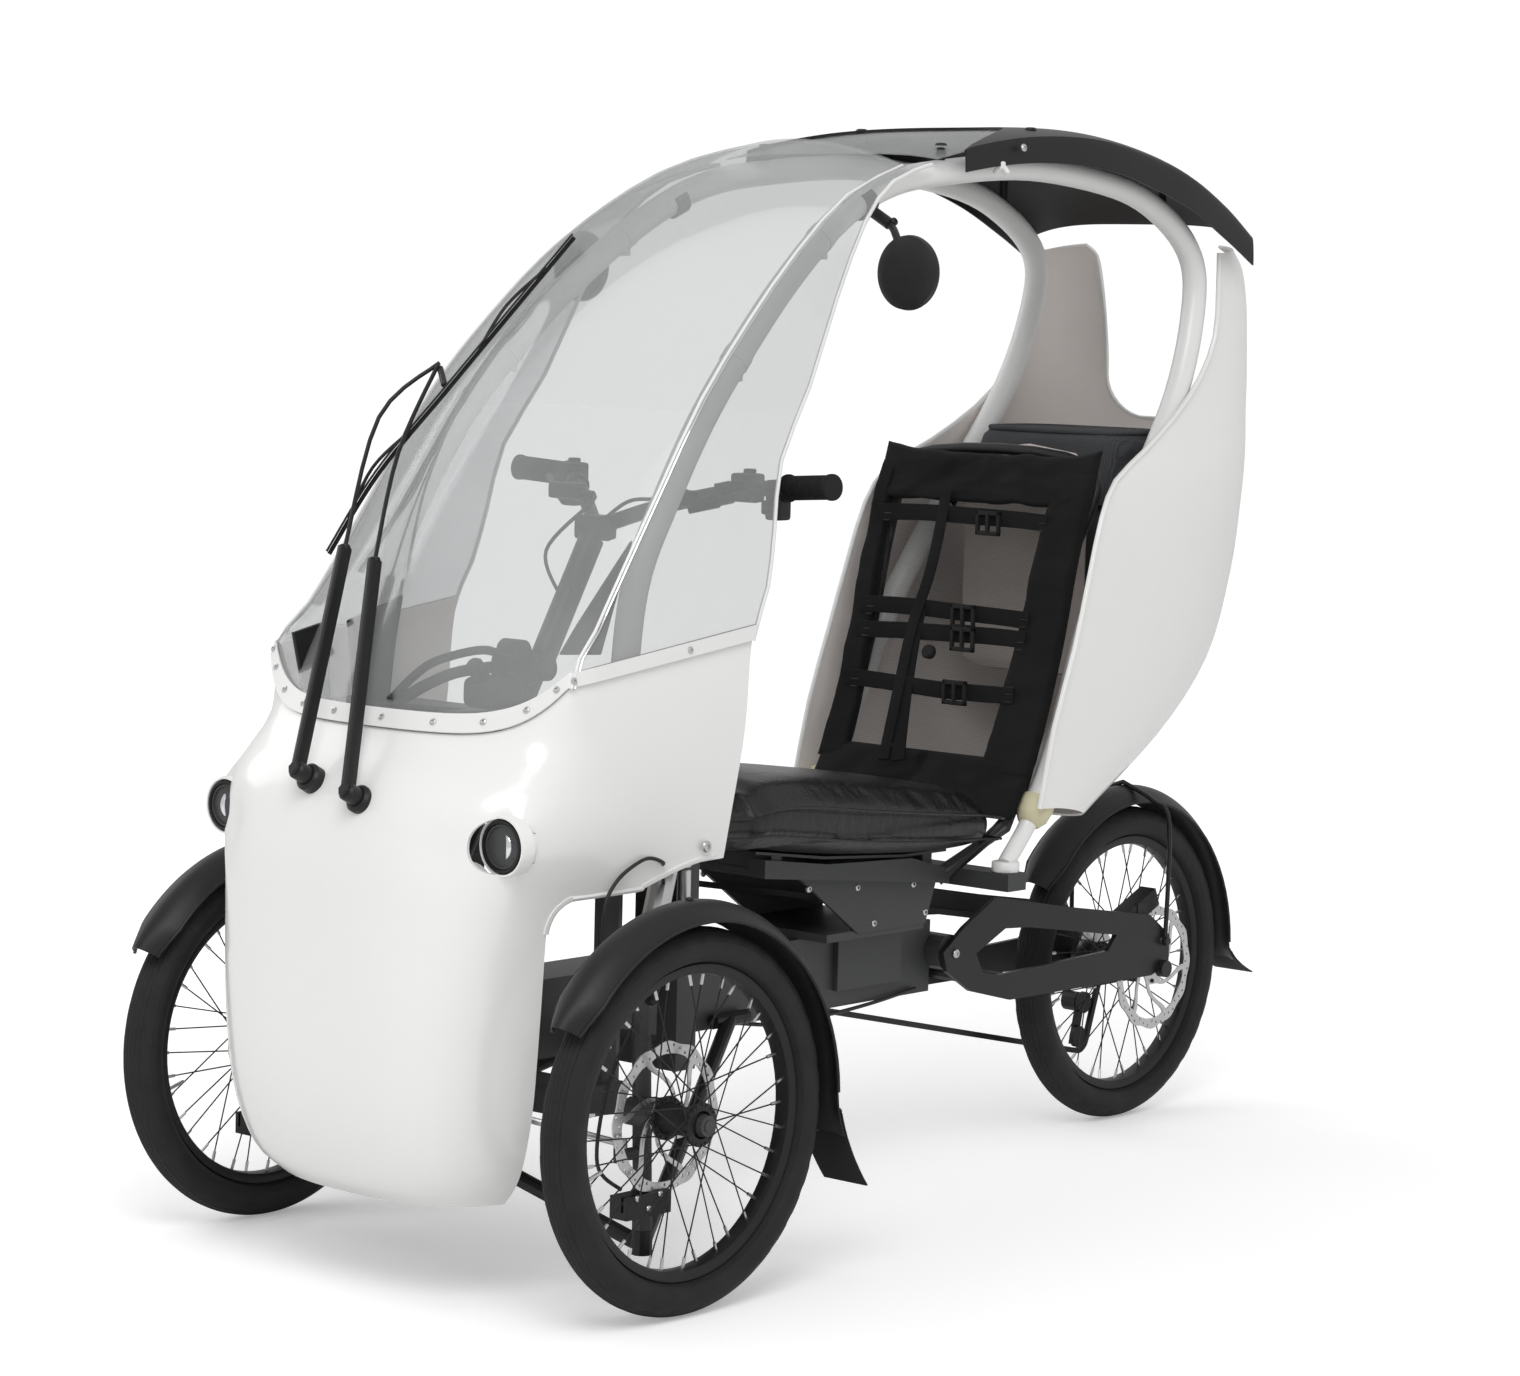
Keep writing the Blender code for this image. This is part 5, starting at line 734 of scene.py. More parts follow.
LIFTED_SHARES = [(*row, LIFTS.get(index, 2.0)) for index, row in enumerate(SKIN_SHARES)]
LEVELS = [skin_half(row) for row in smooth_values(LIFTED_SHARES, FINE)]
FAIRING_END = 29
SCREEN_START = 7 * FINE
SCREEN_LEVELS = LEVELS[SCREEN_START:]
ARCH_FRONT = -0.130
ARCH_TOP = 0.537
ARCH_ROUND = 0.045
ARCH_FLOOR = -0.03
ARCH_EDGE = [(0.0314, 0.5372), (0.1286, 0.5625), (0.2048, 0.5688), (0.4993, 0.5751)]
ARCH_OUTLINE = [(ARCH_FRONT, ARCH_FLOOR)]
for step in range(13):
    bend_x, bend_y = polar(1, math.pi - math.pi / 2 * step / 12)
    ARCH_OUTLINE.append((ARCH_FRONT + ARCH_ROUND * (1 + bend_x), ARCH_TOP - ARCH_ROUND * (1 - bend_y)))
ARCH_OUTLINE += [(point.x, point.y) for point in smooth_line([(y, z, 0) for y, z in ARCH_EDGE], 6)]
ARCH_OUTLINE.append((ARCH_EDGE[-1][0], ARCH_FLOOR))
LAMP_CENTRE = Vector((0.262, -0.206, 0.616))
LAMP_HOLE = 0.0365


def clamped(value):
    return min(1.0, max(0.0, value))


def bulged(point):
    """Swells the shell round a lamp: forward at the corner, outward along the flank, hollow inside it."""
    near = math.exp(-(((point.z - LAMP_CENTRE.z) / 0.062) ** 2))
    across = math.hypot(point.x - LAMP_CENTRE.x, point.z - LAMP_CENTRE.z)
    front = clamped((-0.05 - point.y) / 0.10)
    ahead = math.exp(-((across / 0.055) ** 4)) * max(0.0, point.y - LAMP_CENTRE.y - 0.004) * front
    fade = clamped((0.10 - point.y) / 0.24)
    swelling = 0.018 * near * (3 * fade**2 - 2 * fade**3) * clamped((point.x - 0.205) / 0.07)
    hollow = 0.010 * math.exp(-((math.hypot(point.x - 0.196, point.z - 0.604) / 0.030) ** 2))
    return point + Vector((swelling, hollow - ahead * 0.92, 0))


def make_fairing():
    """The white nose: a smooth shell with an arch on each side and a scoop round each lamp."""
    rows = [mirrored_row([bulged(point) for point in level]) for level in LEVELS[: FAIRING_END + 1]]
    bm = facing_out(grid(rows), (0, 0.05, 0.4))
    shell = piece("nose_shell", bm, ("shell", "shell_inside"), "chassis", ("nose_fairing",), 50, -FAIRING_THICK)
    carve(shell, slab(ARCH_OUTLINE, -0.5, 0.5))
    drill = [(-0.10, TINY), (-0.10, LAMP_HOLE), (0.03, LAMP_HOLE), (0.03, TINY)]
    for _, sign in SIDES:
        carve(shell, lathe(drill, sided(LAMP_CENTRE, sign), 48, "Y"))
    shade(shell, 50)
    tree = ray_tree(shell)
    for side, sign in SIDES:
        make_arch_lip(side, sign, tree)
        make_lamp_pod(side, sign)


def make_arch_lip(side, sign, tree):
    """The rolled lip along the arch, just outside the shell."""
    path = []
    for y, z in ARCH_OUTLINE[1:-1]:
        y, z = y - 0.004 if z < 0.49 else y, z + 0.005 if z > 0.45 else z
        hit = tree.ray_cast(place(sign * 0.6, y, z), Vector((-sign, 0, 0)))[0]
        if hit is not None and abs(hit.x) > 0.15:
            path.append(Vector((hit.x - sign * 0.0015, y, z)))
    piece("arch_lip_" + side, sweep(smooth_line(path, 3), 0, flat=(0.009, 0.006), up=(sign, 0, 0)), "shell")


def make_lamp_pod(side, sign):
    """The rolled rim round a lamp, open to the front."""
    centre = sided(LAMP_CENTRE, sign)
    section = ((0.030, 0.0350), (0.004, 0.0352), (-0.001, 0.0362), (-0.001, 0.0385), (0.004, 0.0400), (0.020, 0.0405))
    rows = []
    for run, radius in section:
        ring = [polar(radius, math.tau * step / 48) for step in range(48)]
        rows.append([centre + Vector((x, run, z)) for x, z in ring])
    piece("lamp_pod_" + side, facing_out(grid(rows, True), centre + Vector((0, 0.05, 0))), "shell", angle=60)


def make_screen():
    """The clear sheet: front and sides in one bent sheet, with a bright edge along each crease."""
    bm = facing_out(grid([mirrored_row(level) for level in SCREEN_LEVELS]), (0, 0.35, 1.1))
    piece("clear_screen", bm, "clear", replaces=("windscreen",), angle=60, thick=SCREEN_THICK)
    for side, sign in SIDES:
        for name, column, shift, radius, material in (
            ("screen_seam_", SKIN_COLUMNS, (0.0042 * sign, -0.002, 0), 0.0022, "tube_white"),
            ("screen_seam_inner_", SKIN_COLUMNS, (0.0042 * sign, 0.005, 0), 0.0014, "chrome"),
            ("screen_edge_", -1, (0.002 * sign, 0, 0), 0.0030, "tube_white"),
        ):
            path = [sided(level[column], sign) + Vector(shift) for level in SCREEN_LEVELS[::2]]
            piece(name + side, sweep(path, radius, 8), material)


def make_screen_strip():
    """The white strip that holds the foot of the clear sheet, with its screws."""
    low, high = SCREEN_LEVELS[:2]
    bm = facing_out(grid([mirrored_row(low), mirrored_row(high)]), (0, 0.1, 0.85))
    for vert in bm.verts:
        vert.co += vert.normal * (SCREEN_THICK + 0.0006)
    piece("screen_strip", bm, "tube_white", angle=50, thick=0.0022)
    heads = []
    middle = mirrored_row([a.lerp(b, 0.5) for a, b in zip(low, high)])
    up = (high[0] - low[0]).normalized()
    for index in range(5, len(middle) - 2, 5):
        out = (middle[index + 1] - middle[index - 1]).normalized().cross(up).normalized()
        if out.dot(middle[index] - Vector((0, 0.12, 0.80))) < 0:
            out = -out
        heads.append(screw(middle[index] + out * (SCREEN_THICK + 0.0024), out, 0.0050, 0.003))
    piece("screen_screws", merged(*heads), "silver", angle=30)


def tail_half(row):
    """Half of a row of the tail, from the middle of its back to its edge."""
    edge_x, edge_y, edge_z, back_y, back_z = row
    made = []
    for column in range(TAIL_COLUMNS, -1, -1):
        turn = math.pi / 2 * column / TAIL_COLUMNS
        x = edge_x * math.cos(turn) ** TAIL_ROUND if column < TAIL_COLUMNS else 0
        run = math.sin(turn) ** TAIL_ROUND
        made.append(cabin_point(x, edge_y + (back_y - edge_y) * run, edge_z + (back_z - edge_z) * run**2))
    return made


def make_tail():
    """The white tail: a smooth bowl with a rear window and a rolled edge."""
    levels = [tail_half(row) for row in smooth_values(TAIL_SHARES, FINE)]
    bm = facing_out(grid([mirrored_row(level) for level in levels]), (0, 1.2, 0.9))
    shell = piece("tail_shell", bm, ("shell", "shell_inside"), "chassis", ("tail_fairing",), 50, -FAIRING_THICK)
    window = []
    for step in range(9):
        bend_x, bend_z = polar(1, math.pi + math.pi / 2 * step / 8)
        window.append((-0.130 + 0.070 * (1 + bend_x), 1.140 + 0.070 * (1 + bend_z)))
    window += [(-x, z) for x, z in reversed(window)]
    carve(shell, slab(window + [(0.130, 1.70), (-0.130, 1.70)], 1.35, 1.90, "Y"))
    shade(shell, 50)
    tree = ray_tree(shell)
    rim = [(x * 1.027, z - 0.0035) for x, z in window]
    path = []
    for x, z in [(-0.1335, 1.40), (-0.1335, 1.30), *rim, (0.1335, 1.30), (0.1335, 1.40)]:
        hit = tree.ray_cast(place(x, 2.2, z), Vector((0, -1, 0)))[0]
        if hit is not None:
            path.append(Vector((x, hit.y - AXLE_Y - 0.0015, z)))
    piece("tail_window_lip", sweep(smooth_line(path, 3), 0, flat=(0.006, 0.009)), "shell")
    for side, sign in SIDES:
        piece("tail_edge_" + side, sweep([sided(level[-1], sign) for level in levels[::2]], 0.0042), "shell")


ROOF_SECTIONS = smooth_values(ROOF_SHARES, 8)
ROOF_COLUMNS = 24
ROOF_FRONT = ROOF_SHARES[0][1]


def section_at(y):
    """The roof's section at this share of the wheelbase, sunk a little towards its front."""
    for low, high in zip(ROOF_SECTIONS, ROOF_SECTIONS[1:]):
        if y <= high[1]:
            break
    share = min(1.0, (y - low[1]) / (high[1] - low[1]))
    half, y, crown, shoulder, flange = (a + (b - a) * share for a, b in zip(low, high))
    sunk = 0.0105 * max(0.0, 1 - (y - ROOF_FRONT) / 0.17) ** 2
    return half, y, crown - sunk, shoulder - sunk, flange - sunk


def roof_rows(lines, reach, edges, lift=0.0, turned_down=False):
    """Rows across the roof between two edges that depend on the share of its half width."""
    rows = []
    for line in range(lines + 1):
        row = []
        for step in range(ROOF_COLUMNS + 1):
            share = step / ROOF_COLUMNS * reach
            first, last = edges(share)
            half, y, crown, shoulder, flange = section_at(first + (last - first) * line / lines)
            z = (crown + (shoulder - crown) * share**4) * ROOF_HEIGHT + lift
            row.append(Vector((share * half * CABIN_HALF, y * WHEELBASE, z)))
        if turned_down:
            top, drop = row[-1], (shoulder - flange) * ROOF_HEIGHT
            for step in range(1, 6):
                turn = math.pi / 2 * step / 5
                out = 0.015 * half * CABIN_HALF * math.sin(turn)
                row.append(top + Vector((out, 0, -drop * (1 - math.cos(turn)) ** 0.8)))
        rows.append(mirrored_row(row))
    return facing_out(grid(rows), (0, 1.1, 1.2))


def roof_top(x, y):
    """The height of the roof's underside over this place."""
    half, _, crown, shoulder, _ = section_at(y / WHEELBASE)
    return (crown + (shoulder - crown) * (abs(x) / (half * CABIN_HALF)) ** 4) * ROOF_HEIGHT


def make_roof():
    """The clear sheet's top end, and the black roof over it: crowned, turned down, with its screws."""
    clear = roof_rows(12, 0.97, lambda share: (0.478, 0.705 - 0.197 * share**2.5), -0.004)
    piece("screen_top", clear, "clear", angle=50, thick=0.002)
    black = roof_rows(40, 0.985, lambda share: (0.690 - 0.182 * share**2.5, ROOF_SECTIONS[-1][1]), turned_down=True)
    piece("roof_skin", black, "satin_black", replaces=("roof_panel",), angle=50, thick=0.003)
    trims = []
    for side, sign in SIDES:
        for index in (9, 10, 12):
            x, y, z = cabin_point(*HOOP_SHARES[index], sign)
            top = roof_top(x, y)
            trims.append(rod((x, y, z + 0.014), (x, y, top), 0.0065))
            trims.append(screw((x, y, top + 0.0028), (0, 0, 1), 0.009, 0.004))
        spot = Vector((sign * 0.212, 0.850, 1.512))
        nut = [rod((0, 0, 0), (0, 0, 0.012), 0.006, at=spot)]
        nut += [rod((lean * 0.004, 0, 0.004), (lean * 0.013, 0, -0.006), 0.0042, 12, at=spot) for lean in (-1, 1)]
        piece("roof_wing_nut_" + side, merged(*nut), "tube_white")
        piece("roof_side_screw_" + side, screw((sign * 0.2235, 0.885, 1.545), (sign, 0, 0.1), 0.006, 0.004), "silver")
    piece("roof_screws", merged(*trims), "black_metal")


TUBE_RADIUS = 0.019
COLLAR_LEVEL = 0.575


def hoop_line(sign):
    return smooth_line([cabin_point(*point, sign) for point in HOOP_SHARES], 6)


def along_at(line, index):
    return (line[index + 1] - line[index - 1]).normalized()


def make_hoops():
    """The white tubes, thinner below their collars, with clamps where panels and arms are fixed."""
    for side, sign in SIDES:
        name = "hoop_" + side
        line = hoop_line(sign)
        radii = []
        for index, point in enumerate(line):
            below = index > len(line) / 2 and point.z < COLLAR_LEVEL
            radii.append(TUBE_RADIUS - 0.006 * min(1.0, (COLLAR_LEVEL - point.z) / 0.03) if below else TUBE_RADIUS)
        feet = [rod((0, 0, -0.012), (0, 0, 0.004), 0.021, 24, at=end) for end in (line[0], line[-1])]
        piece(name + "_tube", merged(sweep(line, 0, 24, radii=radii), *feet), "tube_white", replaces=(name,), angle=60)
        bands = []
        for share, wide in ((0.240, 0.020), (0.335, 0.016)):
            index = int(share * (len(line) - 1))
            here, along = line[index], along_at(line, index)
            bands.append(sweep([here - along * wide / 2, here + along * wide / 2], 0.0206, 24))
            bands.append(block((-0.006, -0.009, -0.030), (0.006, 0.009, -0.017), at=here))
        piece(name + "_clamps", merged(*bands), "tube_white")


def make_collars():
    """The pale collar where each hoop comes out under the tail."""
    profile = [
        (-0.022, 0.0195), (-0.022, 0.0260), (-0.012, 0.0275), (0.006, 0.0250), (0.018, 0.0175), (0.020, 0.0135),
    ]
    for side, sign in SIDES:
        line = hoop_line(sign)
        near = min(range(2, len(line) - 2), key=lambda index: abs(line[index].z - 0.560) + (line[index].y < 0.9))
        along = along_at(line, near)
        if along.z > 0:
            along = -along
        collar = turned_to(lathe(profile, (0, 0, 0), 32, "Z"), line[near], along)
        piece("hoop_collar_" + side, collar, "amber", angle=50)


make_collars()
make_fairing()
make_screen()
make_screen_strip()
make_tail()
make_roof()
make_hoops()


# Wheels

SPOKES = 36
TREAD_STEPS = 216
ROTOR_X = 0.0324
REAR_ROTOR_X = (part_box("rear_rotor")[0][0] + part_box("rear_rotor")[1][0]) / 2
FRONT_HUB = 0.031
# Each wheel: its name and centre, half the hub's flanges and its ends, its disc's x and which way that faces
WHEELS = (
    ("front_left", (HALF_TRACK, 0, WHEEL_RADIUS), 0.029, (-FRONT_HUB, FRONT_HUB), -ROTOR_X, -1),
    ("front_right", (-HALF_TRACK, 0, WHEEL_RADIUS), 0.029, (-FRONT_HUB, FRONT_HUB), ROTOR_X, 1),
    ("rear", (0, WHEELBASE, WHEEL_RADIUS), 0.034, (-0.0460, 0.0710), REAR_ROTOR_X, math.copysign(1, REAR_ROTOR_X)),
)
BEAD = [(0.0115, 0.2085), (0.0105, 0.2045)]
RIM = [
    (0.0100, 0.2020), (0.0120, 0.2050), (0.0132, 0.2074), (0.0150, 0.2070), (0.0150, 0.2050), (0.0142, 0.1985),
    (0.0115, 0.1945), (0.0060, 0.1930),
]


def flipped(profile):
    return [(-across, radius) for across, radius in reversed(profile)]


def make_tyre(name, centre, body):
    """A wide tyre: four grooves round the crown and short sipes across each shoulder."""
    profile = []
    for step in range(61):
        turn = math.radians(-128 + 256 * step / 60)
        across = 0.0285 * math.sin(turn)
        groove = 0.0011 if abs(across) < 0.019 and round(abs(across) / 0.0032) % 2 else 0
        profile.append((across, 0.2285 + 0.0262 * math.cos(turn) - groove))
    profile += BEAD + flipped(BEAD)
    rows = []
    for step in range(TREAD_STEPS):
        row = []
        for across, radius in profile:
            sipe = 0.0012 if 0.0185 < abs(across) < 0.0262 and radius > 0.236 and step % 6 < 2 else 0
            row.append(Vector(centre) + Vector((across, *polar(radius - sipe, math.tau * step / TREAD_STEPS))))
        rows.append(row + row[:1])
    bm = outward(weld(grid(rows + rows[:1])))
    piece(name + "_tyre_tread", bm, "tyre", body, (name + "_tyre",), angle=34)


def make_rim(name, centre, body, flange, ends):
    """Box rim, hub with its flanges, laced spokes and their nipples."""
    centre = Vector(centre)
    low, high = ends
    hub = [
        (low, TINY), (low, 0.0125), (low + 0.004, 0.0165), (-flange - 0.003, 0.0185), (-flange - 0.002, 0.0290),
        (-flange + 0.002, 0.0290), (-flange + 0.003, 0.0225), (-flange * 0.55, 0.0190), (flange * 0.55, 0.0190),
        (flange - 0.003, 0.0225), (flange - 0.002, 0.0290), (flange + 0.002, 0.0290), (flange + 0.003, 0.0185),
        (high - 0.004, 0.0165), (high, 0.0125), (high, TINY),
    ]
    bm = merged(lathe(RIM + flipped(RIM) + RIM[:1], centre, 96), lathe(hub, centre, 40))
    piece(name + "_rim_and_hub", bm, "satin_black", body, (name + "_wheel",), angle=30)
    wires, nipples = [], []
    for index in range(SPOKES):
        side = 1 if index % 2 else -1
        turn = math.tau * index / SPOKES
        lean = math.radians(58) * (1 if (index // 2) % 2 else -1)
        start = centre + Vector((side * flange, *polar(0.0262, turn + lean)))
        end = centre + Vector((side * 0.003, *polar(0.1938, turn)))
        wires.append(sweep([start, end], 0.00105, 6))
        nipples.append(sweep([end.lerp(start, 0.085), end.lerp(start, -0.005)], 0.0024, 6))
        elbow = [start - Vector((side * 0.0045, 0, 0)), start + Vector((side * 0.0035, 0, 0))]
        wires.append(sweep(elbow, 0.0017, 6))
    valve = centre + Vector((0, *polar(0.193, math.radians(196))))
    nipples.append(rod(valve, valve.lerp(centre, 0.17), 0.0026, 10))
    piece(name + "_spokes", merged(*wires), "black_metal", body)
    piece(name + "_nipples", merged(*nipples), "silver", body)


def cut_plate(loops, low, high):
    """A flat plate in Y and Z with holes: the first loop is its outline."""
    points, edges = [], []
    for loop in loops:
        ring = list(range(len(points), len(points) + len(loop)))
        points += [Vector(point) for point in loop]
        edges += list(zip(ring, ring[1:] + ring[:1]))
    flat, _, triangles, *_ = delaunay_2d_cdt(points, edges, [], 0, 1e-7)
    bm = bmesh.new()
    verts = [bm.verts.new((low, point.x, point.y)) for point in flat]

    def inside(spot, loop):
        hit = False
        for (ax, ay), (bx, by) in zip(loop, loop[1:] + loop[:1]):
            if (ay > spot.y) != (by > spot.y) and spot.x < (bx - ax) * (spot.y - ay) / (by - ay) + ax:
                hit = not hit
        return hit

    for triangle in triangles:
        spot = sum((flat[index] for index in triangle), Vector((0, 0))) / 3
        if inside(spot, loops[0]) and not any(inside(spot, loop) for loop in loops[1:]):
            bm.faces.new([verts[index] for index in triangle])
    bmesh.ops.delete(bm, geom=[vert for vert in bm.verts if not vert.link_faces], context="VERTS")
    return pushed(bm, bm.faces[:], (high - low, 0, 0))


def ring_loop(radius, steps, wave=0.0, count=0, centre=(0, 0)):
    made = []
    for step in range(steps):
        turn = math.tau * step / steps
        x, y = polar(radius + wave * math.cos(count * turn), turn)
        made.append((centre[0] + x, centre[1] + y))
    return made


def arm_edge(start, shift):
    """One swept side of a disc's arm, as angles and radii."""
    radii = [0.0300 + 0.0530 * step / 8 for step in range(9)]
    leads = [start + 0.95 * math.sin(math.pi / 2 * step / 8) + shift / radii[step] for step in range(9)]
    return list(zip(leads, radii))


def make_rotor(name, centre, body, x, facing):
    """A brake disc: waved rim with slots, six swept arms, and bolts on its carrier."""
    loops = [ring_loop(0.0995, 144, 0.0019, 12)]
    for index in range(6):
        start = math.tau * index / 6
        lower, upper = arm_edge(start, 0.0045), arm_edge(start + math.tau / 6, -0.0045)
        first, last = lower[-1][0], upper[-1][0]
        arc = [(first + (last - first) * step / 8, 0.0845) for step in range(1, 8)]
        loops.append([polar(radius, lead) for lead, radius in lower + arc + upper[::-1]])
    for index in range(48):
        loops.append(ring_loop(0.0021, 10, centre=polar((0.0885, 0.0925, 0.0955)[index % 3], math.tau * index / 48)))
    loops.append(ring_loop(0.0090, 20))
    disc = cut_plate(loops, x - 0.0011, x + 0.0011)
    bmesh.ops.translate(disc, verts=disc.verts, vec=Vector(centre))
    piece(name + "_disc", disc, "disc", body, (name,), angle=30)
    bolts = []
    for index in range(6):
        spot = Vector(centre) + Vector((x + facing * 0.0011, *polar(0.0225, math.tau * (index + 0.35) / 6)))
        bolts.append(screw(spot, (facing, 0, 0), 0.0036, 0.0028))
    piece(name + "_bolts", merged(*bolts), "black_metal", body)


def make_axle_ends():
    """Bright axle ends and their caps on the front wheels."""
    profile = [(0, 0.0150), (0.003, 0.0150), (0.005, 0.0130), (0.006, 0.0105), (0.0045, 0.0100), (0.0045, TINY)]
    for side, sign in SIDES:
        body = "wheel_front_" + side
        spot = Vector((sign * (HALF_TRACK + FRONT_HUB), 0, WHEEL_RADIUS))
        cap = lathe([(sign * along, radius) for along, radius in profile], spot, 32)
        piece("axle_cap_" + side, cap, "satin_black", body)
        tip = rod((sign * 0.004, 0, 0), (sign * 0.0100, 0, 0), 0.0082, 20, at=spot)
        piece("axle_tip_" + side, tip, "silver", body)


for wheel, middle, hub_flange, hub_ends, disc_x, disc_facing in WHEELS:
    make_tyre(wheel, middle, "wheel_" + wheel)
    make_rim(wheel, middle, "wheel_" + wheel, hub_flange, hub_ends)
    make_rotor(wheel + "_rotor", middle, "wheel_" + wheel, disc_x, disc_facing)
make_axle_ends()


# Fenders

FENDER_RADIUS = 0.290
FENDER_HALF = 0.038
FENDER_CROWN = 0.024
FENDER_START = math.radians(148)
FENDER_END = math.radians(2)
GUARD_STEPS = 60
FLAP_STEPS = 12
FLAP_ROW = GUARD_STEPS + 2


def fender_rows(centre, reach, drop):
    """Rows across a guard, over the wheel and then down the flap, which swings out by reach."""
    across = [-1 + step / 8 for step in range(17)]
    rows = []
    for step in range(GUARD_STEPS + 1):
        angle = FENDER_START + (FENDER_END - FENDER_START) * step / GUARD_STEPS
        half = FENDER_HALF * min(1.0, 0.62 + step * 0.10)
        ring = [(share * half, *polar(FENDER_RADIUS - FENDER_CROWN * share**2, angle)) for share in across]
        rows.append([centre + Vector(point) for point in ring])
    for step in range(1, FLAP_STEPS + 1):
        part = step / FLAP_STEPS
        run = [FENDER_RADIUS - FENDER_CROWN * share**2 * (1 - part) + reach * part**2 for share in across]
        rows.append([centre + Vector((share * FENDER_HALF, y, -drop * part)) for share, y in zip(across, run)])
    return rows


def make_fender(name, centre, body, reach, drop):
    """A satin guard with a rolled lip, a flared rubber flap and its rivets."""
    rows = fender_rows(Vector(centre), reach, drop)
    guard = facing_out(grid(rows[: FLAP_ROW + 4]), centre)
    piece(name + "_guard", guard, "satin_black", body, (name,), angle=60, thick=-0.0022)
    flap = facing_out(grid(rows[FLAP_ROW:]), centre)
    bmesh.ops.translate(flap, verts=flap.verts, vec=(0, 0.0014, 0))
    piece(name + "_flap", flap, "rubber", body, angle=60, thick=0.0020)
    for side, column in (("left", -1), ("right", 0)):
        lip = [row[column] for row in rows[:FLAP_ROW:2]]
        piece(name + "_lip_" + side, sweep(lip, 0.0026, 8), "satin_black", body)
    spots = [rows[row][column] + Vector((0, 0.003, 0)) for row in (FLAP_ROW, FLAP_ROW + 3) for column in (3, 13)]
    rivets = [screw(spot, (0, 1, 0.1), 0.0042, 0.002, False) for spot in spots]
    piece(name + "_rivets", merged(*rivets), "silver", body)


for hand, way in SIDES:
    middle = Vector((way * HALF_TRACK, 0, WHEEL_RADIUS))
    make_fender("fender_front_" + hand, middle, "knuckle_" + hand, 0.040, 0.128)
    root = Vector((way * 0.3183, 0.022, 0.400))
    top = middle + Vector((0, 0, FENDER_RADIUS - 0.003))
    bend = Vector((top.x - way * FENDER_HALF * 0.8, root.y, top.z - FENDER_CROWN * 2))
    stay = merged(
        sweep(smooth_line([root, root.lerp(bend, 0.6), bend, bend.lerp(top, 0.6), top], 5), 0.0038, 12),
        screw(top + Vector((0, 0, 0.003)), (0, 0, 1), 0.006, 0.003),
        rod((-way * 0.004, 0, 0), (way * 0.006, 0, 0), 0.0065, at=root),
    )
    piece("fender_stay_" + hand, stay, "black_metal", "knuckle_" + hand)
make_fender("fender_rear", (0, WHEELBASE, WHEEL_RADIUS), "chassis", 0.046, 0.050)
stays = []
for hand, way in SIDES:
    root, bend = (Vector((way * 0.0943, WHEELBASE, z)) for z in (0.300, 0.512))
    top = Vector((0, WHEELBASE, 0.550))
    stays.append(sweep(smooth_line([root, root.lerp(bend, 0.9), bend.lerp(top, 0.35), top], 5), 0.0038, 12))
    stays.append(rod((-way * 0.004, 0, 0), (way * 0.007, 0, 0), 0.0075, at=root))
piece("fender_stay_rear", merged(*stays), "black_metal")


# Seat

BACK_HALF = 0.208
BACK_THICK = 0.018
BACK_LOW, BACK_HIGH = BACK_SHARES[0][1] * ROOF_HEIGHT, BACK_SHARES[-1][1] * ROOF_HEIGHT
SKIRT, HEADER = 0.632, 1.018
BACK_LINE = smooth_line([cabin_point(0, *point) for point in BACK_SHARES], 8)
STRAP_LEVELS = (0.733, 0.811, 0.845, 0.990)
STRAP_UPRIGHT = ((-0.058, 1.030), (-0.055, 0.952), (-0.060, 0.891), (-0.074, 0.821), (-0.075, 0.736), (-0.066, 0.620))
STRAP_SECOND = ((-0.066, 0.850), (-0.069, 0.815), (-0.062, 0.722), (-0.040, 0.620))
BUCKLES = ((0.036, 0.985), (0.021, 0.842), (0.028, 0.808), (0.035, 0.728))
# The low and high corner and the bevel of each bar of a buckle
BUCKLE_BARS = (
    ((-0.023, -0.0045, -0.019), (0.023, 0.0015, -0.012), 0.0018),
    ((-0.023, -0.0045, 0.012), (0.023, 0.0015, 0.019), 0.0018),
    ((-0.023, -0.0045, -0.019), (-0.017, 0.0015, 0.019), 0.0018),
    ((0.017, -0.0045, -0.019), (0.023, 0.0015, 0.019), 0.0018),
    ((-0.003, -0.0055, -0.017), (0.003, 0.0005, 0.017), 0.0015),
)


def back_y(z):
    """Where the seat back's front face lies at this height."""
    for low, high in zip(BACK_LINE, BACK_LINE[1:]):
        if z <= high.z:
            break
    return low.y + (high.y - low.y) * (z - low.z) / (high.z - low.z)


def on_back(x, z, lift):
    return Vector((x, back_y(z) - lift, z - lift * 0.3))


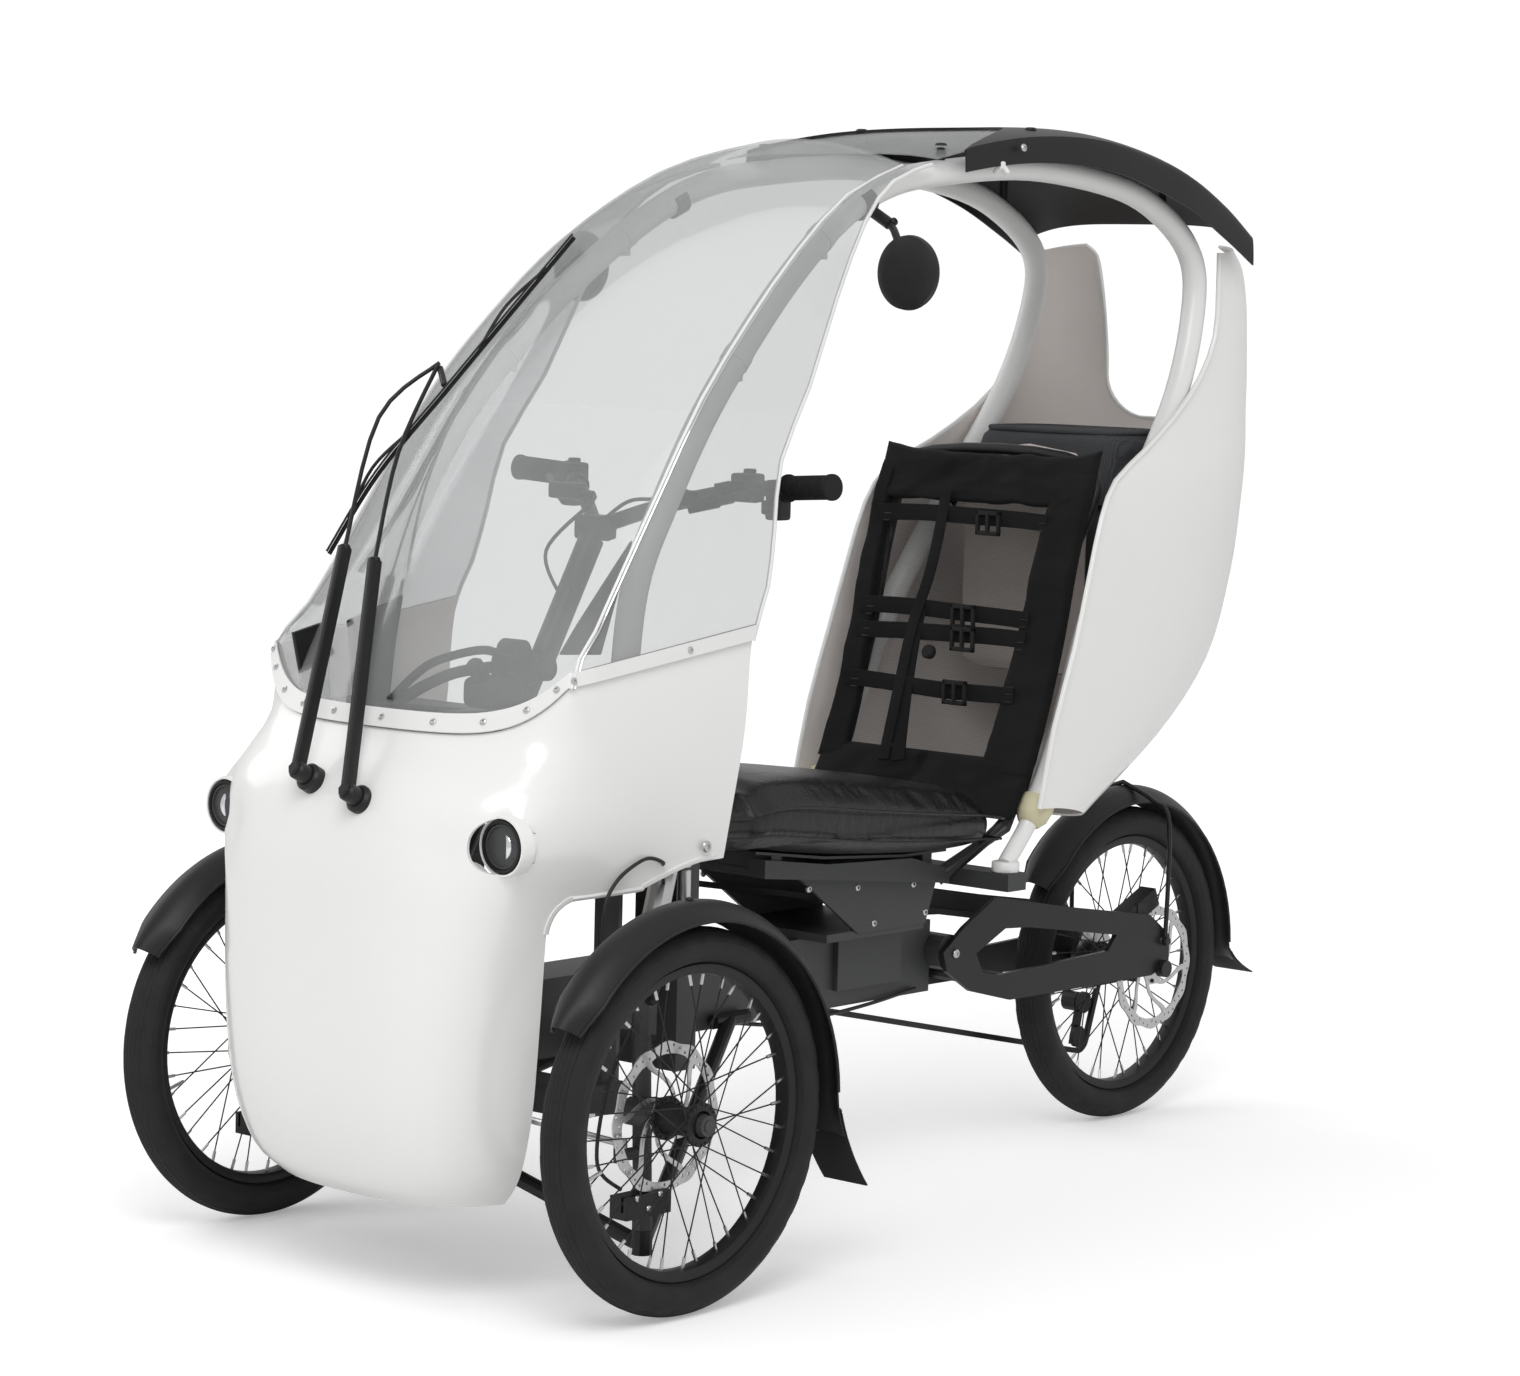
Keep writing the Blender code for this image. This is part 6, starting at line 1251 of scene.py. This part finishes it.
def pad(x_low, x_high, z_low, z_high, thick, wrinkle, steps, seed, depth=0.5):
    """A padded panel of the seat back: rounded edges all round, with soft creases."""
    columns, lines = steps
    faces = []
    for side in (-1, 1):
        rows = []
        for line in range(lines + 1):
            v = -1 + 2 * line / lines
            left, right = (end[0] + (end[1] - end[0]) * (v + 1) / 2 for end in (x_low, x_high))
            z = z_low + (z_high - z_low) * (v + 1) / 2
            row = []
            for column in range(columns + 1):
                u = -1 + 2 * column / columns
                rise = (max(0.0, 1 - abs(u) ** 8) ** 0.4) * (max(0.0, 1 - abs(v) ** 10) ** 0.4)
                x = left + (right - left) * (u + 1) / 2
                spot = Vector((x * 7 + z * 5 * math.copysign(1, x), z * 16, seed))
                crease = noise.fractal(spot, 0.9, 2.1, 3) * wrinkle * rise if side < 0 else 0
                row.append(Vector((x, back_y(z) + BACK_THICK * depth + side * thick / 2 * rise - crease, z)))
            rows.append(row)
        faces.append(grid(rows))
    return outward(weld(merged(*faces), 1e-5))


def make_borders():
    """The padded borders of the seat back, its header and its draped skirt."""
    ends = (SKIRT - 0.02, BACK_HIGH - 0.03, BACK_THICK, 0.0045)
    borders = merged(
        pad((-BACK_HALF, -BACK_HALF), (-0.150, -0.180), *ends, (14, 90), 3.1),
        pad((0.108, 0.134), (BACK_HALF, BACK_HALF), *ends, (20, 90), 7.7),
    )
    piece("back_borders", borders, "fabric", replaces=("seat_back",), angle=70)
    half = BACK_HALF + 0.001
    top = pad((-half,) * 2, (half,) * 2, HEADER - 0.006, BACK_HIGH, BACK_THICK + 0.006, 0.008, (72, 24), 5.3, 0.62)
    for vert in top.verts:
        share = (vert.co.z - HEADER) / (BACK_HIGH - HEADER)
        vert.co.z -= 0.012 * max(0.0, share) * (1 - (vert.co.x / BACK_HALF) ** 4)
        vert.co.z += 0.004 * noise.noise(Vector((vert.co.x * 22, 0, 4)))
    piece("back_header", top, "fabric", angle=70)
    half = BACK_HALF - 0.004
    drape = pad((-half,) * 2, (half,) * 2, BACK_LOW, SKIRT + 0.004, BACK_THICK * 0.9, 0.009, (72, 44), 9.4, 0.6)
    for vert in drape.verts:
        share = (SKIRT - vert.co.z) / (SKIRT - BACK_LOW)
        vert.co.y += math.sin((vert.co.x * 1.3 + vert.co.z * 1.9) * 52) * 0.0028 * max(0.0, share)
    piece("back_skirt", drape, "fabric", angle=70)


def make_back():
    """Open mesh between the borders, webbing straps with stitches and buckles, and the bent tube behind."""
    rows = []
    for line in range(41):
        z = SKIRT + (HEADER - SKIRT) * line / 40
        spread = [-0.178 + 0.320 * column / 32 for column in range(33)]
        rows.append([Vector((x, back_y(z) + BACK_THICK * 0.55 + 0.004 * (1 - (x / 0.16) ** 2), z)) for x in spread])
    net = piece("back_mesh", grid(rows), "mesh")
    straps, stitches, buckles = [], [], []
    for z in STRAP_LEVELS:
        path = []
        for x in (-0.186 + 0.330 * column / 40 for column in range(41)):
            path.append(on_back(x, z + 0.004 * math.sin(x * 9 + z * 40), 0.0032 + 0.0012 * math.cos(x * 30)))
        straps.append(sweep(path, 0, 12, flat=(0.026, 0.0030), up=(0, -1, 0)))
        for near in (0.130, -0.172):
            for line in (-0.011, 0.0, 0.011):
                stitches.append(sweep([on_back(x, z + line, 0.0052) for x in (near, near + 0.012)], 0.0007, 6))
    for points, lift, wide in ((STRAP_UPRIGHT, 0.0070, 0.021), (STRAP_SECOND, 0.0045, 0.026)):
        path = smooth_line([on_back(x, z, lift) for x, z in points], 8)
        straps.append(sweep(path, 0, 12, flat=(wide, 0.0028), up=(0, -1, 0)))
    for x, z in BUCKLES:
        buckles += [block(low, high, bevel, at=on_back(x, z, 0.006)) for low, high, bevel in BUCKLE_BARS]
    buckles.append(rod((0, 0, 0), (0, -0.014, 0.003), 0.011, 20, 0.003, on_back(-0.028, 0.783, 0.004)))
    piece("back_straps", merged(*straps), "fabric", angle=50)
    piece("back_buckles", merged(*buckles), "rubber")
    piece("back_stitches", merged(*stitches), "leather")
    rear = [(y * WHEELBASE + 0.029, z * ROOF_HEIGHT) for y, z in BACK_SHARES]
    left = [Vector((0.1155, 0.872, 0.458))] + [Vector((0.182, y, z)) for y, z in rear[:-1]]
    left.append(Vector((0.170, rear[-1][0] - 0.006, rear[-1][1] - 0.022)))
    bent = smooth_line(left + [sided(point, -1) for point in reversed(left)], 6)
    piece("back_frame_tube", sweep(bent, 0.0088, 16), "black_metal", angle=60)


CUSHION_STEPS = 56
CUSHION_FLOOR = 0.556
PUFF_LIMIT = 0.010
PUFF_FRAMES = 20


def squared_ring(steps, power):
    """The two coordinates of each point of a rounded square, with its turn."""
    ring = []
    for step in range(steps):
        turn = math.tau * step / steps
        reach = (abs(math.cos(turn)) ** power + abs(math.sin(turn)) ** power) ** (-1 / power)
        ring.append((*polar(reach, turn), turn))
    return ring


def cushion_rings():
    rings = []
    for y, half, bottom, top in smooth_values(CUSHION_SHARES, 5):
        middle, height = (bottom + top) / 2, (top - bottom) / 2
        rings.append([cabin_point(half * x, y, middle + height * z) for x, z, _ in squared_ring(CUSHION_STEPS, 3.2)])
    return rings


def puff(obj):
    """Fills a closed cloth form with air, so that it crowns and creases, and keeps the result."""
    remesh = obj.modifiers.new("remesh", "REMESH")
    remesh.mode = "VOXEL"
    remesh.voxel_size = 0.0065
    bake(obj)
    rest = [vert.co.copy() for vert in obj.data.vertices]
    cloth = obj.modifiers.new("cloth", "CLOTH")
    settings = cloth.settings
    settings.quality = 5
    settings.mass = 0.3
    settings.use_pressure = True
    settings.uniform_pressure_force = 4.0
    settings.tension_stiffness = settings.compression_stiffness = 18
    settings.bending_stiffness = 0.6
    settings.shrink_min = -0.02
    settings.effector_weights.gravity = 0
    cloth.point_cache.frame_start = 1
    cloth.point_cache.frame_end = PUFF_FRAMES
    for number in range(1, PUFF_FRAMES + 1):
        bpy.context.scene.frame_set(number)
    bake(obj)
    bpy.context.scene.frame_set(1)
    for vert, start in zip(obj.data.vertices, rest):
        move = vert.co - start
        if move.length > PUFF_LIMIT:
            move *= PUFF_LIMIT / move.length
        if start.z < CUSHION_FLOOR:
            move.z = max(move.z, -0.001)
            move *= 0.35
        vert.co = start + move
    obj.data.materials.clear()
    obj.data.materials.append(MATERIALS["leather"])


def make_cushion():
    """The leather cushion: puffed, with a channel behind its nose and piping round its side."""
    cover = grid(cushion_rings(), True, True)
    made = piece("cushion_cover", cover, "leather", replaces=("seat_cushion",), angle=80)
    puff(made)
    for vert in made.data.vertices:
        y, z = vert.co.y - AXLE_Y, vert.co.z
        if z > 0.575:
            channel = math.exp(-(((y - 0.385) / 0.012) ** 2)) * 0.008
            crease = noise.fractal(Vector((vert.co.x * 14, y * 5, 2.5)), 0.9, 2.0, 3) * 0.0014
            vert.co.z -= channel + abs(crease)
    level = made.modifiers.new("smooth", "SUBSURF")
    level.levels = level.render_levels = 1
    bake(made)
    shade(made, 80)
    rings = cushion_rings()[3:-3]
    for name, raise_by in (("cushion_seam_upper", 0.30), ("cushion_seam_lower", -0.42)):
        halves = []
        for sign, turn in ((1, math.asin(raise_by)), (-1, math.pi - math.asin(raise_by))):
            step = round(CUSHION_STEPS * (turn % math.tau) / math.tau) % CUSHION_STEPS
            halves.append([ring[step] + Vector((sign * 0.0035, 0, 0)) for ring in rings])
        path = smooth_line((halves[0] + halves[1][::-1])[::3], 4, True)
        piece(name, sweep(path, 0.0022, 8, True), "leather", angle=80)


def make_bag():
    """A slack cloth bag behind the seat, with a pale front, a rolled top and its straps to the hoops."""
    rings = []
    for z, y, half, depth in smooth_values(BAG_SHARES, 8):
        ring = []
        for a, b, turn in squared_ring(64, 4):
            spot = Vector((half * CABIN_HALF * a, y * WHEELBASE + depth * CABIN_HALF * b, z * ROOF_HEIGHT))
            slack = noise.fractal(Vector((spot.x * 6, spot.y * 6, spot.z * 11)), 0.9, 2.0, 3) * 0.009
            ring.append(spot + Vector((*polar(1, turn), 0)) * (slack - 0.004))
        rings.append(ring)
    made = piece("bag_body", grid(rings, True, True), "felt", replaces=("cargo_bag",), angle=70)
    front_rings = rings[6:-15]
    rows = []
    for index, ring in enumerate(front_rings):
        v = -1 + 2 * index / (len(front_rings) - 1)
        z = sum(point.z for point in ring) / len(ring)
        front = min(point.y for point in ring) - 0.004
        wide = 0.118 * (1 - abs(v) ** 7) ** 0.3
        rows.append([Vector((wide * x / 12, front + 0.004 * abs(x / 12) ** 6, z)) for x in range(-12, 13)])
    piece("bag_front", facing_out(grid(rows), (0, 1.4, 0.9)), "liner", angle=60, thick=0.003)
    rim = [point + Vector((0, 0, 0.003)) for point in rings[-8]]
    piece("bag_rim", sweep(rim[::2], 0.0045, 8, True), "felt", angle=70)
    straps = []
    for side, sign in SIDES:
        hoop, line = cabin_point(*HOOP_SHARES[16], sign), hoop_line(sign)
        ends = [Vector((sign * 0.10, hoop.y, hoop.z)), hoop - Vector((sign * 0.017, 0, 0))]
        straps.append(sweep(ends, 0, 12, flat=(0.024, 0.003)))
        near = min(range(1, len(line) - 1), key=lambda index: (line[index] - hoop).length)
        along = along_at(line, near) * 0.013
        straps.append(sweep([hoop - along, hoop + along], 0.0208, 20))
    piece("bag_straps", merged(*straps), "fabric")


make_borders()
make_back()
make_cushion()
make_bag()


# Lamps, mirrors and wiper

LAMP_SHELL = (
    (0.085, TINY), (0.085, 0.020), (0.070, 0.026), (0.050, 0.030), (0.010, 0.0335), (0.001, 0.0345),
    (-0.0015, 0.0335), (-0.0015, 0.0300), (0.004, 0.0290), (0.012, 0.0285),
)
LAMP_BEZEL = ((0.003, 0.0292), (0.0005, 0.0288), (0.0005, 0.0262), (0.005, 0.0255))
LAMP_GLASS = ((0.004, 0.0258), (0.0015, 0.020), (0.0, 0.010), (-0.0003, TINY))
MIRROR_SHELL = (
    (0.009, 0.0470), (0.0085, 0.0505), (0.0045, 0.0520), (-0.003, 0.0510), (-0.007, 0.0430), (-0.009, 0.0300),
    (-0.009, TINY),
)
MIRROR_FACE = ((0.0080, 0.0485), (0.0088, 0.0475), (0.0095, 0.030), (0.0098, TINY))


def make_lamps():
    """A black ring, a grey bezel, a dark bowl with a bright crescent, and a lens."""
    bends = [math.pi / 2 * step / 12 for step in range(13)]
    bowl = [(0.006 + 0.020 * math.sin(bend), max(0.0258 * math.cos(bend), TINY)) for bend in bends]
    for side, sign in SIDES:
        centre = sided(LAMP_CENTRE, sign)
        shell = lathe(LAMP_SHELL, centre, 48, "Y")
        piece("lamp_housing_" + side, shell, "satin_black", replaces=("headlight_" + side,), angle=40)
        piece("lamp_bezel_" + side, lathe(LAMP_BEZEL, centre, 48, "Y"), "frame_grey", angle=40)
        piece("lamp_bowl_" + side, lathe(bowl, centre, 48, "Y"), "hose", angle=60)
        arc = []
        for step in range(21):
            bend = math.radians(-72 + 144 * step / 20)
            arc.append(centre + Vector((sign * (0.0135 * math.cos(bend) - 0.004), 0.006, 0.0185 * math.sin(bend))))
        radii = [0.0010 + 0.0052 * math.sin(math.pi * step / 20) for step in range(21)]
        piece("lamp_reflector_" + side, sweep(arc, 0, 12, radii=radii, up=(0, 1, 0)), "chrome", angle=60)
        piece("lamp_emitter_" + side, rod((0, 0.022, 0), (0, 0.012, 0), 0.006, 20, at=centre), "silver")
        piece("lamp_glass_" + side, lathe(LAMP_GLASS, centre, 48, "Y"), "lens", angle=60)


def make_mirrors():
    for side, sign in SIDES:
        centre = Vector((sign * 0.311, 0.518, 1.358))
        back = lathe(MIRROR_SHELL, centre, 56, "Y")
        piece("mirror_shell_" + side, back, "satin_black", replaces=("mirror_" + side,), angle=50)
        piece("mirror_face_" + side, lathe(MIRROR_FACE, centre, 56, "Y"), "mirror", angle=50)
        clamp = Vector((sign * 0.232, 0.575, 1.425))
        a, b = (cabin_point(*point, sign) for point in HOOP_SHARES[7:9])
        spot, along = a.lerp(b, 0.53), (b - a).normalized() * 0.013
        reach = [clamp, clamp.lerp(centre, 0.3) + Vector((0, 0, 0.006)), clamp.lerp(centre, 0.75), centre]
        arm = merged(
            sweep(smooth_line(reach, 6), 0.0055, 14),
            rod(spot, clamp, 0.0085),
            sweep([spot - along, spot + along], 0.0212, 24),
            rod(centre.lerp(clamp, 0.16), centre.lerp(clamp, -0.02), 0.011, 18, 0.004),
            screw(clamp + Vector((sign * 0.006, 0, 0.004)), (sign, 0, 0.5), 0.006, 0.004),
        )
        piece("mirror_arm_" + side, arm, "black_metal")


def make_wiper():
    """Two tapered arms with sprung upper rods, their spindle caps, the yoke and a jointed blade."""
    arms = []
    ahead = Vector((0, -0.878, 0.479))
    for path in (WIPER_LEFT_ARM, WIPER_RIGHT_ARM):
        foot, knee, *rest = (cabin_point(*point) for point in path)
        run = [foot.lerp(knee, step / 10) for step in range(11)]
        nut = lathe([(0, 0.0095), (0.004, 0.0095), (0.006, 0.0075), (0.006, TINY)], (0, 0, 0), 6, "Z")
        arms += [
            sweep(run, 0, 16, flat=(0.019, 0.011), up=(1, 0, 0.4)),
            sweep(smooth_line([foot.lerp(knee, 0.92), knee, *rest], 5), 0.0030),
            rod((-0.007, 0, 0), (0.007, 0, 0), 0.0052, at=knee),
            rod(-ahead * 0.040, ahead * 0.006, 0.0125, 24, 0.003, foot),
            turned_to(nut, foot + ahead * 0.005, ahead),
            rod(-ahead * 0.060, -ahead * 0.016, 0.019, 28, 0.004, foot),
        ]
    line = smooth_line([cabin_point(*point) for point in WIPER_BLADE_PATH], 8)
    hub, end = cabin_point(*WIPER_BLADE_PATH[2]), cabin_point(*WIPER_LEFT_ARM[-1])
    arms.append(rod(end + Vector((0, 0.004, -0.004)), hub + Vector((0, -0.004, 0.004)), 0.0046, 12))
    for low, high in ((4, 12), (20, 28)):
        bow = [line[low], line[(low + high) // 2] + Vector((0, -0.009, 0.007)), line[high]]
        arms.append(sweep(smooth_line(bow, 6), 0.0024, 8))
    arms.append(sweep([point + Vector((0, -0.003, 0.002)) for point in line], 0, flat=(0.009, 0.003)))
    rubber = sweep([point + Vector((0, 0.002, -0.002)) for point in line], 0, flat=(0.004, 0.006))
    piece("wiper_arms", merged(*arms), "satin_black", replaces=("wiper",))
    piece("wiper_rubber", rubber, "rubber")


make_lamps()
make_mirrors()
make_wiper()


# Controls, interior and hoses

STEM_TOP = Vector((0, 0.234, 0.996))


def hose(name, points, radius, steps, body="chassis", sides=8):
    piece(name, sweep(smooth_line(points, steps), radius, sides), "hose", body, angle=80)


def dress_bar():
    """Grip ribs and ends, the reservoirs, switches and cables at each hand."""
    for side, sign in SIDES:
        inner, outer = Vector((sign * 0.209, 0.396, 1.058)), Vector((sign * 0.300, 0.385, 1.064))
        along = (outer - inner).normalized()
        ribs = [(0.008 + 0.0053 * index, 0.0028, 0.0172, 22) for index in range(15)]
        ribs += [(0.0, 0.004, 0.0195, 24), (0.0865, 0.005, 0.0185, 24)]
        rings = [
            sweep([inner + along * start, inner + along * (start + wide)], radius, sides)
            for start, wide, radius, sides in ribs
        ]
        piece("grip_ribs_" + side, merged(*rings), "rubber", "handlebar")
        near = STEM_TOP.lerp(inner, 0.80) + Vector((0, 0, 0.008))
        thumb = inner - along * 0.014
        pod = merged(
            block((-0.019, -0.020, -0.016), (0.019, 0.012, 0.024), 0.005, at=near),
            rod((0, 0, 0.020), (0, 0, 0.030), 0.009, 16, at=near),
            block((-0.013, -0.026, -0.004), (0.013, -0.018, 0.014), at=near),
            block((-0.013, -0.020, -0.044), (0.013, 0.010, 0.012), 0.006, 3, thumb),
            block((-0.009, -0.032, -0.036), (0.009, -0.018, -0.016), 0.004, at=thumb),
            rod((-0.022, -0.006, 0), (0.022, -0.006, 0), 0.0165, 20, 0.004, near),
        )
        piece("switch_pod_" + side, pod, "satin_black", "handlebar")
        base = STEM_TOP.lerp(inner, 0.5) + Vector((0, -0.030, 0.012))
        tank = merged(
            block((-0.026, -0.014, -0.009), (0.026, 0.014, 0.014), 0.005, at=base),
            rod((-sign * 0.026, 0, 0), (-sign * 0.048, 0.004, -0.002), 0.006, at=base),
            *(screw(base + Vector((x, 0, 0.0138)), (0, 0, 1), 0.003, 0.0015) for x in (0.016, -0.016)),
        )
        piece("reservoir_" + side, tank, "black_metal", "handlebar")
        cable = [base + Vector(spot) for spot in ((-sign * 0.046, 0.004, -0.002), (-sign * 0.075, -0.030, -0.010))]
        cable += [Vector((sign * 0.028, 0.165, 0.965)), Vector((sign * 0.012, 0.180, 0.900))]
        hose("bar_cable_" + side, cable, 0.0027, 8, "handlebar")
    head = merged(
        block((-0.024, -0.020, -0.016), (0.024, 0.018, 0.018), 0.005, at=STEM_TOP),
        *(screw(STEM_TOP + Vector((x, -0.020, 0)), (0, -1, 0), 0.004, 0.003) for x in (0.013, -0.013)),
    )
    piece("stem_clamp", head, "black_metal", "handlebar")


# The name, the x of its far face, the thickness and the outline (y, z) of each panel inside the nose
INNER_PANELS = (
    (
        "inner_panel_far", -0.124, 0.007,
        ((-0.119, 0.874), (-0.019, 0.904), (-0.031, 0.843), (-0.042, 0.762), (-0.104, 0.757)),
    ),
    ("inner_panel_side", -0.204, 0.007, ((-0.145, 0.853), (-0.081, 0.867), (-0.075, 0.749), (-0.125, 0.774))),
    ("inner_post", 0.117, 0.006, ((0.074, 0.876), (0.178, 0.987), (0.120, 0.834), (0.042, 0.838))),
)
UPPER_CABLE = (
    (0.02, -0.173, 0.781), (0.02, -0.128, 0.812), (0.02, -0.083, 0.830), (0.03, -0.008, 0.840), (0.04, 0.030, 0.822),
)
LOWER_CABLE = ((0.02, -0.155, 0.780), (0.02, -0.100, 0.800), (0.02, -0.045, 0.812), (0.03, 0.030, 0.817))


def make_interior():
    """Dark trim inside the nose, seen through the clear sheet: panels, cables, a motor and a shelf."""
    for name, x, thick, outline in INNER_PANELS:
        piece(name, slab(outline, x, x + thick, "X", 0.002), "satin_black")
    motor = merged(
        block((0.020, -0.044, 0.764), (0.080, 0.020, 0.806), 0.014, 4),
        block((0.026, 0.000, 0.790), (0.074, 0.056, 0.838), 0.016, 4),
        rod((0.028, 0.026, 0.838), (0.072, 0.026, 0.838), 0.017, 22, 0.005),
        rod((0.050, 0.040, 0.815), (0.050, 0.098, 0.812), 0.018, 22, 0.006),
        rod((0.050, -0.030, 0.800), (0.050, -0.052, 0.828), 0.012, 18, 0.004),
    )
    piece("wiper_motor", motor, "satin_black")
    hose("inner_cable_upper", UPPER_CABLE, 0.0060, 8, sides=12)
    hose("inner_cable_lower", LOWER_CABLE, 0.0080, 8, sides=12)
    piece("inner_shelf", block((-0.215, -0.120, 0.748), (0.150, 0.030, 0.760), 0.004), "satin_black")


# x, y and z of the brake hose over the left arch, and of the hose under the beam
ARCH_HOSE = (
    (0.286, -0.042, 0.455), (0.290, -0.046, 0.500), (0.290, -0.038, 0.535), (0.290, -0.018, 0.559),
    (0.290, 0.011, 0.575), (0.290, 0.041, 0.583), (0.290, 0.069, 0.575), (0.270, 0.089, 0.563),
    (0.250, 0.118, 0.523), (0.222, 0.150, 0.470),
)
BEAM_HOSE = (
    (0.030, 0.520, 0.272), (0.040, 0.600, 0.262), (0.052, 0.700, 0.266), (0.058, 0.800, 0.274), (0.056, 0.900, 0.284),
)


def make_hoses():
    """Brake hoses: a loop over each arch, a run down each knuckle and one under the beam to the rear."""
    for side, sign in SIDES:
        hose("arch_hose_" + side, [sided(Vector(point), sign) for point in ARCH_HOSE], 0.0026, 6)
        holder = block((-0.016, 0.125, 0.480), (0.016, 0.165, 0.545), 0.004, at=(sign * 0.205, 0, 0))
        piece("arch_block_" + side, holder, "satin_black")
        tube = rod((sign * 0.232, 0.176, 0.470), (sign * 0.232, 0.176, 0.550), 0.0095, 20)
        piece("arch_tube_" + side, tube, "silver")
        piece("nose_screw_" + side, screw((sign * 0.2865, 0.158, 0.588), (sign, 0, 0), 0.0085, 0.004), "silver")
        heads = [
            screw((sign * (HALF_TRACK - 0.0244), y, z), (sign, 0, 0), 0.0048, 0.003)
            for y, z in ((-0.060, 0.158), (-0.016, 0.158), (-0.038, 0.142))
        ]
        piece("caliper_screws_" + side, merged(*heads), "silver", "knuckle_" + side)
        x = HALF_TRACK - ROTOR_X - 0.020
        run = [(x, -0.060, 0.165), (x - 0.020, -0.085, 0.200), (0.318, -0.060, 0.290), (0.306, 0.000, 0.370)]
        hose("caliper_hose_" + side, [sided(Vector(point), sign) for point in run], 0.0026, 8, "knuckle_" + side)
    hose("beam_hose", BEAM_HOSE, 0.0030, 8)


def add_bolts():
    """Screws on the seat's side plates, the swing plates and the beam."""
    cheek = ((0.590, 0.470), (0.700, 0.462), (0.830, 0.455), (0.740, 0.405), (0.860, 0.410))
    heads = []
    for _, sign in SIDES:
        heads += [screw((sign * 0.1012, y, z), (sign, 0, 0), 0.0060, 0.004) for y, z in cheek]
        for y, z in ((0.953, 0.336), (WHEELBASE, 0.300)):
            heads.append(screw((sign * 0.0905, y, z), (sign, 0, 0), 0.0075, 0.004))
    piece("frame_screws", merged(*heads), "silver")


dress_bar()
make_interior()
make_hoses()
add_bolts()


# Camera, light and floor

CAMERA_PLACE = (3.8910, -3.8941, 1.3214)
CAMERA_AZIMUTH = math.radians(40.955)
CAMERA_ELEVATION = math.radians(5.466)
CAMERA_ROLL = math.radians(1.4708)
CAMERA_LENS = 97.09
SURROUND = 0.66
BACKDROP = 1.04
STAGE = bpy.context.scene.collection


def make_camera():
    camera = bpy.data.objects.new("camera", bpy.data.cameras.new("camera"))
    camera.data.lens = CAMERA_LENS
    camera.data.sensor_width = 36
    turn, rise = CAMERA_AZIMUTH, CAMERA_ELEVATION
    back = Vector((math.sin(turn) * math.cos(rise), -math.cos(turn) * math.cos(rise), math.sin(rise)))
    right = Vector((*polar(1, turn), 0))
    up = back.cross(right)
    across = right * math.cos(CAMERA_ROLL) + up * math.sin(CAMERA_ROLL)
    above = up * math.cos(CAMERA_ROLL) - right * math.sin(CAMERA_ROLL)
    facing = Matrix((across, above, back)).transposed().to_4x4()
    camera.matrix_world = Matrix.Translation(place(*CAMERA_PLACE)) @ facing
    STAGE.objects.link(camera)
    bpy.context.scene.camera = camera


def make_lamp(name, spot, target, power, size):
    lamp = bpy.data.lights.new(name, "AREA")
    lamp.energy = power
    lamp.shape = "DISK"
    lamp.size = size
    holder = bpy.data.objects.new(name, lamp)
    holder.location = spot
    holder.rotation_euler = (Vector(target) - Vector(spot)).to_track_quat("-Z", "Y").to_euler()
    STAGE.objects.link(holder)


def make_world():
    """A white surround: plain light for the object, a little brighter where the camera sees it."""
    world = bpy.data.worlds.new("studio")
    bpy.context.scene.world = world
    world.use_nodes = True
    tree = world.node_tree
    path = add(tree, "LightPath").outputs
    seen = combined(tree, "MAXIMUM", path["Is Camera Ray"], path["Is Transmission Ray"])
    background = tree.nodes["Background"]
    background.inputs["Color"].default_value = (1, 1, 1, 1)
    tree.links.new(ranged(tree, seen, SURROUND, BACKDROP), background.inputs["Strength"])


def make_floor():
    """A pale floor that glows more with distance, for the camera only, so that it meets the backdrop."""
    bm = bmesh.new()
    bmesh.ops.create_grid(bm, x_segments=1, y_segments=1, size=30)
    floor = new_object("floor", bm, STAGE)
    material, tree, shader = node_material("pale_floor")
    fill(shader, {"Base Color": (0.94, 0.94, 0.94, 1), "Emission Color": (1, 1, 1, 1)})
    fill(shader, {"Roughness": 0.9, "Specular IOR Level": 0.1})
    distance = add(tree, "VectorMath", operation="LENGTH")
    tree.links.new(add(tree, "TexCoord").outputs["Object"], distance.inputs[0])
    glow = ranged(tree, distance.outputs["Value"], 0.28, 0.44, 0.9, 3.0)
    seen = add(tree, "LightPath").outputs["Is Camera Ray"]
    tree.links.new(combined(tree, "MULTIPLY", seen, glow), shader.inputs["Emission Strength"])
    floor.data.materials.append(material)


make_camera()
make_world()
make_lamp("key", (2.5, -3.5, 4.5), (0, 0, 0.6), 105, 3.0)
make_lamp("fill", (-4.0, -1.0, 3.0), (0, 0, 0.7), 30, 3.0)
make_floor()
bpy.context.scene.view_settings.view_transform = "Standard"
